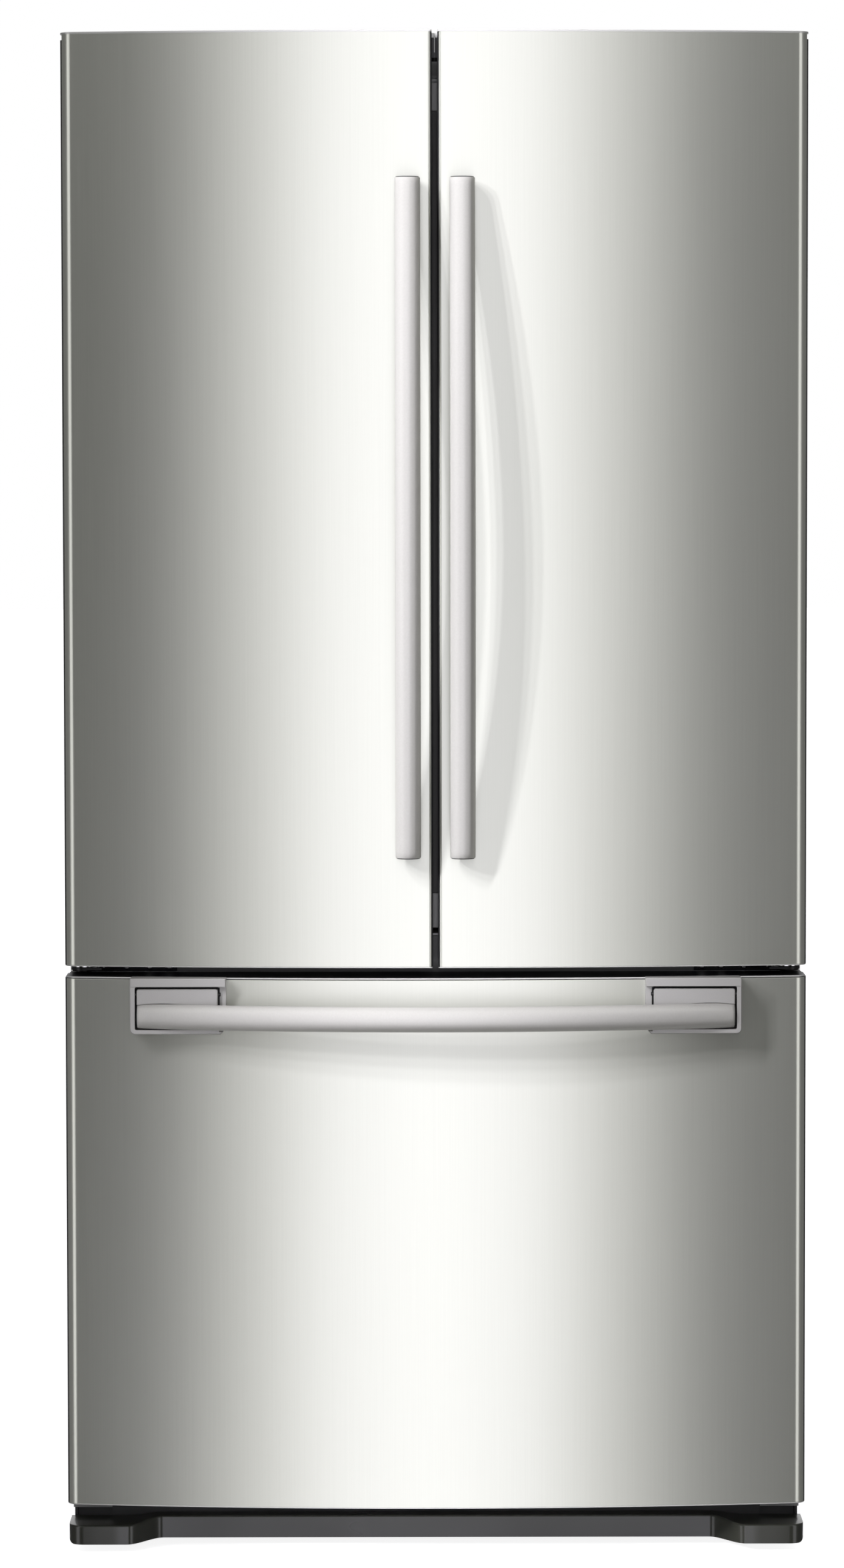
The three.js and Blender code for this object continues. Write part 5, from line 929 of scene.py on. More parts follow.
for side in ("left", "right"):
    low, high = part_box(f"mid_hinge_{side}")
    plate_x = (arm_x[1] - 0.118, arm_x[1])
    bracket = bmesh.new()
    top_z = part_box(f"{side}_door_gasket")[0][2] - clear
    block(bracket, (plate_x[0], face_back - plate_sheet, low[2]), (plate_x[1], face_back, top_z), 0.0012)
    arm = [(arm_x[1], pivot_y), (arm_x[1], face_back - 0.001),
           (plate_x[1] - 0.0708, face_back - 0.001), (pivot_x - 0.021, pivot_y - 0.014)]
    arm += arc(*pivot, arm_round, -math.pi / 2, 0, 12)[:-1]
    prism(bracket, arm, arm_low, arm_high, edge=0.0006)
    turned(bracket, "z", pivot, [(0.0078, arm_low - 0.0010), (0.0082, arm_low - 0.0006),
                                 (0.0082, arm_low + 0.0004)], 28)
    for x in (plate_x[0] + 0.018, plate_x[0] + 0.044):
        block(bracket, (x - 0.0008, face_back - plate_sheet - 0.014, arm_high - 0.0002),
              (x + 0.0008, face_back - plate_sheet + 0.0005, top_z - 0.0016), 0.0004)
    shown(f"{side}_mid_bracket", bracket, hinge_steel, "cabinet", "hinge_steel", f"mid_hinge_{side}",
          flip=side == "left")
    bright = bmesh.new()
    turned(bright, "z", pivot, [(0.0040, arm_high), (0.0049, arm_high + 0.0004),
                                (0.0049, door_low + 0.010), (0.0038, door_low + 0.0108)], 24)
    turned(bright, "z", pivot, [(0.0135, arm_high - 0.0002), (0.0152, arm_high + 0.0006),
                                (0.0152, arm_high + 0.0016), (0.0140, arm_high + 0.0024)], 40)
    turned(bright, "z", pivot, [(0.0070, arm_low - 0.0016), (0.0132, arm_low - 0.0014),
                                (0.0140, arm_low - 0.0008), (0.0132, arm_low - 0.0002)], 40)
    for x in (plate_x[0] + 0.009, plate_x[0] + 0.031, plate_x[0] + 0.057):
        hex_head(bright, "y", (x, (low[2] + top_z) / 2), face_back - plate_sheet, -0.0045, 0.0075)
    shown(f"{side}_mid_pin", bright, chrome, "cabinet", "hinge_steel", flip=side == "left")
    washer = bmesh.new()
    turned(washer, "z", pivot, [(0.0084, arm_high + 0.0020), (0.0090, arm_high + 0.0025),
                                (0.0090, door_low - 0.0010), (0.0084, door_low - 0.0004)], 28)
    stud_y = pivot_y - 0.010
    for x in (pivot_x - 0.0175, pivot_x - 0.0232):
        turned(washer, "z", (x, stud_y), [(0.0008, arm_high - 0.0005), (0.0010, arm_high),
                                          (0.0010, door_low - 0.0012), (0.0006, door_low - 0.0008)], 12)
    for drop in (0.0, 0.0016):
        swept(washer, [Vector((pivot_x - 0.0045, stud_y - 0.002, arm_high + 0.0002 - drop)),
                       Vector((pivot_x - 0.0160, stud_y - 0.002, arm_high + 0.0022 - drop))],
              [0.0004, 0.0004], 8)
    shown(f"{side}_mid_washer", washer, nylon, "cabinet", "nylon", flip=side == "left")

# ---- Top hinges and covers ----
# A stepped steel plate is screwed to the case top and reaches down into the door's corner
# pocket with its pin. A clip-on black moulding with louvres covers the plate.
case_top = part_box("cabinet_wrap")[1][2]
for side in ("left", "right"):
    low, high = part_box(f"top_hinge_{side}")
    inner_x = arm_x[1] - 0.066
    plate_y = (case_front + 0.010, case_front + 0.105)
    plate_z = (case_top + clear, case_top + clear + plate_sheet)
    arm_z = (low[2] + 0.011 + clear, low[2] + 0.011 + clear + plate_sheet)
    bm = bmesh.new()
    block(bm, (inner_x, plate_y[0], plate_z[0]), (arm_x[1], plate_y[1], plate_z[1]), 0.0008)
    block(bm, (arm_x[0], plate_y[0], plate_z[0] + 0.0004), (arm_x[1], plate_y[0] + 0.006, arm_z[1]), 0.0012)
    arm = [(arm_x[1], plate_y[0] + 0.005), (arm_x[0], plate_y[0] + 0.005)]
    arm += arc(*pivot, arm_round, -math.pi, 0, 24)
    prism(bm, arm, arm_z[0], arm_z[1], edge=0.0006)
    for x in (inner_x + 0.012, pivot_x + 0.002):
        for y in (plate_y[0] + 0.030, plate_y[1] - 0.014):
            hex_head(bm, "z", (x, y), plate_z[1] - 0.0002, 0.0048, 0.010)
    shown(f"{side}_top_plate", bm, hinge_steel, "cabinet", "hinge_steel", f"top_hinge_{side}",
          flip=side == "left")
    pin = bmesh.new()
    turned(pin, "z", pivot, [(0.0038, low[2]), (0.0049, low[2] + 0.001), (0.0049, arm_z[1] + 0.0002),
                             (0.0062, arm_z[1] + 0.0002), (0.0062, arm_z[1] + 0.0012),
                             (0.0052, arm_z[1] + 0.0018)], 24)
    shown(f"{side}_top_pin", pin, chrome, "cabinet", "hinge_steel", flip=side == "left")

    low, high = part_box(f"hinge_cover_{side}")
    x0, x1 = sorted((abs(low[0]), abs(high[0])))
    y0, y1 = low[1], high[1]
    z0, z1 = low[2], high[2]
    bm = bmesh.new()
    stacked(bm, "z", (x0, y0), (x1, y1),
            [(0.0021, z1 - 0.0026), (0.0021, z0), (0.0, z0), (0.0, z1 - 0.007), (0.0005, z1 - 0.0040),
             (0.0020, z1 - 0.0015), (0.0045, z1 - 0.0003), (0.009, z1)], 0.008, 6)
    mouth = bmesh.new()
    block(mouth, (pivot_x - 0.0150, y0 - 0.001, z0 - 0.001), (x1 - 0.0022, y0 + 0.012, arm_z[1] + 0.0009))
    bm = bool_cut(bm, mouth)
    for i in range(7):
        y = y1 - 0.022 - i * 0.0085
        block(bm, (x0 + 0.016, y, z1 - 0.0006), (x1 - 0.016, y + 0.0035, z1 - 0.00005), 0.0002)
    shown(f"{side}_hinge_cap", bm, black_plastic, "cabinet", "black_plastic", f"hinge_cover_{side}",
          flip=side == "left")

# ---- Mullion flap ----
# A hollow dark plastic bar with a steel facing and lighter end caps, hinged on the left
# door. It closes the slot between the doors, and both door seals lie against it.
flap_plastic = surface("flap_plastic", (0.15, 0.148, 0.142), 0.40, grain=(800.0, 0.15, 0.0002),
                       rough=(15.0, 0.35, 0.47))
cap_grey = surface("cap_grey", (0.72, 0.72, 0.70), 0.40, rough=(30.0, 0.35, 0.46))
low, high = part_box("mullion_flap")
flap_pivot = (-0.030, case_front + 0.009)
flap_x = (low[0] + 0.0123, high[0])
flap_y = (case_front + clear, case_front + 0.0153)
flap_z = (low[2], high[2])
bm = bmesh.new()
outline = [(x, y) for x, y, _ in rect_ring("z", (flap_x[0], flap_y[0]), (flap_x[1], flap_y[1]), 0.0,
                                           0.002, 4)]
prism(bm, outline, flap_z[0] + 0.040, flap_z[1] - 0.032, edge=0.0006)
knuckle_z = (flap_z[0] + 0.0143, flap_z[1] - 0.0143)
web = [(flap_pivot[0] + 0.001, flap_y[0] + 0.0022), (flap_x[0] + 0.001, flap_y[0] + 0.0022),
       (flap_x[0] + 0.001, flap_y[1] - 0.0022), (flap_pivot[0] + 0.001, flap_y[1] - 0.0022)]
prism(bm, web, knuckle_z[0] + 0.0002, knuckle_z[1] - 0.0002, edge=0.0004)
for z in (flap_z[0] + 0.0148, (flap_z[0] + flap_z[1]) / 2 - 0.02, flap_z[1] - 0.0548):
    turned(bm, "z", flap_pivot, [(0.0052, z), (0.0059, z + 0.0006), (0.0059, z + 0.0394),
                                 (0.0052, z + 0.040)], 28)
turned(bm, "z", flap_pivot, [(0.0044, knuckle_z[0] + 0.0005), (0.0046, knuckle_z[0] + 0.001),
                             (0.0046, knuckle_z[1] - 0.001), (0.0044, knuckle_z[1] - 0.0005)], 20)
turned(bm, "z", flap_pivot, [(0.0020, knuckle_z[0] - 0.0038), (0.0024, knuckle_z[0] - 0.0034),
                             (0.0024, knuckle_z[1] + 0.0034), (0.0020, knuckle_z[1] + 0.0038)], 20)
shown("flap_bar", bm, flap_plastic, "flap", "flap_plastic", "mullion_flap")
bm = bmesh.new()
for z0, z1 in ((flap_z[0], flap_z[0] + 0.0395), (flap_z[1] - 0.0315, flap_z[1])):
    prism(bm, pulled_in(outline, 0.0001), z0, z1, edge=0.0010)
shown("flap_end_caps", bm, cap_grey, "flap", "flap_plastic")
bm = bmesh.new()
prism(bm, [(flap_x[0] + 0.003, flap_y[0] + 0.0004), (flap_x[1] - 0.003, flap_y[0] + 0.0004),
           (flap_x[1] - 0.003, flap_y[0] + 0.00002), (flap_x[0] + 0.003, flap_y[0] + 0.00002)][::-1],
      flap_z[0] + 0.046, flap_z[1] - 0.038)
facing = surface("painted_facing", (0.19, 0.187, 0.18), 0.34, 0.2, rough=(12.0, 0.28, 0.42))
shown("flap_facing", bm, facing, "flap", "flap_plastic")

# ---- Divider rail ----
# A folded steel rail across the front between the two compartments, painted like the
# case and screwed to it at both ends.
low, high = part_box("divider_rail")
bm = bmesh.new()
sheet_thick = 0.0019
depth, tall = high[1] - low[1], (low[2], high[2])
fold = [(low[1] + 0.001, tall[0]), (high[1], tall[0]), (high[1], tall[0] + sheet_thick),
        (low[1] + sheet_thick, tall[0] + sheet_thick), (low[1] + sheet_thick, tall[1] - sheet_thick),
        (high[1], tall[1] - sheet_thick), (high[1], tall[1]), (low[1] + 0.001, tall[1]),
        (low[1] + 0.0003, tall[1] - 0.0003), (low[1], tall[1] - 0.001), (low[1], tall[0] + 0.001),
        (low[1] + 0.0003, tall[0] + 0.0003)]
prism(bm, fold, low[0], high[0], "x")
shown("cross_rail", bm, case_paint, "cabinet", "case_paint", "divider_rail")

# ---- Base frame ----
# Folded steel sheet: an apron, side and cross bars, the floor and roof of the machine
# space and ears for the rollers, spot-welded together and painted black. Its colour is
# darkened further as painted shade for the space under the drawer.
# Near-black, darker than the paint alone: painted shade for the space under the drawer, shared by the welds.
base_paint_and_shade = surface("base_paint_and_shade", (0.022, 0.022, 0.021), 0.46, 0.2, grain=(350.0, 0.2, 0.0003),
                     rough=(14.0, 0.40, 0.55))


def eased(node, material, width):
    """Gives a carried-over CAD node its material and softens its sharp edges."""
    soft = finished(node, material).modifiers.new("soft_edges", "BEVEL")
    soft.width = width
    soft.segments = 2
    soft.limit_method = "ANGLE"
    soft.angle_limit = math.radians(40)


eased("base_frame", base_paint_and_shade, 0.0005)
spots = [(x, case_front - 0.0001, 0.052) for x in (-0.33, -0.11, 0.11, 0.33)]
screws("apron_screws", spots, (0, -1, 0), "hinge_steel", 0.0040, 0.0016)
low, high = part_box("base_frame")
welds = bmesh.new()
for x in (-0.38, -0.2, 0.0, 0.2, 0.38):
    for y in (case_front + 0.012, case_front + 0.16):
        turned(welds, "z", (x, y), [(0.0035, low[2] + 0.0362), (0.0035, low[2] + 0.0358),
                                    (0.002, low[2] + 0.0356)], 16)
shown("base_welds", welds, base_paint_and_shade, "cabinet", "case_paint")

# ---- Levelling feet ----
# A black moulded pad with a ribbed rim for turning by hand, on a zinc-plated threaded stem.
def repeated(tree, points, thing, **move):
    """One thing on every point, made real and moved."""
    spread = new_node(tree, "GeometryNodeInstanceOnPoints", {"Points": points, "Instance": thing})
    real = new_node(tree, "GeometryNodeRealizeInstances", {"Geometry": spread})
    return new_node(tree, "GeometryNodeTransform", {"Geometry": real, **move})


def knob_tree():
    """Geometry nodes: a ring of grip ribs, one standing on each point of a circle."""
    tree, given = node_group("grip_ribs", {"Rim radius": 0.0195, "Rib radius": 0.0006, "Rib height": 0.0055,
                                           "Ribs": 36, "Centre": (0.0, 0.0, 0.0), "Finish": "Material"})
    circle = new_node(tree, "GeometryNodeMeshCircle", {"Vertices": given["Ribs"],
                                                       "Radius": given["Rim radius"]})
    rib = new_node(tree, "GeometryNodeMeshCylinder", {"Vertices": 10, "Radius": given["Rib radius"],
                                                      "Depth": given["Rib height"]})
    return coated(tree, repeated(tree, circle, rib, Translation=given["Centre"]), given["Finish"])


for side in ("left", "right"):
    low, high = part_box(f"foot_{side}")
    centre = ((low[0] + high[0]) / 2, (low[1] + high[1]) / 2)
    radius = (high[0] - low[0]) / 2
    bm = bmesh.new()
    turned(bm, "z", centre, [(radius - 0.0022, 0.0), (radius - 0.0012, 0.0005), (radius - 0.0012, 0.0070),
                             (radius - 0.0024, 0.0080), (0.0105, 0.0080), (0.0095, 0.0074)], 48)
    shown(f"{side}_foot_pad", bm, black_plastic, f"foot_{side}_turn", "black_plastic", f"foot_{side}")
    grown(f"{side}_foot_ribs", knob_tree(),
          {"Rim radius": radius - 0.0009, "Rib radius": 0.0008, "Rib height": 0.0056, "Ribs": 40,
           "Centre": (centre[0], centre[1], 0.0040), "Finish": black_plastic},
          [(0, 0, 0)], f"foot_{side}_turn", "black_plastic")
    stem = bmesh.new()
    profile = [(0.0058, 0.0072)]
    z = 0.009
    while z < high[2] - 0.0016:
        profile += [(0.0050, z), (0.0059, z + 0.0008)]
        z += 0.0016
    profile += [(0.0050, high[2] - 0.0008), (0.0042, high[2])]
    turned(stem, "z", centre, profile, 24)
    shown(f"{side}_foot_stem", stem, bright_steel, f"foot_{side}_turn", "galvanised", sharp=60)

# ---- Rear rollers ----
# Nylon wheels with a ribbed web, on steel axles through the ears of the base frame.
for side in ("left", "right"):
    low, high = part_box(f"roller_{side}")
    centre = ((low[1] + high[1]) / 2, (low[2] + high[2]) / 2)
    middle = (low[0] + high[0]) / 2
    r = (high[1] - low[1]) / 2
    w = 0.012
    bm = bmesh.new()
    tread = [(0.0034, w), (0.0062, w), (0.0066, w - 0.0005), (0.0068, 0.004), (r - 0.0036, 0.004),
             (r - 0.0032, w - 0.0005), (r - 0.0014, w), (r - 0.0003, w - 0.0012), (r, w - 0.003)]
    turned(bm, "x", centre, [(size, middle - h) for size, h in tread]
           + [(size, middle + h) for size, h in reversed(tread)], 48)
    for i in range(6):
        t = math.pi * i / 3
        for sign in (-1, 1):
            made = block(bm, (middle + sign * 0.0075 - 0.0034, -0.0006, 0.0064),
                         (middle + sign * 0.0075 + 0.0034, 0.0006, r - 0.0030), 0.0)
            bmesh.ops.rotate(bm, verts=made, cent=(0, 0, 0), matrix=Matrix.Rotation(t, 3, "X"))
            bmesh.ops.translate(bm, verts=made, vec=(0, centre[0], centre[1]))
    shown(f"{side}_wheel", bm, nylon, f"roller_{side}_wheel", "nylon", f"roller_{side}")
    axle = bmesh.new()
    turned(axle, "x", centre, [(0.0024, low[0]), (0.0029, low[0] + 0.0005), (0.0029, high[0] - 0.0005),
                               (0.0024, high[0])], 20)
    shown(f"{side}_axle", axle, bright_steel, f"roller_{side}_wheel", "nylon")

# ---- Machine space cover ----
# A flat black cover over the machinery at the back, pierced with rows of rounded air
# slots and held by screws all round.
def slot_tree():
    """Geometry nodes: cuts round-ended slots, in rows and columns, through the mesh given."""
    tree, given = node_group("slots", {
        "Geometry": "Geometry", "Slot length": 0.09, "Slot height": 0.008, "Slot depth": 0.01,
        "Column pitch": 0.13, "Row pitch": 0.024, "Columns": 6, "Rows": 4,
        "Centre": (0.0, 0.0, 0.0), "Turn": (0.0, 0.0, 0.0), "Finish": "Material"})
    length, height, depth = given["Slot length"], given["Slot height"], given["Slot depth"]
    lattice = {}
    for axis, label in (("X", "Column"), ("Y", "Row")):
        gaps = worked(tree, "SUBTRACT", given[f"{label}s"], 1.0)
        lattice[f"Vertices {axis}"] = given[f"{label}s"]
        lattice[f"Size {axis}"] = worked(tree, "MULTIPLY", given[f"{label} pitch"], gaps)
    spots = new_node(tree, "GeometryNodeMeshGrid", lattice)
    line = new_node(tree, "GeometryNodeCurvePrimitiveQuadrilateral", {"Width": length, "Height": height},
                    mode="RECTANGLE")
    ends = new_node(tree, "GeometryNodeFilletCurve", {"Curve": line, "Count": 4,
                                                      "Radius": worked(tree, "MULTIPLY", height, 0.48)},
                    mode="POLY")
    fill = new_node(tree, "GeometryNodeFillCurve", {"Curve": ends}, mode="NGONS")
    drop = vector(tree, Z=worked(tree, "MULTIPLY", depth, -0.5))
    lowered = new_node(tree, "GeometryNodeTransform", {"Geometry": fill, "Translation": drop})
    rise = new_node(tree, "GeometryNodeExtrudeMesh",
                    {"Mesh": lowered, "Individual": False, "Offset Scale": depth}, mode="FACES")
    under = new_node(tree, "GeometryNodeFlipFaces", {"Mesh": lowered})
    both = new_node(tree, "GeometryNodeJoinGeometry", {"Geometry": [rise, under]})
    weld = new_node(tree, "GeometryNodeMergeByDistance", {"Geometry": both, "Distance": 0.00001})
    cutters = repeated(tree, spots, weld, Translation=given["Centre"], Rotation=given["Turn"])
    pierce = new_node(tree, "GeometryNodeMeshBoolean", {"Mesh 1": given["Geometry"], "Mesh 2": cutters},
                      operation="DIFFERENCE", solver="EXACT")
    return coated(tree, pierce, given["Finish"])


def slot_grid(size, counts, pitches, centre, turn=(math.pi / 2, 0.0, 0.0)):
    """What the slot tree is given for one grid. A slot's size is its length, height and depth."""
    labels = ("Slot length", "Slot height", "Slot depth", "Columns", "Rows", "Column pitch", "Row pitch")
    return {**dict(zip(labels, (*size, *counts, *pitches))), "Centre": centre, "Turn": turn}


def pierced(name, bm, material, grids, body, slot, *nodes, sharp=35):
    """Makes a piece from a mesh with grids of slots cut through it."""
    runs = [{**grid, "Finish": material} for grid in grids]
    return placed(through_tree(filled(name, bm), slot_tree(), *runs), body, nodes, sharp)


low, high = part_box("machine_cover")
bm = bmesh.new()
stacked(bm, "y", (low[0], low[2]), (high[0], high[2]),
        [(0.0006, low[1]), (0.0, low[1] + 0.0005), (0.0, high[1] - 0.0005), (0.0006, high[1])], 0.003, 3)
pierced("machine_space_cover", bm, black_plastic,
        [slot_grid((0.090, 0.008, 0.010), (6, 4), ((high[0] - low[0] - 0.040) / 6, 0.024),
                   (0.0, high[1], (low[2] + high[2]) / 2 - 0.008))],
        "cabinet", "black_plastic", "machine_cover")
spots = [(x, high[1] - 0.0009, z) for x in (low[0] + 0.010, -0.20, 0.0, 0.20, high[0] - 0.010)
         for z in (low[2] + 0.010, high[2] - 0.010)]
screws("machine_cover_screws", spots, (0, 1, 0), "black_plastic", 0.0036, 0.0009)

# ---- Flap lugs ----
# Two moulded lugs screwed to the wall of the left door carry the flap's pins.
lug_z = (flap_z[0] + 0.010, flap_z[1] - 0.014)
bm = bmesh.new()
for z in lug_z:
    lug = [(-0.0405, flap_pivot[1] - 0.005), (-0.0405, flap_pivot[1] + 0.005)]
    lug += arc(*flap_pivot, 0.005, math.pi / 2, -math.pi / 2, 12)
    prism(bm, lug, z, z + 0.004, edge=0.0005)
    block(bm, (-0.0445, flap_pivot[1] - 0.0055, z - 0.004), (-0.0398, flap_pivot[1] + 0.0055, z + 0.008),
          0.001)
shown("flap_lugs", bm, black_plastic, "left_door", "black_plastic")

# ---- Fridge compartment ----
# A white liner drawn from one sheet, with soft corners, shelf ledges on both sides, an
# air duct cover down the back, a lamp lens at the top and the guide for the flap.
low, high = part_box("fridge_liner")
liner_wall = 0.0025
cavity_x = high[0] - liner_wall
cavity_z = (low[2] + liner_wall, high[2] - liner_wall)
cavity_front, cavity_back = case_front + 0.0015, high[1] - liner_wall


def drawn_box(bm, half, z_range, front, back, thick, corner, deep_corner):
    """A liner shell open at the front, with round corners all over."""
    inner = [(-0.0002, front)]
    inner += [(deep_corner * (1 - math.cos(t)), back - deep_corner * (1 - math.sin(t)))
              for t in [math.pi / 2 * i / 6 for i in range(6, -1, -1)]][::-1]
    outer = [(-thick, front)] + [(inset - thick * math.cos(math.pi / 2 * i / 6),
                                  y + thick * math.sin(math.pi / 2 * i / 6))
                                 for i, (inset, y) in enumerate(inner[1:])]
    profile = list(reversed(outer)) + inner
    rings = []
    for inset, y in profile:
        a, b = (-half + inset, z_range[0] + inset), (half - inset, z_range[1] - inset)
        rings.append(rect_ring("y", a, b, y, max(corner - inset, 0.001), 6))
    return loft(bm, rings)


bm = bmesh.new()
drawn_box(bm, cavity_x, cavity_z, cavity_front, cavity_back, 0.0023, 0.012, 0.022)
lid_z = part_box("crisper_lid")[0][2] - clear
shelf_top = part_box("shelf_right")[1][2] - 0.0053
ledge_y = (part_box("shelf_right")[0][1] + 0.012, cavity_back + 0.001)
for top in (lid_z, shelf_top):
    for sign in (-1, 1):
        ledge = [(cavity_x + 0.001, top - 0.0080), (cavity_x - 0.002, top - 0.0078),
                 (cavity_x - 0.0105, top - 0.0030), (cavity_x - 0.0118, top - 0.0018),
                 (cavity_x - 0.0120, top - 0.0006), (cavity_x - 0.0116, top), (cavity_x + 0.001, top)]
        verts = prism(bm, ledge, ledge_y[0], ledge_y[1], "y", edge=0.0016)
        mirrored(bm, verts, sign < 0)
block(bm, (-0.0118, cavity_back - 0.044, shelf_top - 0.008), (0.0118, cavity_back + 0.001, shelf_top), 0.002)
guide_front = flap_y[1] + 0.004 + clear
block(bm, (-0.0198, guide_front, flap_z[1] + 0.0012), (0.0198, guide_front + 0.030, cavity_z[1] + 0.001),
      0.0015)
block(bm, (-0.0060, guide_front - 0.0030, flap_z[1] + 0.0022), (0.0060, guide_front + 0.002, cavity_z[1]),
      0.001)
for level in (0.30, 0.44, 0.74, 0.86):
    z = cavity_z[0] + (cavity_z[1] - cavity_z[0]) * level
    for sign in (-1, 1):
        rib = [(cavity_x + 0.001, z - 0.004), (cavity_x - 0.0012, z - 0.003), (cavity_x - 0.002, z - 0.001),
               (cavity_x - 0.002, z + 0.001), (cavity_x - 0.0012, z + 0.003), (cavity_x + 0.001, z + 0.004)]
        verts = prism(bm, rib, ledge_y[0], cavity_back - 0.03, "y", edge=0.001)
        mirrored(bm, verts, sign < 0)
shown("fridge_lining", bm, white_liner, "cabinet", "white_liner", "fridge_liner")

duct = bmesh.new()
duct_low, duct_high = (-0.085, shelf_top + 0.030), (0.085, cavity_z[1] - 0.040)
stacked(duct, "y", duct_low, duct_high,
        [(-0.002, cavity_back + 0.0005), (0.0, cavity_back - 0.003), (0.006, cavity_back - 0.0082),
         (0.012, cavity_back - 0.0092), (0.05, cavity_back - 0.0092)], 0.03, 8)
pierced("air_duct", duct, white_liner,
        [slot_grid((0.048, 0.008, 0.0085), (2, 4), (0.084, (duct_high[1] - duct_low[1] - 0.12) / 3),
                   (0.0, cavity_back - 0.0085, (duct_low[1] + duct_high[1]) / 2))],
        "cabinet", "white_liner")

lens = surface("lamp_lens", (0.90, 0.90, 0.88), 0.35, Transmission_Weight=0.25,
               grain=(260.0, 0.3, 0.0006, 1.0), rough=(15.0, 0.30, 0.40))
bm = bmesh.new()
stacked(bm, "z", (-0.075, case_front + 0.20), (0.075, case_front + 0.27),
        [(0.0, cavity_z[1] + 0.0003), (0.0, cavity_z[1] - 0.004), (0.003, cavity_z[1] - 0.0072),
         (0.008, cavity_z[1] - 0.0085), (0.02, cavity_z[1] - 0.0088)], 0.014, 6)
for i in range(9):
    x = -0.056 + i * 0.014
    block(bm, (x - 0.0012, case_front + 0.209, cavity_z[1] - 0.0096),
          (x + 0.0012, case_front + 0.261, cavity_z[1] - 0.0080), 0.0005)
shown("fridge_lamp_lens", bm, lens, "cabinet", "white_liner")

# ---- Freezer compartment ----
# The same white sheet, drawn with a floor that steps up over the machine space behind.
low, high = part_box("freezer_liner")
freezer_x = high[0] - liner_wall
freezer_z = (low[2] + liner_wall, high[2] - liner_wall)
freezer_back = high[1] - liner_wall
step_low = edge_y + 0.430
step_high = edge_y + 0.500
step_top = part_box("evaporator_cover")[0][2] - clear


def side_profile(grow):
    """The freezer from the side: floor, step, back and ceiling."""
    lean = grow * (math.hypot(0.070, 0.145) - 0.070) / 0.145
    floor, shelf = freezer_z[0] - grow, step_top - grow
    near, far = step_low + lean, step_high + lean
    line = [(cavity_front, floor), (near - 0.012, floor), (near + 0.0040, floor + 0.0040),
            (far - 0.0052, shelf - 0.0108), (far, shelf - 0.0018), (far + 0.012, shelf)]
    r = 0.014 + grow
    line += arc(freezer_back + grow - 0.006, shelf + 0.006, 0.006, -math.pi / 2, 0, 4)
    line += arc(freezer_back + grow - r, freezer_z[1] + grow - r, r, 0, math.pi / 2, 6)
    line += [(cavity_front, freezer_z[1] + grow)]
    return line


bm = bmesh.new()
inner, outer = side_profile(0.0), side_profile(0.0023)
n = len(inner)
outer_left = [bm.verts.new((-freezer_x - 0.0023, y, z)) for y, z in outer]
outer_right = [bm.verts.new((freezer_x + 0.0023, y, z)) for y, z in outer]
inner_left = [bm.verts.new((-freezer_x, y, z)) for y, z in inner]
inner_right = [bm.verts.new((freezer_x, y, z)) for y, z in inner]
for i in range(n - 1):
    bm.faces.new((outer_left[i], outer_left[i + 1], outer_right[i + 1], outer_right[i]))
    bm.faces.new((inner_left[i], inner_right[i], inner_right[i + 1], inner_left[i + 1]))
bm.faces.new(outer_left)
bm.faces.new(outer_right)
bm.faces.new(inner_left)
bm.faces.new(inner_right)
for end in (0, n - 1):
    bm.faces.new((outer_left[end], outer_right[end], inner_right[end], inner_left[end]))
bm.faces.new((outer_left[0], outer_left[n - 1], inner_left[n - 1], inner_left[0]))
bm.faces.new((outer_right[0], outer_right[n - 1], inner_right[n - 1], inner_right[0]))
bmesh.ops.recalc_face_normals(bm, faces=bm.faces)
mouth_corners = (inner_left[0], inner_left[n - 1], inner_right[0], inner_right[n - 1])
corner_edges = [e for e in bm.edges if abs(abs(e.verts[0].co.x) - freezer_x) < 1e-6
                and abs(e.verts[0].co.x - e.verts[1].co.x) < 1e-6
                and not (e.verts[0] in mouth_corners and e.verts[1] in mouth_corners)]
bmesh.ops.bevel(bm, geom=corner_edges, offset=0.0022, segments=3, affect="EDGES", profile=0.5)
shown("freezer_lining", bm, white_liner, "cabinet", "white_liner", "freezer_liner")

# ---- Door bins ----
# Clear mouldings with a rolled rim and ribs across the front, hung between the raised
# walls of each door liner.
clear_plastic = surface("clear_plastic", (0.93, 0.95, 0.955), 0.10, Transmission_Weight=0.88, IOR=1.49,
                        rough=(8.0, 0.07, 0.14))


def tub(bm, low, high, wall, corner, rim=0.0016, draft=0.0012):
    """An open moulded tub with round corners, a drafted wall and a rolled rim."""
    body, z = rim + draft, (low[2], high[2])
    profile = [(body + 0.006, z[0]), (body + 0.0018, z[0] + 0.0008), (body, z[0] + 0.004),
               (rim, z[1] - 0.0075), (0.0004, z[1] - 0.0070), (0.0, z[1] - 0.0062), (0.0, z[1] - 0.0010),
               (0.0008, z[1]), (rim + wall * 0.7, z[1]), (rim + wall, z[1] - 0.0010),
               (body + wall, z[0] + wall + 0.005), (body + wall + 0.0015, z[0] + wall + 0.0015),
               (body + wall + 0.006, z[0] + wall)]
    return stacked(bm, "z", low[:2], high[:2], profile, corner, 8)


for side in ("left", "right"):
    for level in (1, 2):
        low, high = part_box(f"{side}_door_bin_{level}")
        bm = bmesh.new()
        tub(bm, low, high, 0.0024, 0.014)
        for z in (low[2] + 0.040, low[2] + 0.052, low[2] + 0.064):
            block(bm, (low[0] + 0.03, high[1] - 0.0026, z), (high[0] - 0.03, high[1] - 0.0012, z + 0.004),
                  0.0005)
        for x in (low[0] + 0.0003, high[0] - 0.0043):
            block(bm, (x, low[1] + 0.030, low[2] + 0.030), (x + 0.004, low[1] + 0.046, low[2] + 0.056), 0.001)
        shown(f"{side}_bin_{level}", bm, clear_plastic, f"{side}_door", "clear_plastic",
              f"{side}_door_bin_{level}")

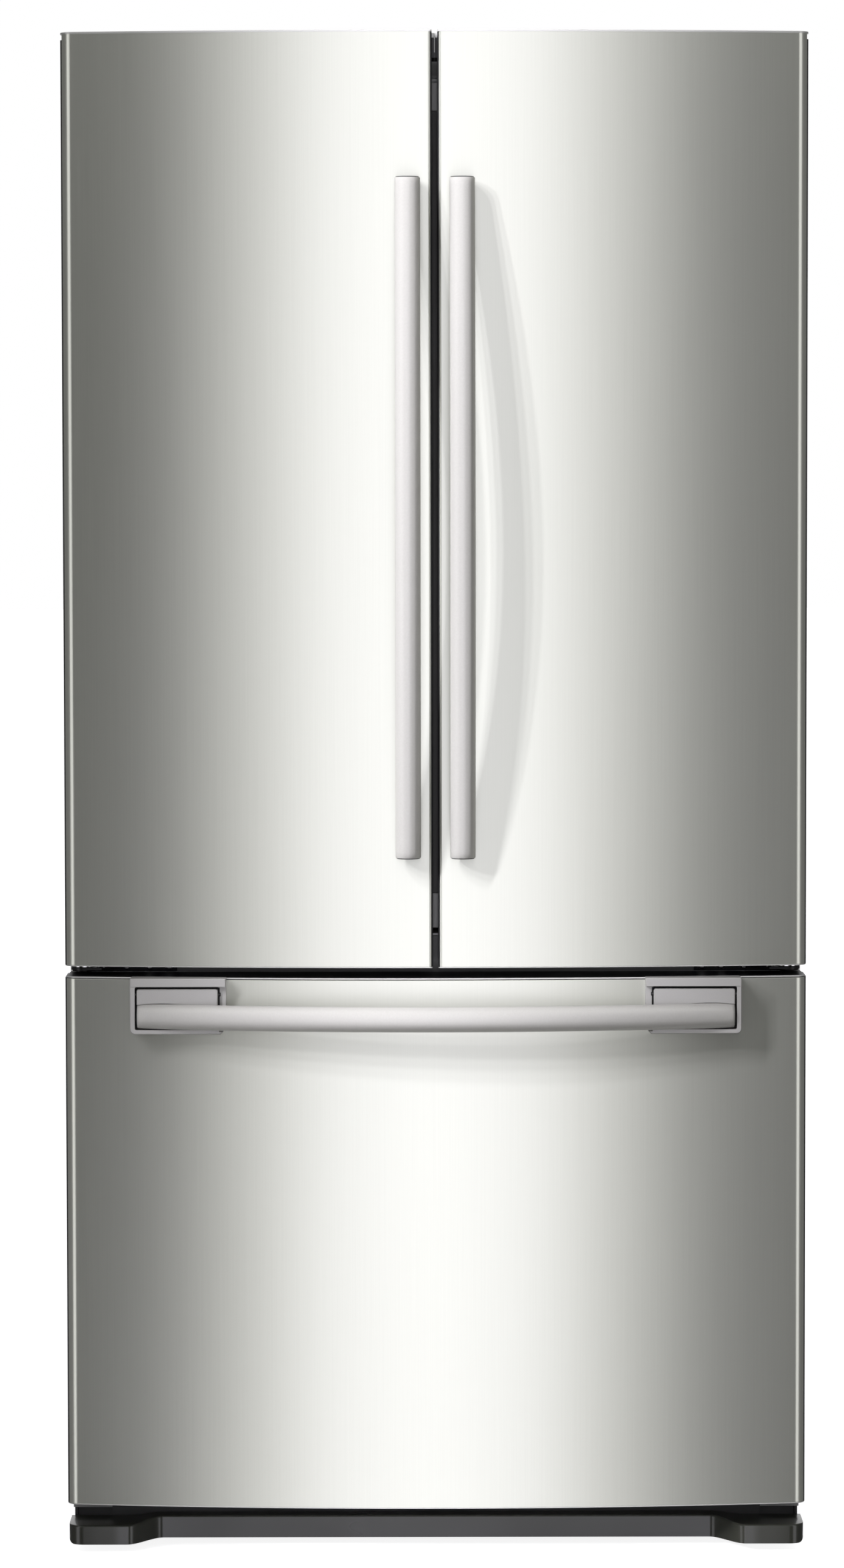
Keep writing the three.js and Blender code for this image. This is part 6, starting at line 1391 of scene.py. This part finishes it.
# ---- Glass shelves ----
# Tempered glass held in a white moulded frame, which hooks over the ledges of the liner.
# The crisper lid is one wide pane framed along its front and back.
shelf_glass = surface("shelf_glass", (0.88, 0.96, 0.93), 0.04, Transmission_Weight=0.92, IOR=1.52,
                      rough=(5.0, 0.02, 0.06))
for side in ("left", "right"):
    low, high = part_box(f"shelf_{side}")
    base = high[2] - 0.005
    pane = bmesh.new()
    block(pane, (low[0] + 0.006, low[1] + 0.008, base + 0.0012),
          (high[0] - 0.006, high[1] - 0.008, high[2] - 0.0006), 0.0004)
    shown(f"{side}_shelf_pane", pane, shelf_glass, "cabinet", "shelf_glass")
    trim = bmesh.new()
    front = [(low[1] + 0.0016, low[2]), (low[1] + 0.0106, low[2] + 0.0004), (low[1] + 0.011, low[2] + 0.001),
             (low[1] + 0.011, base - 0.0004), (low[1] + 0.0112, high[2]), (low[1] + 0.002, high[2]),
             (low[1] + 0.0006, high[2] - 0.0006), (low[1], high[2] - 0.002), (low[1], low[2] + 0.0016),
             (low[1] + 0.0005, low[2] + 0.0005)]
    prism(trim, front, low[0], high[0], "x", edge=0.0006)
    block(trim, (low[0], high[1] - 0.012, base), (high[0], high[1], high[2]), 0.0012)
    for x in (low[0], high[0] - 0.0115):
        block(trim, (x, low[1] + 0.005, base), (x + 0.0115, high[1] - 0.005, high[2] - 0.0001), 0.0010)
    shown(f"{side}_shelf_frame", trim, white_liner, "cabinet", "white_liner", f"shelf_{side}")
low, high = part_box("crisper_lid")
pane = bmesh.new()
block(pane, (low[0] + 0.004, low[1] + 0.010, low[2] + 0.0008),
      (high[0] - 0.004, high[1] - 0.010, high[2] - 0.0004), 0.0004)
shown("crisper_pane", pane, shelf_glass, "cabinet", "shelf_glass", "crisper_lid")
trim = bmesh.new()
for y in (low[1], high[1] - 0.016):
    block(trim, (low[0], y, low[2]), (high[0], y + 0.016, high[2]), 0.0014)
for x in (low[0], -0.006, high[0] - 0.012):
    block(trim, (x, low[1] + 0.008, low[2] + 0.0001), (x + 0.012, high[1] - 0.008, high[2] - 0.0002), 0.0010)
shown("crisper_frame", trim, white_liner, "cabinet", "white_liner")

# ---- Crispers ----
# Two clear drawers with a thick white-edged front and a finger lip along its top.
for side in ("left", "right"):
    low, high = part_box(f"crisper_{side}")
    bm = bmesh.new()
    tub(bm, (low[0], low[1] + 0.003, low[2]), high, 0.0026, 0.012)
    shown(f"{side}_crisper_tub", bm, clear_plastic, f"crisper_{side}_drawer", "clear_plastic",
          f"crisper_{side}")
    bm = bmesh.new()
    top = high[2]
    handle = [(low[1] + 0.0005, top - 0.030), (low[1], top - 0.028), (low[1], top - 0.0015),
              (low[1] + 0.0012, top - 0.0001), (low[1] + 0.0058, top - 0.0001),
              (low[1] + 0.0058, top - 0.004), (low[1] + 0.0036, top - 0.006), (low[1] + 0.0032, top - 0.030)]
    prism(bm, handle, low[0] + 0.012, high[0] - 0.012, "x", edge=0.001)
    block(bm, (low[0] + 0.06, low[1] + 0.0004, low[2] + 0.03),
          (high[0] - 0.06, low[1] + 0.0042, low[2] + 0.034), 0.0008)
    shown(f"{side}_crisper_grip", bm, white_liner, f"crisper_{side}_drawer", "white_liner")

# ---- Drawer rails and carrier ----
# Galvanised channels screwed to the freezer walls guide two arms, which are bolted to
# the drawer front with a cross bar and carry the basket on their legs.
for side, sign in (("left", -1), ("right", 1)):
    low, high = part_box(f"slide_rail_{side}")
    x0, x1 = sorted((abs(low[0]), abs(high[0])))
    z0, z1, w = low[2], high[2], 0.0018
    section = [(x0, z0), (x1, z0), (x1, z1), (x0, z1), (x0, z1 - w), (x1 - w, z1 - w), (x1 - w, z0 + w),
               (x0, z0 + w)]
    bm = bmesh.new()
    prism(bm, section, low[1], high[1], "y")
    softened(bm, 50, 0.0005)
    shown(f"{side}_rail", bm, galvanised, "cabinet", "galvanised", f"slide_rail_{side}", flip=sign < 0)
    spots = [(sign * (x1 - w - 0.0002), y, (z0 + z1) / 2)
             for y in (low[1] + 0.04, low[1] + 0.24, high[1] - 0.04)]
    screws(f"{side}_rail_screws", spots, (-sign, 0, 0), "galvanised", 0.0036, 0.0007)
eased("drawer_carrier", galvanised, 0.0006)
low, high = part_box("drawer_carrier")
bm = bmesh.new()
for x in (-0.30, -0.12, 0.12, 0.30):
    hex_head(bm, "y", (x, low[2] + 0.0062), low[1] + 0.0119, 0.0046, 0.008)
shown("carrier_bolts", bm, bright_steel, "drawer", "galvanised")

# ---- Freezer basket ----
# A deep moulded basket, slotted on all four sides so that cold air moves through, with
# a flange along both sides that rests on the carrier.
basket_plastic = surface("basket_plastic", (0.78, 0.79, 0.79), 0.34, grain=(500.0, 0.12, 0.0002),
                         rough=(12.0, 0.30, 0.40))
low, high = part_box("freezer_basket")
tub_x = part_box("drawer_carrier")[1][0] - 0.031 - 0.0008
bm = bmesh.new()
tub(bm, (-tub_x, low[1], low[2]), (tub_x, high[1], high[2]), 0.0026, 0.022, 0.0014)
middle = ((low[1] + high[1]) / 2, (low[2] + high[2]) / 2)
pierced("basket_tub", bm, basket_plastic,
        [slot_grid((0.24, 0.012, 1.2), (1, rows), (0.1, 0.028), (0.0, *middle), turn)
         for rows, turn in ((22, (math.pi / 2, math.pi / 2, 0.0)), (9, (0.0, math.pi / 2, 0.0)))],
        "drawer", "clear_plastic", "freezer_basket")
bm = bmesh.new()
flange_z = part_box("drawer_carrier")[0][2] + 0.0033
for sign in (-1, 1):
    verts = block(bm, (tub_x - 0.0025, low[1] + 0.002, flange_z),
                  (high[0], high[1] - 0.002, flange_z + 0.0034), 0.0010)
    for i in range(8):
        y = low[1] + 0.03 + i * (high[1] - low[1] - 0.06) / 7
        verts += block(bm, (tub_x - 0.0015, y - 0.001, flange_z - 0.016),
                       (tub_x + 0.0008, y + 0.001, flange_z + 0.001), 0.0003)
    mirrored(bm, verts, sign < 0)
shown("basket_flanges", bm, basket_plastic, "drawer", "clear_plastic")

# ---- Compressor and drip pan ----
# A welded steel pot, painted black, on three rubber feet, with copper stubs and a wiring
# box on its side. A shallow tray on top catches defrost water.
compressor_black = surface("compressor_black", (0.014, 0.014, 0.015), 0.30, grain=(120.0, 0.15, 0.0004),
                           rough=(20.0, 0.25, 0.42))
copper = surface("copper", (0.72, 0.34, 0.20), 0.28, 1.0, rough=(40.0, 0.22, 0.38))
low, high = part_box("compressor")
pot_r, pot_z, pot_top = 0.062, low[2], high[2]
pot = (high[0] - pot_r, (low[1] + high[1]) / 2)
foot_spots = arc(*pot, 0.03844, 0, 2 * math.pi, 3)[:-1]
bm = bmesh.new()
turned(bm, "z", pot, [(0.020, pot_z + 0.0062), (0.042, pot_z + 0.008), (0.054, pot_z + 0.015),
                      (0.0595, pot_z + 0.026), (0.0600, pot_z + 0.060), (0.0618, pot_z + 0.0615),
                      (0.0618, pot_z + 0.0655), (0.0600, pot_z + 0.067), (0.0585, pot_z + 0.092),
                      (0.053, pot_z + 0.108), (0.040, pot_z + 0.120), (0.022, pot_z + 0.1262),
                      (0.002, pot_top)], 64)
for spot in foot_spots:
    turned(bm, "z", spot, [(0.0075, pot_z + 0.0065), (0.0085, pot_z + 0.0075), (0.0085, pot_z + 0.0125)], 24)
block(bm, (pot[0] - 0.018, pot[1] + 0.0575, pot_z + 0.045), (pot[0] + 0.018, pot[1] + 0.0615,
                                                             pot_z + 0.085), 0.002)
shown("compressor_pot", bm, compressor_black, "cabinet", "compressor_black", "compressor", sharp=40)
rubber = bmesh.new()
for spot in foot_spots:
    turned(rubber, "z", spot, [(0.0080, pot_z), (0.0088, pot_z + 0.0008), (0.0078, pot_z + 0.0030),
                               (0.0088, pot_z + 0.0052), (0.0080, pot_z + 0.0062)], 24)
shown("compressor_grommets", rubber, plug_black, "cabinet", "compressor_black")
pipes = bmesh.new()
for reach, rise, turn in ((0.014, 0.030, -0.6), (0.012, 0.048, 0.5), (0.010, 0.070, 1.1)):
    out = Vector((-math.cos(turn), math.sin(turn), 0))
    start = Vector((pot[0], pot[1], pot_z + rise)) + out * 0.0585
    path = [start, start + out * 0.004, start + out * (0.004 + reach * 0.5)]
    path += [path[-1] + out * reach * 0.35 * math.sin(t) + Vector((0, 0, reach * 0.35 * (1 - math.cos(t))))
             for t in [math.pi / 2 * i / 6 for i in range(1, 7)]]
    path += [path[-1] + Vector((0, 0, 0.018))]
    swept(pipes, path, [0.0030] * len(path), 16, out.cross(Vector((0, 0, 1))))
shown("compressor_pipes", pipes, copper, "cabinet", "compressor_black")
low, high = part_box("drip_pan")
bm = bmesh.new()
tub(bm, low, high, 0.0016, 0.012, 0.0012, 0.0025)
shown("defrost_tray", bm, black_plastic, "cabinet", "black_plastic", "drip_pan")

# ---- Condenser ----
# Thin aluminium fins on a copper tube bent to and fro, beside a steel shroud with a
# wire guard whose middle disc carries the fan's axle.
coil_aluminium = surface("coil_aluminium", (0.66, 0.67, 0.68), 0.36, 1.0, grain=(300.0, 0.2, 0.0002),
                         rough=(30.0, 0.30, 0.46))


def fin_tree():
    """Geometry nodes: a row of thin fins along the width, evenly spaced."""
    tree, given = node_group("fins", {"Fin thickness": 0.0004, "Fin depth": 0.03, "Fin height": 0.1,
                                      "Span": 0.2, "Fins": 20, "Centre": (0.0, 0.0, 0.0),
                                      "Finish": "Material"})
    first, last = [vector(tree, X=worked(tree, "MULTIPLY", given["Span"], end)) for end in (-0.5, 0.5)]
    row = new_node(tree, "GeometryNodeMeshLine",
                   {"Count": given["Fins"], "Start Location": first, "Offset": last}, mode="END_POINTS")
    size = vector(tree, X=given["Fin thickness"], Y=given["Fin depth"], Z=given["Fin height"])
    fin = new_node(tree, "GeometryNodeMeshCube", {"Size": size})
    return coated(tree, repeated(tree, row, fin, Translation=given["Centre"]), given["Finish"])


def coil_tube(bm, x, y, rows, radius):
    """A tube that runs to and fro across the fins, row above row, with round bends."""
    path = []
    for i, z in enumerate(rows):
        ends = x if i % 2 == 0 else (x[1], x[0])
        path += [Vector((ends[0] + (ends[1] - ends[0]) * k / 4, y, z)) for k in range(5)]
        if i + 1 < len(rows):
            r = (rows[i + 1] - z) / 2
            out = 1 if ends[1] > ends[0] else -1
            path += [Vector((ends[1] + out * min(r, 0.006) * math.sin(t), y, z + r - r * math.cos(t)))
                     for t in [math.pi * k / 8 for k in range(1, 8)]]
    swept(bm, path, [radius] * len(path), 12)


def finned_coil(node, ends, fins, thick, slack, rows, columns, tube_metal):
    """A block of fins with tubes running to and fro through it, in place of a CAD node."""
    low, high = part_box(node)
    middle = [(a + b) / 2 for a, b in zip((ends[0], low[1], low[2]), (ends[1], high[1], high[2]))]
    grown(f"{node}_fins", fin_tree(), {"Fin thickness": thick, "Fin depth": high[1] - low[1] - slack,
                                       "Fin height": high[2] - low[2] - 0.002,
                                       "Span": ends[1] - ends[0] - 0.004, "Fins": fins, "Centre": middle,
                                       "Finish": coil_aluminium}, [(0, 0, 0)], "cabinet",
          "coil_aluminium", node)
    bm = bmesh.new()
    heights = [low[2] + 0.018 + i * (high[2] - low[2] - 0.036) / (rows - 1) for i in range(rows)]
    for y in columns:
        coil_tube(bm, (ends[0] + 0.001, ends[1] - 0.001), y, heights, 0.0038)
    shown(f"{node}_tube", bm, tube_metal, "cabinet", "coil_aluminium", sharp=60)


low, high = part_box("condenser")
fan_plate = high[0] - 0.012
middle_y = (low[1] + high[1]) / 2
finned_coil("condenser", (low[0] + 0.008, fan_plate - 0.012), 34, 0.0006, 0.002, 6,
            (middle_y - 0.036, middle_y, middle_y + 0.036), copper)
fan_z = (low[2] + high[2]) / 2
shroud = bmesh.new()
block(shroud, (fan_plate - 0.0015, low[1], low[2]), (high[0], high[1], high[2]), 0.0015)
mouth = bmesh.new()
turned(mouth, "x", (middle_y, fan_z), [(0.0608, fan_plate - 0.01), (0.0608, high[0] + 0.01)], 64)
hollow = bmesh.new()
block(hollow, (fan_plate + 0.0012, low[1] + 0.0015, low[2] + 0.0015),
      (high[0] + 0.01, high[1] - 0.0015, high[2] - 0.0015))
shroud = bool_cut(shroud, mouth, hollow)
loft(shroud, [[along("x", u, v, h) for u, v in arc(middle_y, fan_z, r, 0, 2 * math.pi, 64)[:-1]] for r,
              h in ((0.0628, fan_plate - 0.0010), (0.0628, high[0] - 0.0002), (0.0608, high[0] - 0.0002),
                    (0.0608, fan_plate - 0.0010))], closed=True)
shown("fan_shroud", shroud, galvanised, "cabinet", "coil_aluminium")
guard = bmesh.new()
for r in (0.020, 0.028, 0.036, 0.044, 0.052, 0.0600):
    rings = []
    for i in range(64):
        t = 2 * math.pi * i / 64
        c = Vector((fan_plate - 0.0026, middle_y + r * math.cos(t), fan_z + r * math.sin(t)))
        out = Vector((0, math.cos(t), math.sin(t)))
        rings.append([c + 0.0008 * (math.cos(a) * out + math.sin(a) * Vector((1, 0, 0)))
                      for a in [2 * math.pi * k / 8 for k in range(8)]])
    loft(guard, rings, closed=True)
for i in range(4):
    t = math.pi / 4 + i * math.pi / 2
    out = Vector((0, math.cos(t), math.sin(t)))
    c = Vector((fan_plate - 0.0012, middle_y, fan_z))
    swept(guard, [c + out * 0.012, c + out * 0.030, c + out * 0.0615], [0.0013] * 3, 12, Vector((1, 0, 0)))
turned(guard, "x", (middle_y, fan_z), [(0.0145, fan_plate - 0.0036), (0.0155, fan_plate - 0.0030),
                                       (0.0155, fan_plate - 0.0004), (0.0150, fan_plate)], 32)
turned(guard, "x", (middle_y, fan_z), [(0.0028, fan_plate - 0.001), (0.0028, high[0] - 0.0006),
                                       (0.0023, high[0] - 0.0001)], 20)
shown("fan_guard", guard, bright_steel, "cabinet", "coil_aluminium", sharp=50)

# ---- Fan wheels ----
# Black moulded wheels: five curved blades round a hollow hub with a rounded front.
def fan_wheel(name, node, axis, body):
    """A moulded fan wheel that fills the space of its CAD node."""
    low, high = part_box(node)
    centre = [(a + b) / 2 for a, b in zip(low, high)]
    radius = (high[2] - low[2]) / 2
    half = 0.0058
    bm = bmesh.new()
    hub = [(0.0034, -half), (0.0148, -half), (0.0158, -half + 0.001), (0.0159, half - 0.003),
           (0.0150, half - 0.001), (0.0120, half), (0.0034, half)]
    loft(bm, [[Vector((u, v, h)) for u, v in arc(0, 0, r, 0, 2 * math.pi, 40)[:-1]] for r, h in hub],
         closed=True)
    for i in range(5):
        turn = 2 * math.pi * i / 5
        rings = []
        for k in range(13):
            r = 0.0150 + (radius - 0.0012 - 0.0150) * k / 12
            sweep = 0.10 * k / 12
            chord = 0.46 - 0.06 * k / 12 if k < 11 else 0.40 - 0.12 * (k - 10)
            top, under = [], []
            for j in range(9):
                a = chord * (j / 4 - 1)
                z = -0.0044 * (a / chord) - 0.0010 * (1 - (a / chord) ** 2)
                t = turn + sweep + a
                thick = 0.0007 * (1 - 0.6 * abs(a / chord))
                top.append(Vector((r * math.cos(t), r * math.sin(t), z + thick)))
                under.append(Vector((r * math.cos(t), r * math.sin(t), z - thick)))
            rings.append(top + under[::-1])
        loft(bm, rings)
    bmesh.ops.recalc_face_normals(bm, faces=bm.faces)
    turn = Matrix.Rotation(math.pi / 2, 3, "Y" if axis == "x" else "X")
    bmesh.ops.rotate(bm, verts=bm.verts, cent=(0, 0, 0), matrix=turn)
    bmesh.ops.translate(bm, verts=bm.verts, vec=centre)
    shown(name, bm, black_plastic, body, "black_plastic", node, sharp=40)


fan_wheel("condenser_wheel", "condenser_fan", "x", "condenser_fan_wheel")
fan_wheel("evaporator_wheel", "evaporator_fan", "y", "evaporator_fan_wheel")

# ---- Evaporator and its cover ----
# A finned aluminium coil stands against the freezer's back wall behind a white moulded
# cover, which has air slots and a ringed opening with a cross that carries the fan.
low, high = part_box("evaporator")
finned_coil("evaporator", (low[0] + 0.008, high[0] - 0.008), 64, 0.0005, 0.001, 8,
            (low[1] * 0.72 + high[1] * 0.28, low[1] * 0.28 + high[1] * 0.72), coil_aluminium)

low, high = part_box("evaporator_cover")
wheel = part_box("evaporator_fan")
fan_z = (wheel[0][2] + wheel[1][2]) / 2
plate_y = (low[1], low[1] + 0.003)
plate = bmesh.new()
stacked(plate, "y", (low[0], low[2]), (high[0], high[2]),
        [(0.0010, plate_y[0]), (0.0, plate_y[0] + 0.001), (0.0, plate_y[1])], 0.004, 4)
mouth = bmesh.new()
turned(mouth, "y", (0, fan_z), [(0.0518, plate_y[0] - 0.01), (0.0518, plate_y[1] + 0.01)], 64)
plate = bool_cut(plate, mouth)
for a in (0.0, math.pi / 2):
    made = block(plate, (-0.0524, plate_y[0] + 0.0002, -0.0048), (0.0524, plate_y[1] - 0.0001, 0.0048),
                 0.0008)
    bmesh.ops.rotate(plate, verts=made, cent=(0, 0, 0), matrix=Matrix.Rotation(a, 3, "Y"))
    bmesh.ops.translate(plate, verts=made, vec=(0, 0, fan_z))
turned(plate, "y", (0, fan_z), [(0.0130, plate_y[0] + 0.0001), (0.0140, plate_y[0] + 0.0008),
                                (0.0140, plate_y[1])], 32)
turned(plate, "y", (0, fan_z), [(0.0028, plate_y[1] - 0.001), (0.0028, high[1] - 0.0006),
                                (0.0023, high[1])], 20)
pierced("coil_cover", plate, white_liner, [slot_grid((0.060, 0.006, 0.012), (7, 4), (0.090, 0.014),
                                                     (0.0, plate_y[0] + 0.0015, low[2] + 0.055))],
        "cabinet", "white_liner", "evaporator_cover")

# ---- Floor, cards and lamps ----
# A pale floor in a white studio. Three narrow key lamps side by side at the upper left throw
# one soft shadow, a weak lamp in front reaches into the gaps, and the steel mirrors the cards.
lamp_aim = Vector((-0.03, -0.4, 0.86))
key = ((0.15, 3.0), 3.4, 6)
for name, place, (size, power, spread) in (("outer_key", (-3.65, -3.65, 3.1), key),
                                           ("middle_key", (-3.40, -3.90, 4.1), key),
                                           ("inner_key", (-3.15, -4.10, 5.2), key),
                                           ("front_fill", (0.0, -6.0, 1.2), ((0.3, 1.6), 2.0, 40))):
    lamp = bpy.data.lights.new(name, "AREA")
    lamp.shape = "RECTANGLE"
    lamp.size, lamp.size_y = size
    lamp.energy = power
    lamp.color = (1.0, 0.985, 1.06)
    lamp.spread = math.radians(spread)
    light = standing(name, lamp)
    light.location = place
    light.rotation_euler = (lamp_aim - light.location).to_track_quat("-Z", "Y").to_euler()
    light.visible_camera = light.visible_glossy = False


def studio_surface(name, corners, colour, glow):
    """A flat surface of the studio. A glowing one is a card that lights nothing and is only mirrored."""
    mesh = bpy.data.meshes.new(name)
    mesh.from_pydata(corners, [], [(0, 1, 2, 3)])
    mesh.update()
    made = standing(name, mesh)
    glowing = {"Specular_IOR_Level": 0.0, "Emission_Color": (*colour, 1), "Emission_Strength": 1.0}
    material = surface(name, (0, 0, 0) if glow else colour, 0.9, **(glowing if glow else {}))
    mesh.materials.append(material)
    made.visible_glossy = glow
    if glow:
        material.cycles.emission_sampling = "NONE"
        made.visible_camera = made.visible_diffuse = made.visible_shadow = False
        made.visible_transmission = False
    return material


card_half, card_front, card_back = 1.6, -2.0, 3.0
card_low, card_high = -0.85, 2.7


def card_end(turn):
    """Where the cards stand, by the angle off centre at which the middle of the doors sees them."""
    if abs(turn) <= 45:
        return card_half * math.tan(math.radians(turn)), card_front
    y = card_front + card_half - card_half / math.tan(math.radians(abs(turn)))
    return math.copysign(card_half, turn), y


for near, far, level in ((0, 4, 1.50), (4, 8, 1.24), (8, 12, 1.50), (12, 16, 0.87), (16, 22, 0.52),
                         (22, 45, 0.0), (45, 70, 1.25), (70, 150, 0.10)):
    for side in (-1, 1):
        (x0, y0), (x1, y1) = card_end(side * near), card_end(side * far)
        studio_surface(f"{'right' if side > 0 else 'left'}_card_{near}",
                       [(x0, y0, card_low), (x1, y1, card_low), (x1, y1, card_high), (x0, y0, card_high)],
                       (level, level * 0.985, level * (1.08 if near < 12 else 1.02)), True)
studio_surface("low_card", [(-card_half, card_front, card_low), (card_half, card_front, card_low),
                            (card_half, card_back, card_low), (-card_half, card_back, card_low)],
               (0.02, 0.02, 0.02), True)


def seen_share(tree):
    """One for rays from the camera and for rays mirrored or let through, and none for others."""
    path = new_node(tree, "ShaderNodeLightPath").outputs
    mirrored_too = worked(tree, "ADD", path["Is Camera Ray"], path["Is Glossy Ray"], use_clamp=True)
    return worked(tree, "ADD", mirrored_too, path["Is Transmission Ray"], use_clamp=True)


floor_half = 40
corners = ((-1, -1), (1, -1), (1, 1), (-1, 1))
pale_floor = studio_surface("pale_floor", [(x * floor_half, y * floor_half, -0.0002) for x, y in corners],
                            (0.80, 0.80, 0.80), False)
tree = pale_floor.node_tree
dark, glow = [new_node(tree, "ShaderNodeEmission", {"Strength": strength}) for strength in (0.0, 0.87)]
pick = new_node(tree, "ShaderNodeMixShader", {"Fac": seen_share(tree), 1: dark, 2: glow})
both = new_node(tree, "ShaderNodeAddShader", {0: tree.nodes["Principled BSDF"], 1: pick})
tree.links.new(both.outputs["Shader"], tree.nodes["Material Output"].inputs["Surface"])

studio = bpy.data.worlds.new("studio")
bpy.context.scene.world = studio
studio.use_nodes = True
tree = studio.node_tree
soft_fill = tree.nodes["Background"]
soft_fill.inputs["Color"].default_value = (0.45, 0.45, 0.45, 1)
white = new_node(tree, "ShaderNodeBackground", {"Color": (1, 1, 1, 1)})
pick = new_node(tree, "ShaderNodeMixShader", {"Fac": seen_share(tree), 1: soft_fill, 2: white})
tree.links.new(pick.outputs["Shader"], tree.nodes["World Output"].inputs["Surface"])
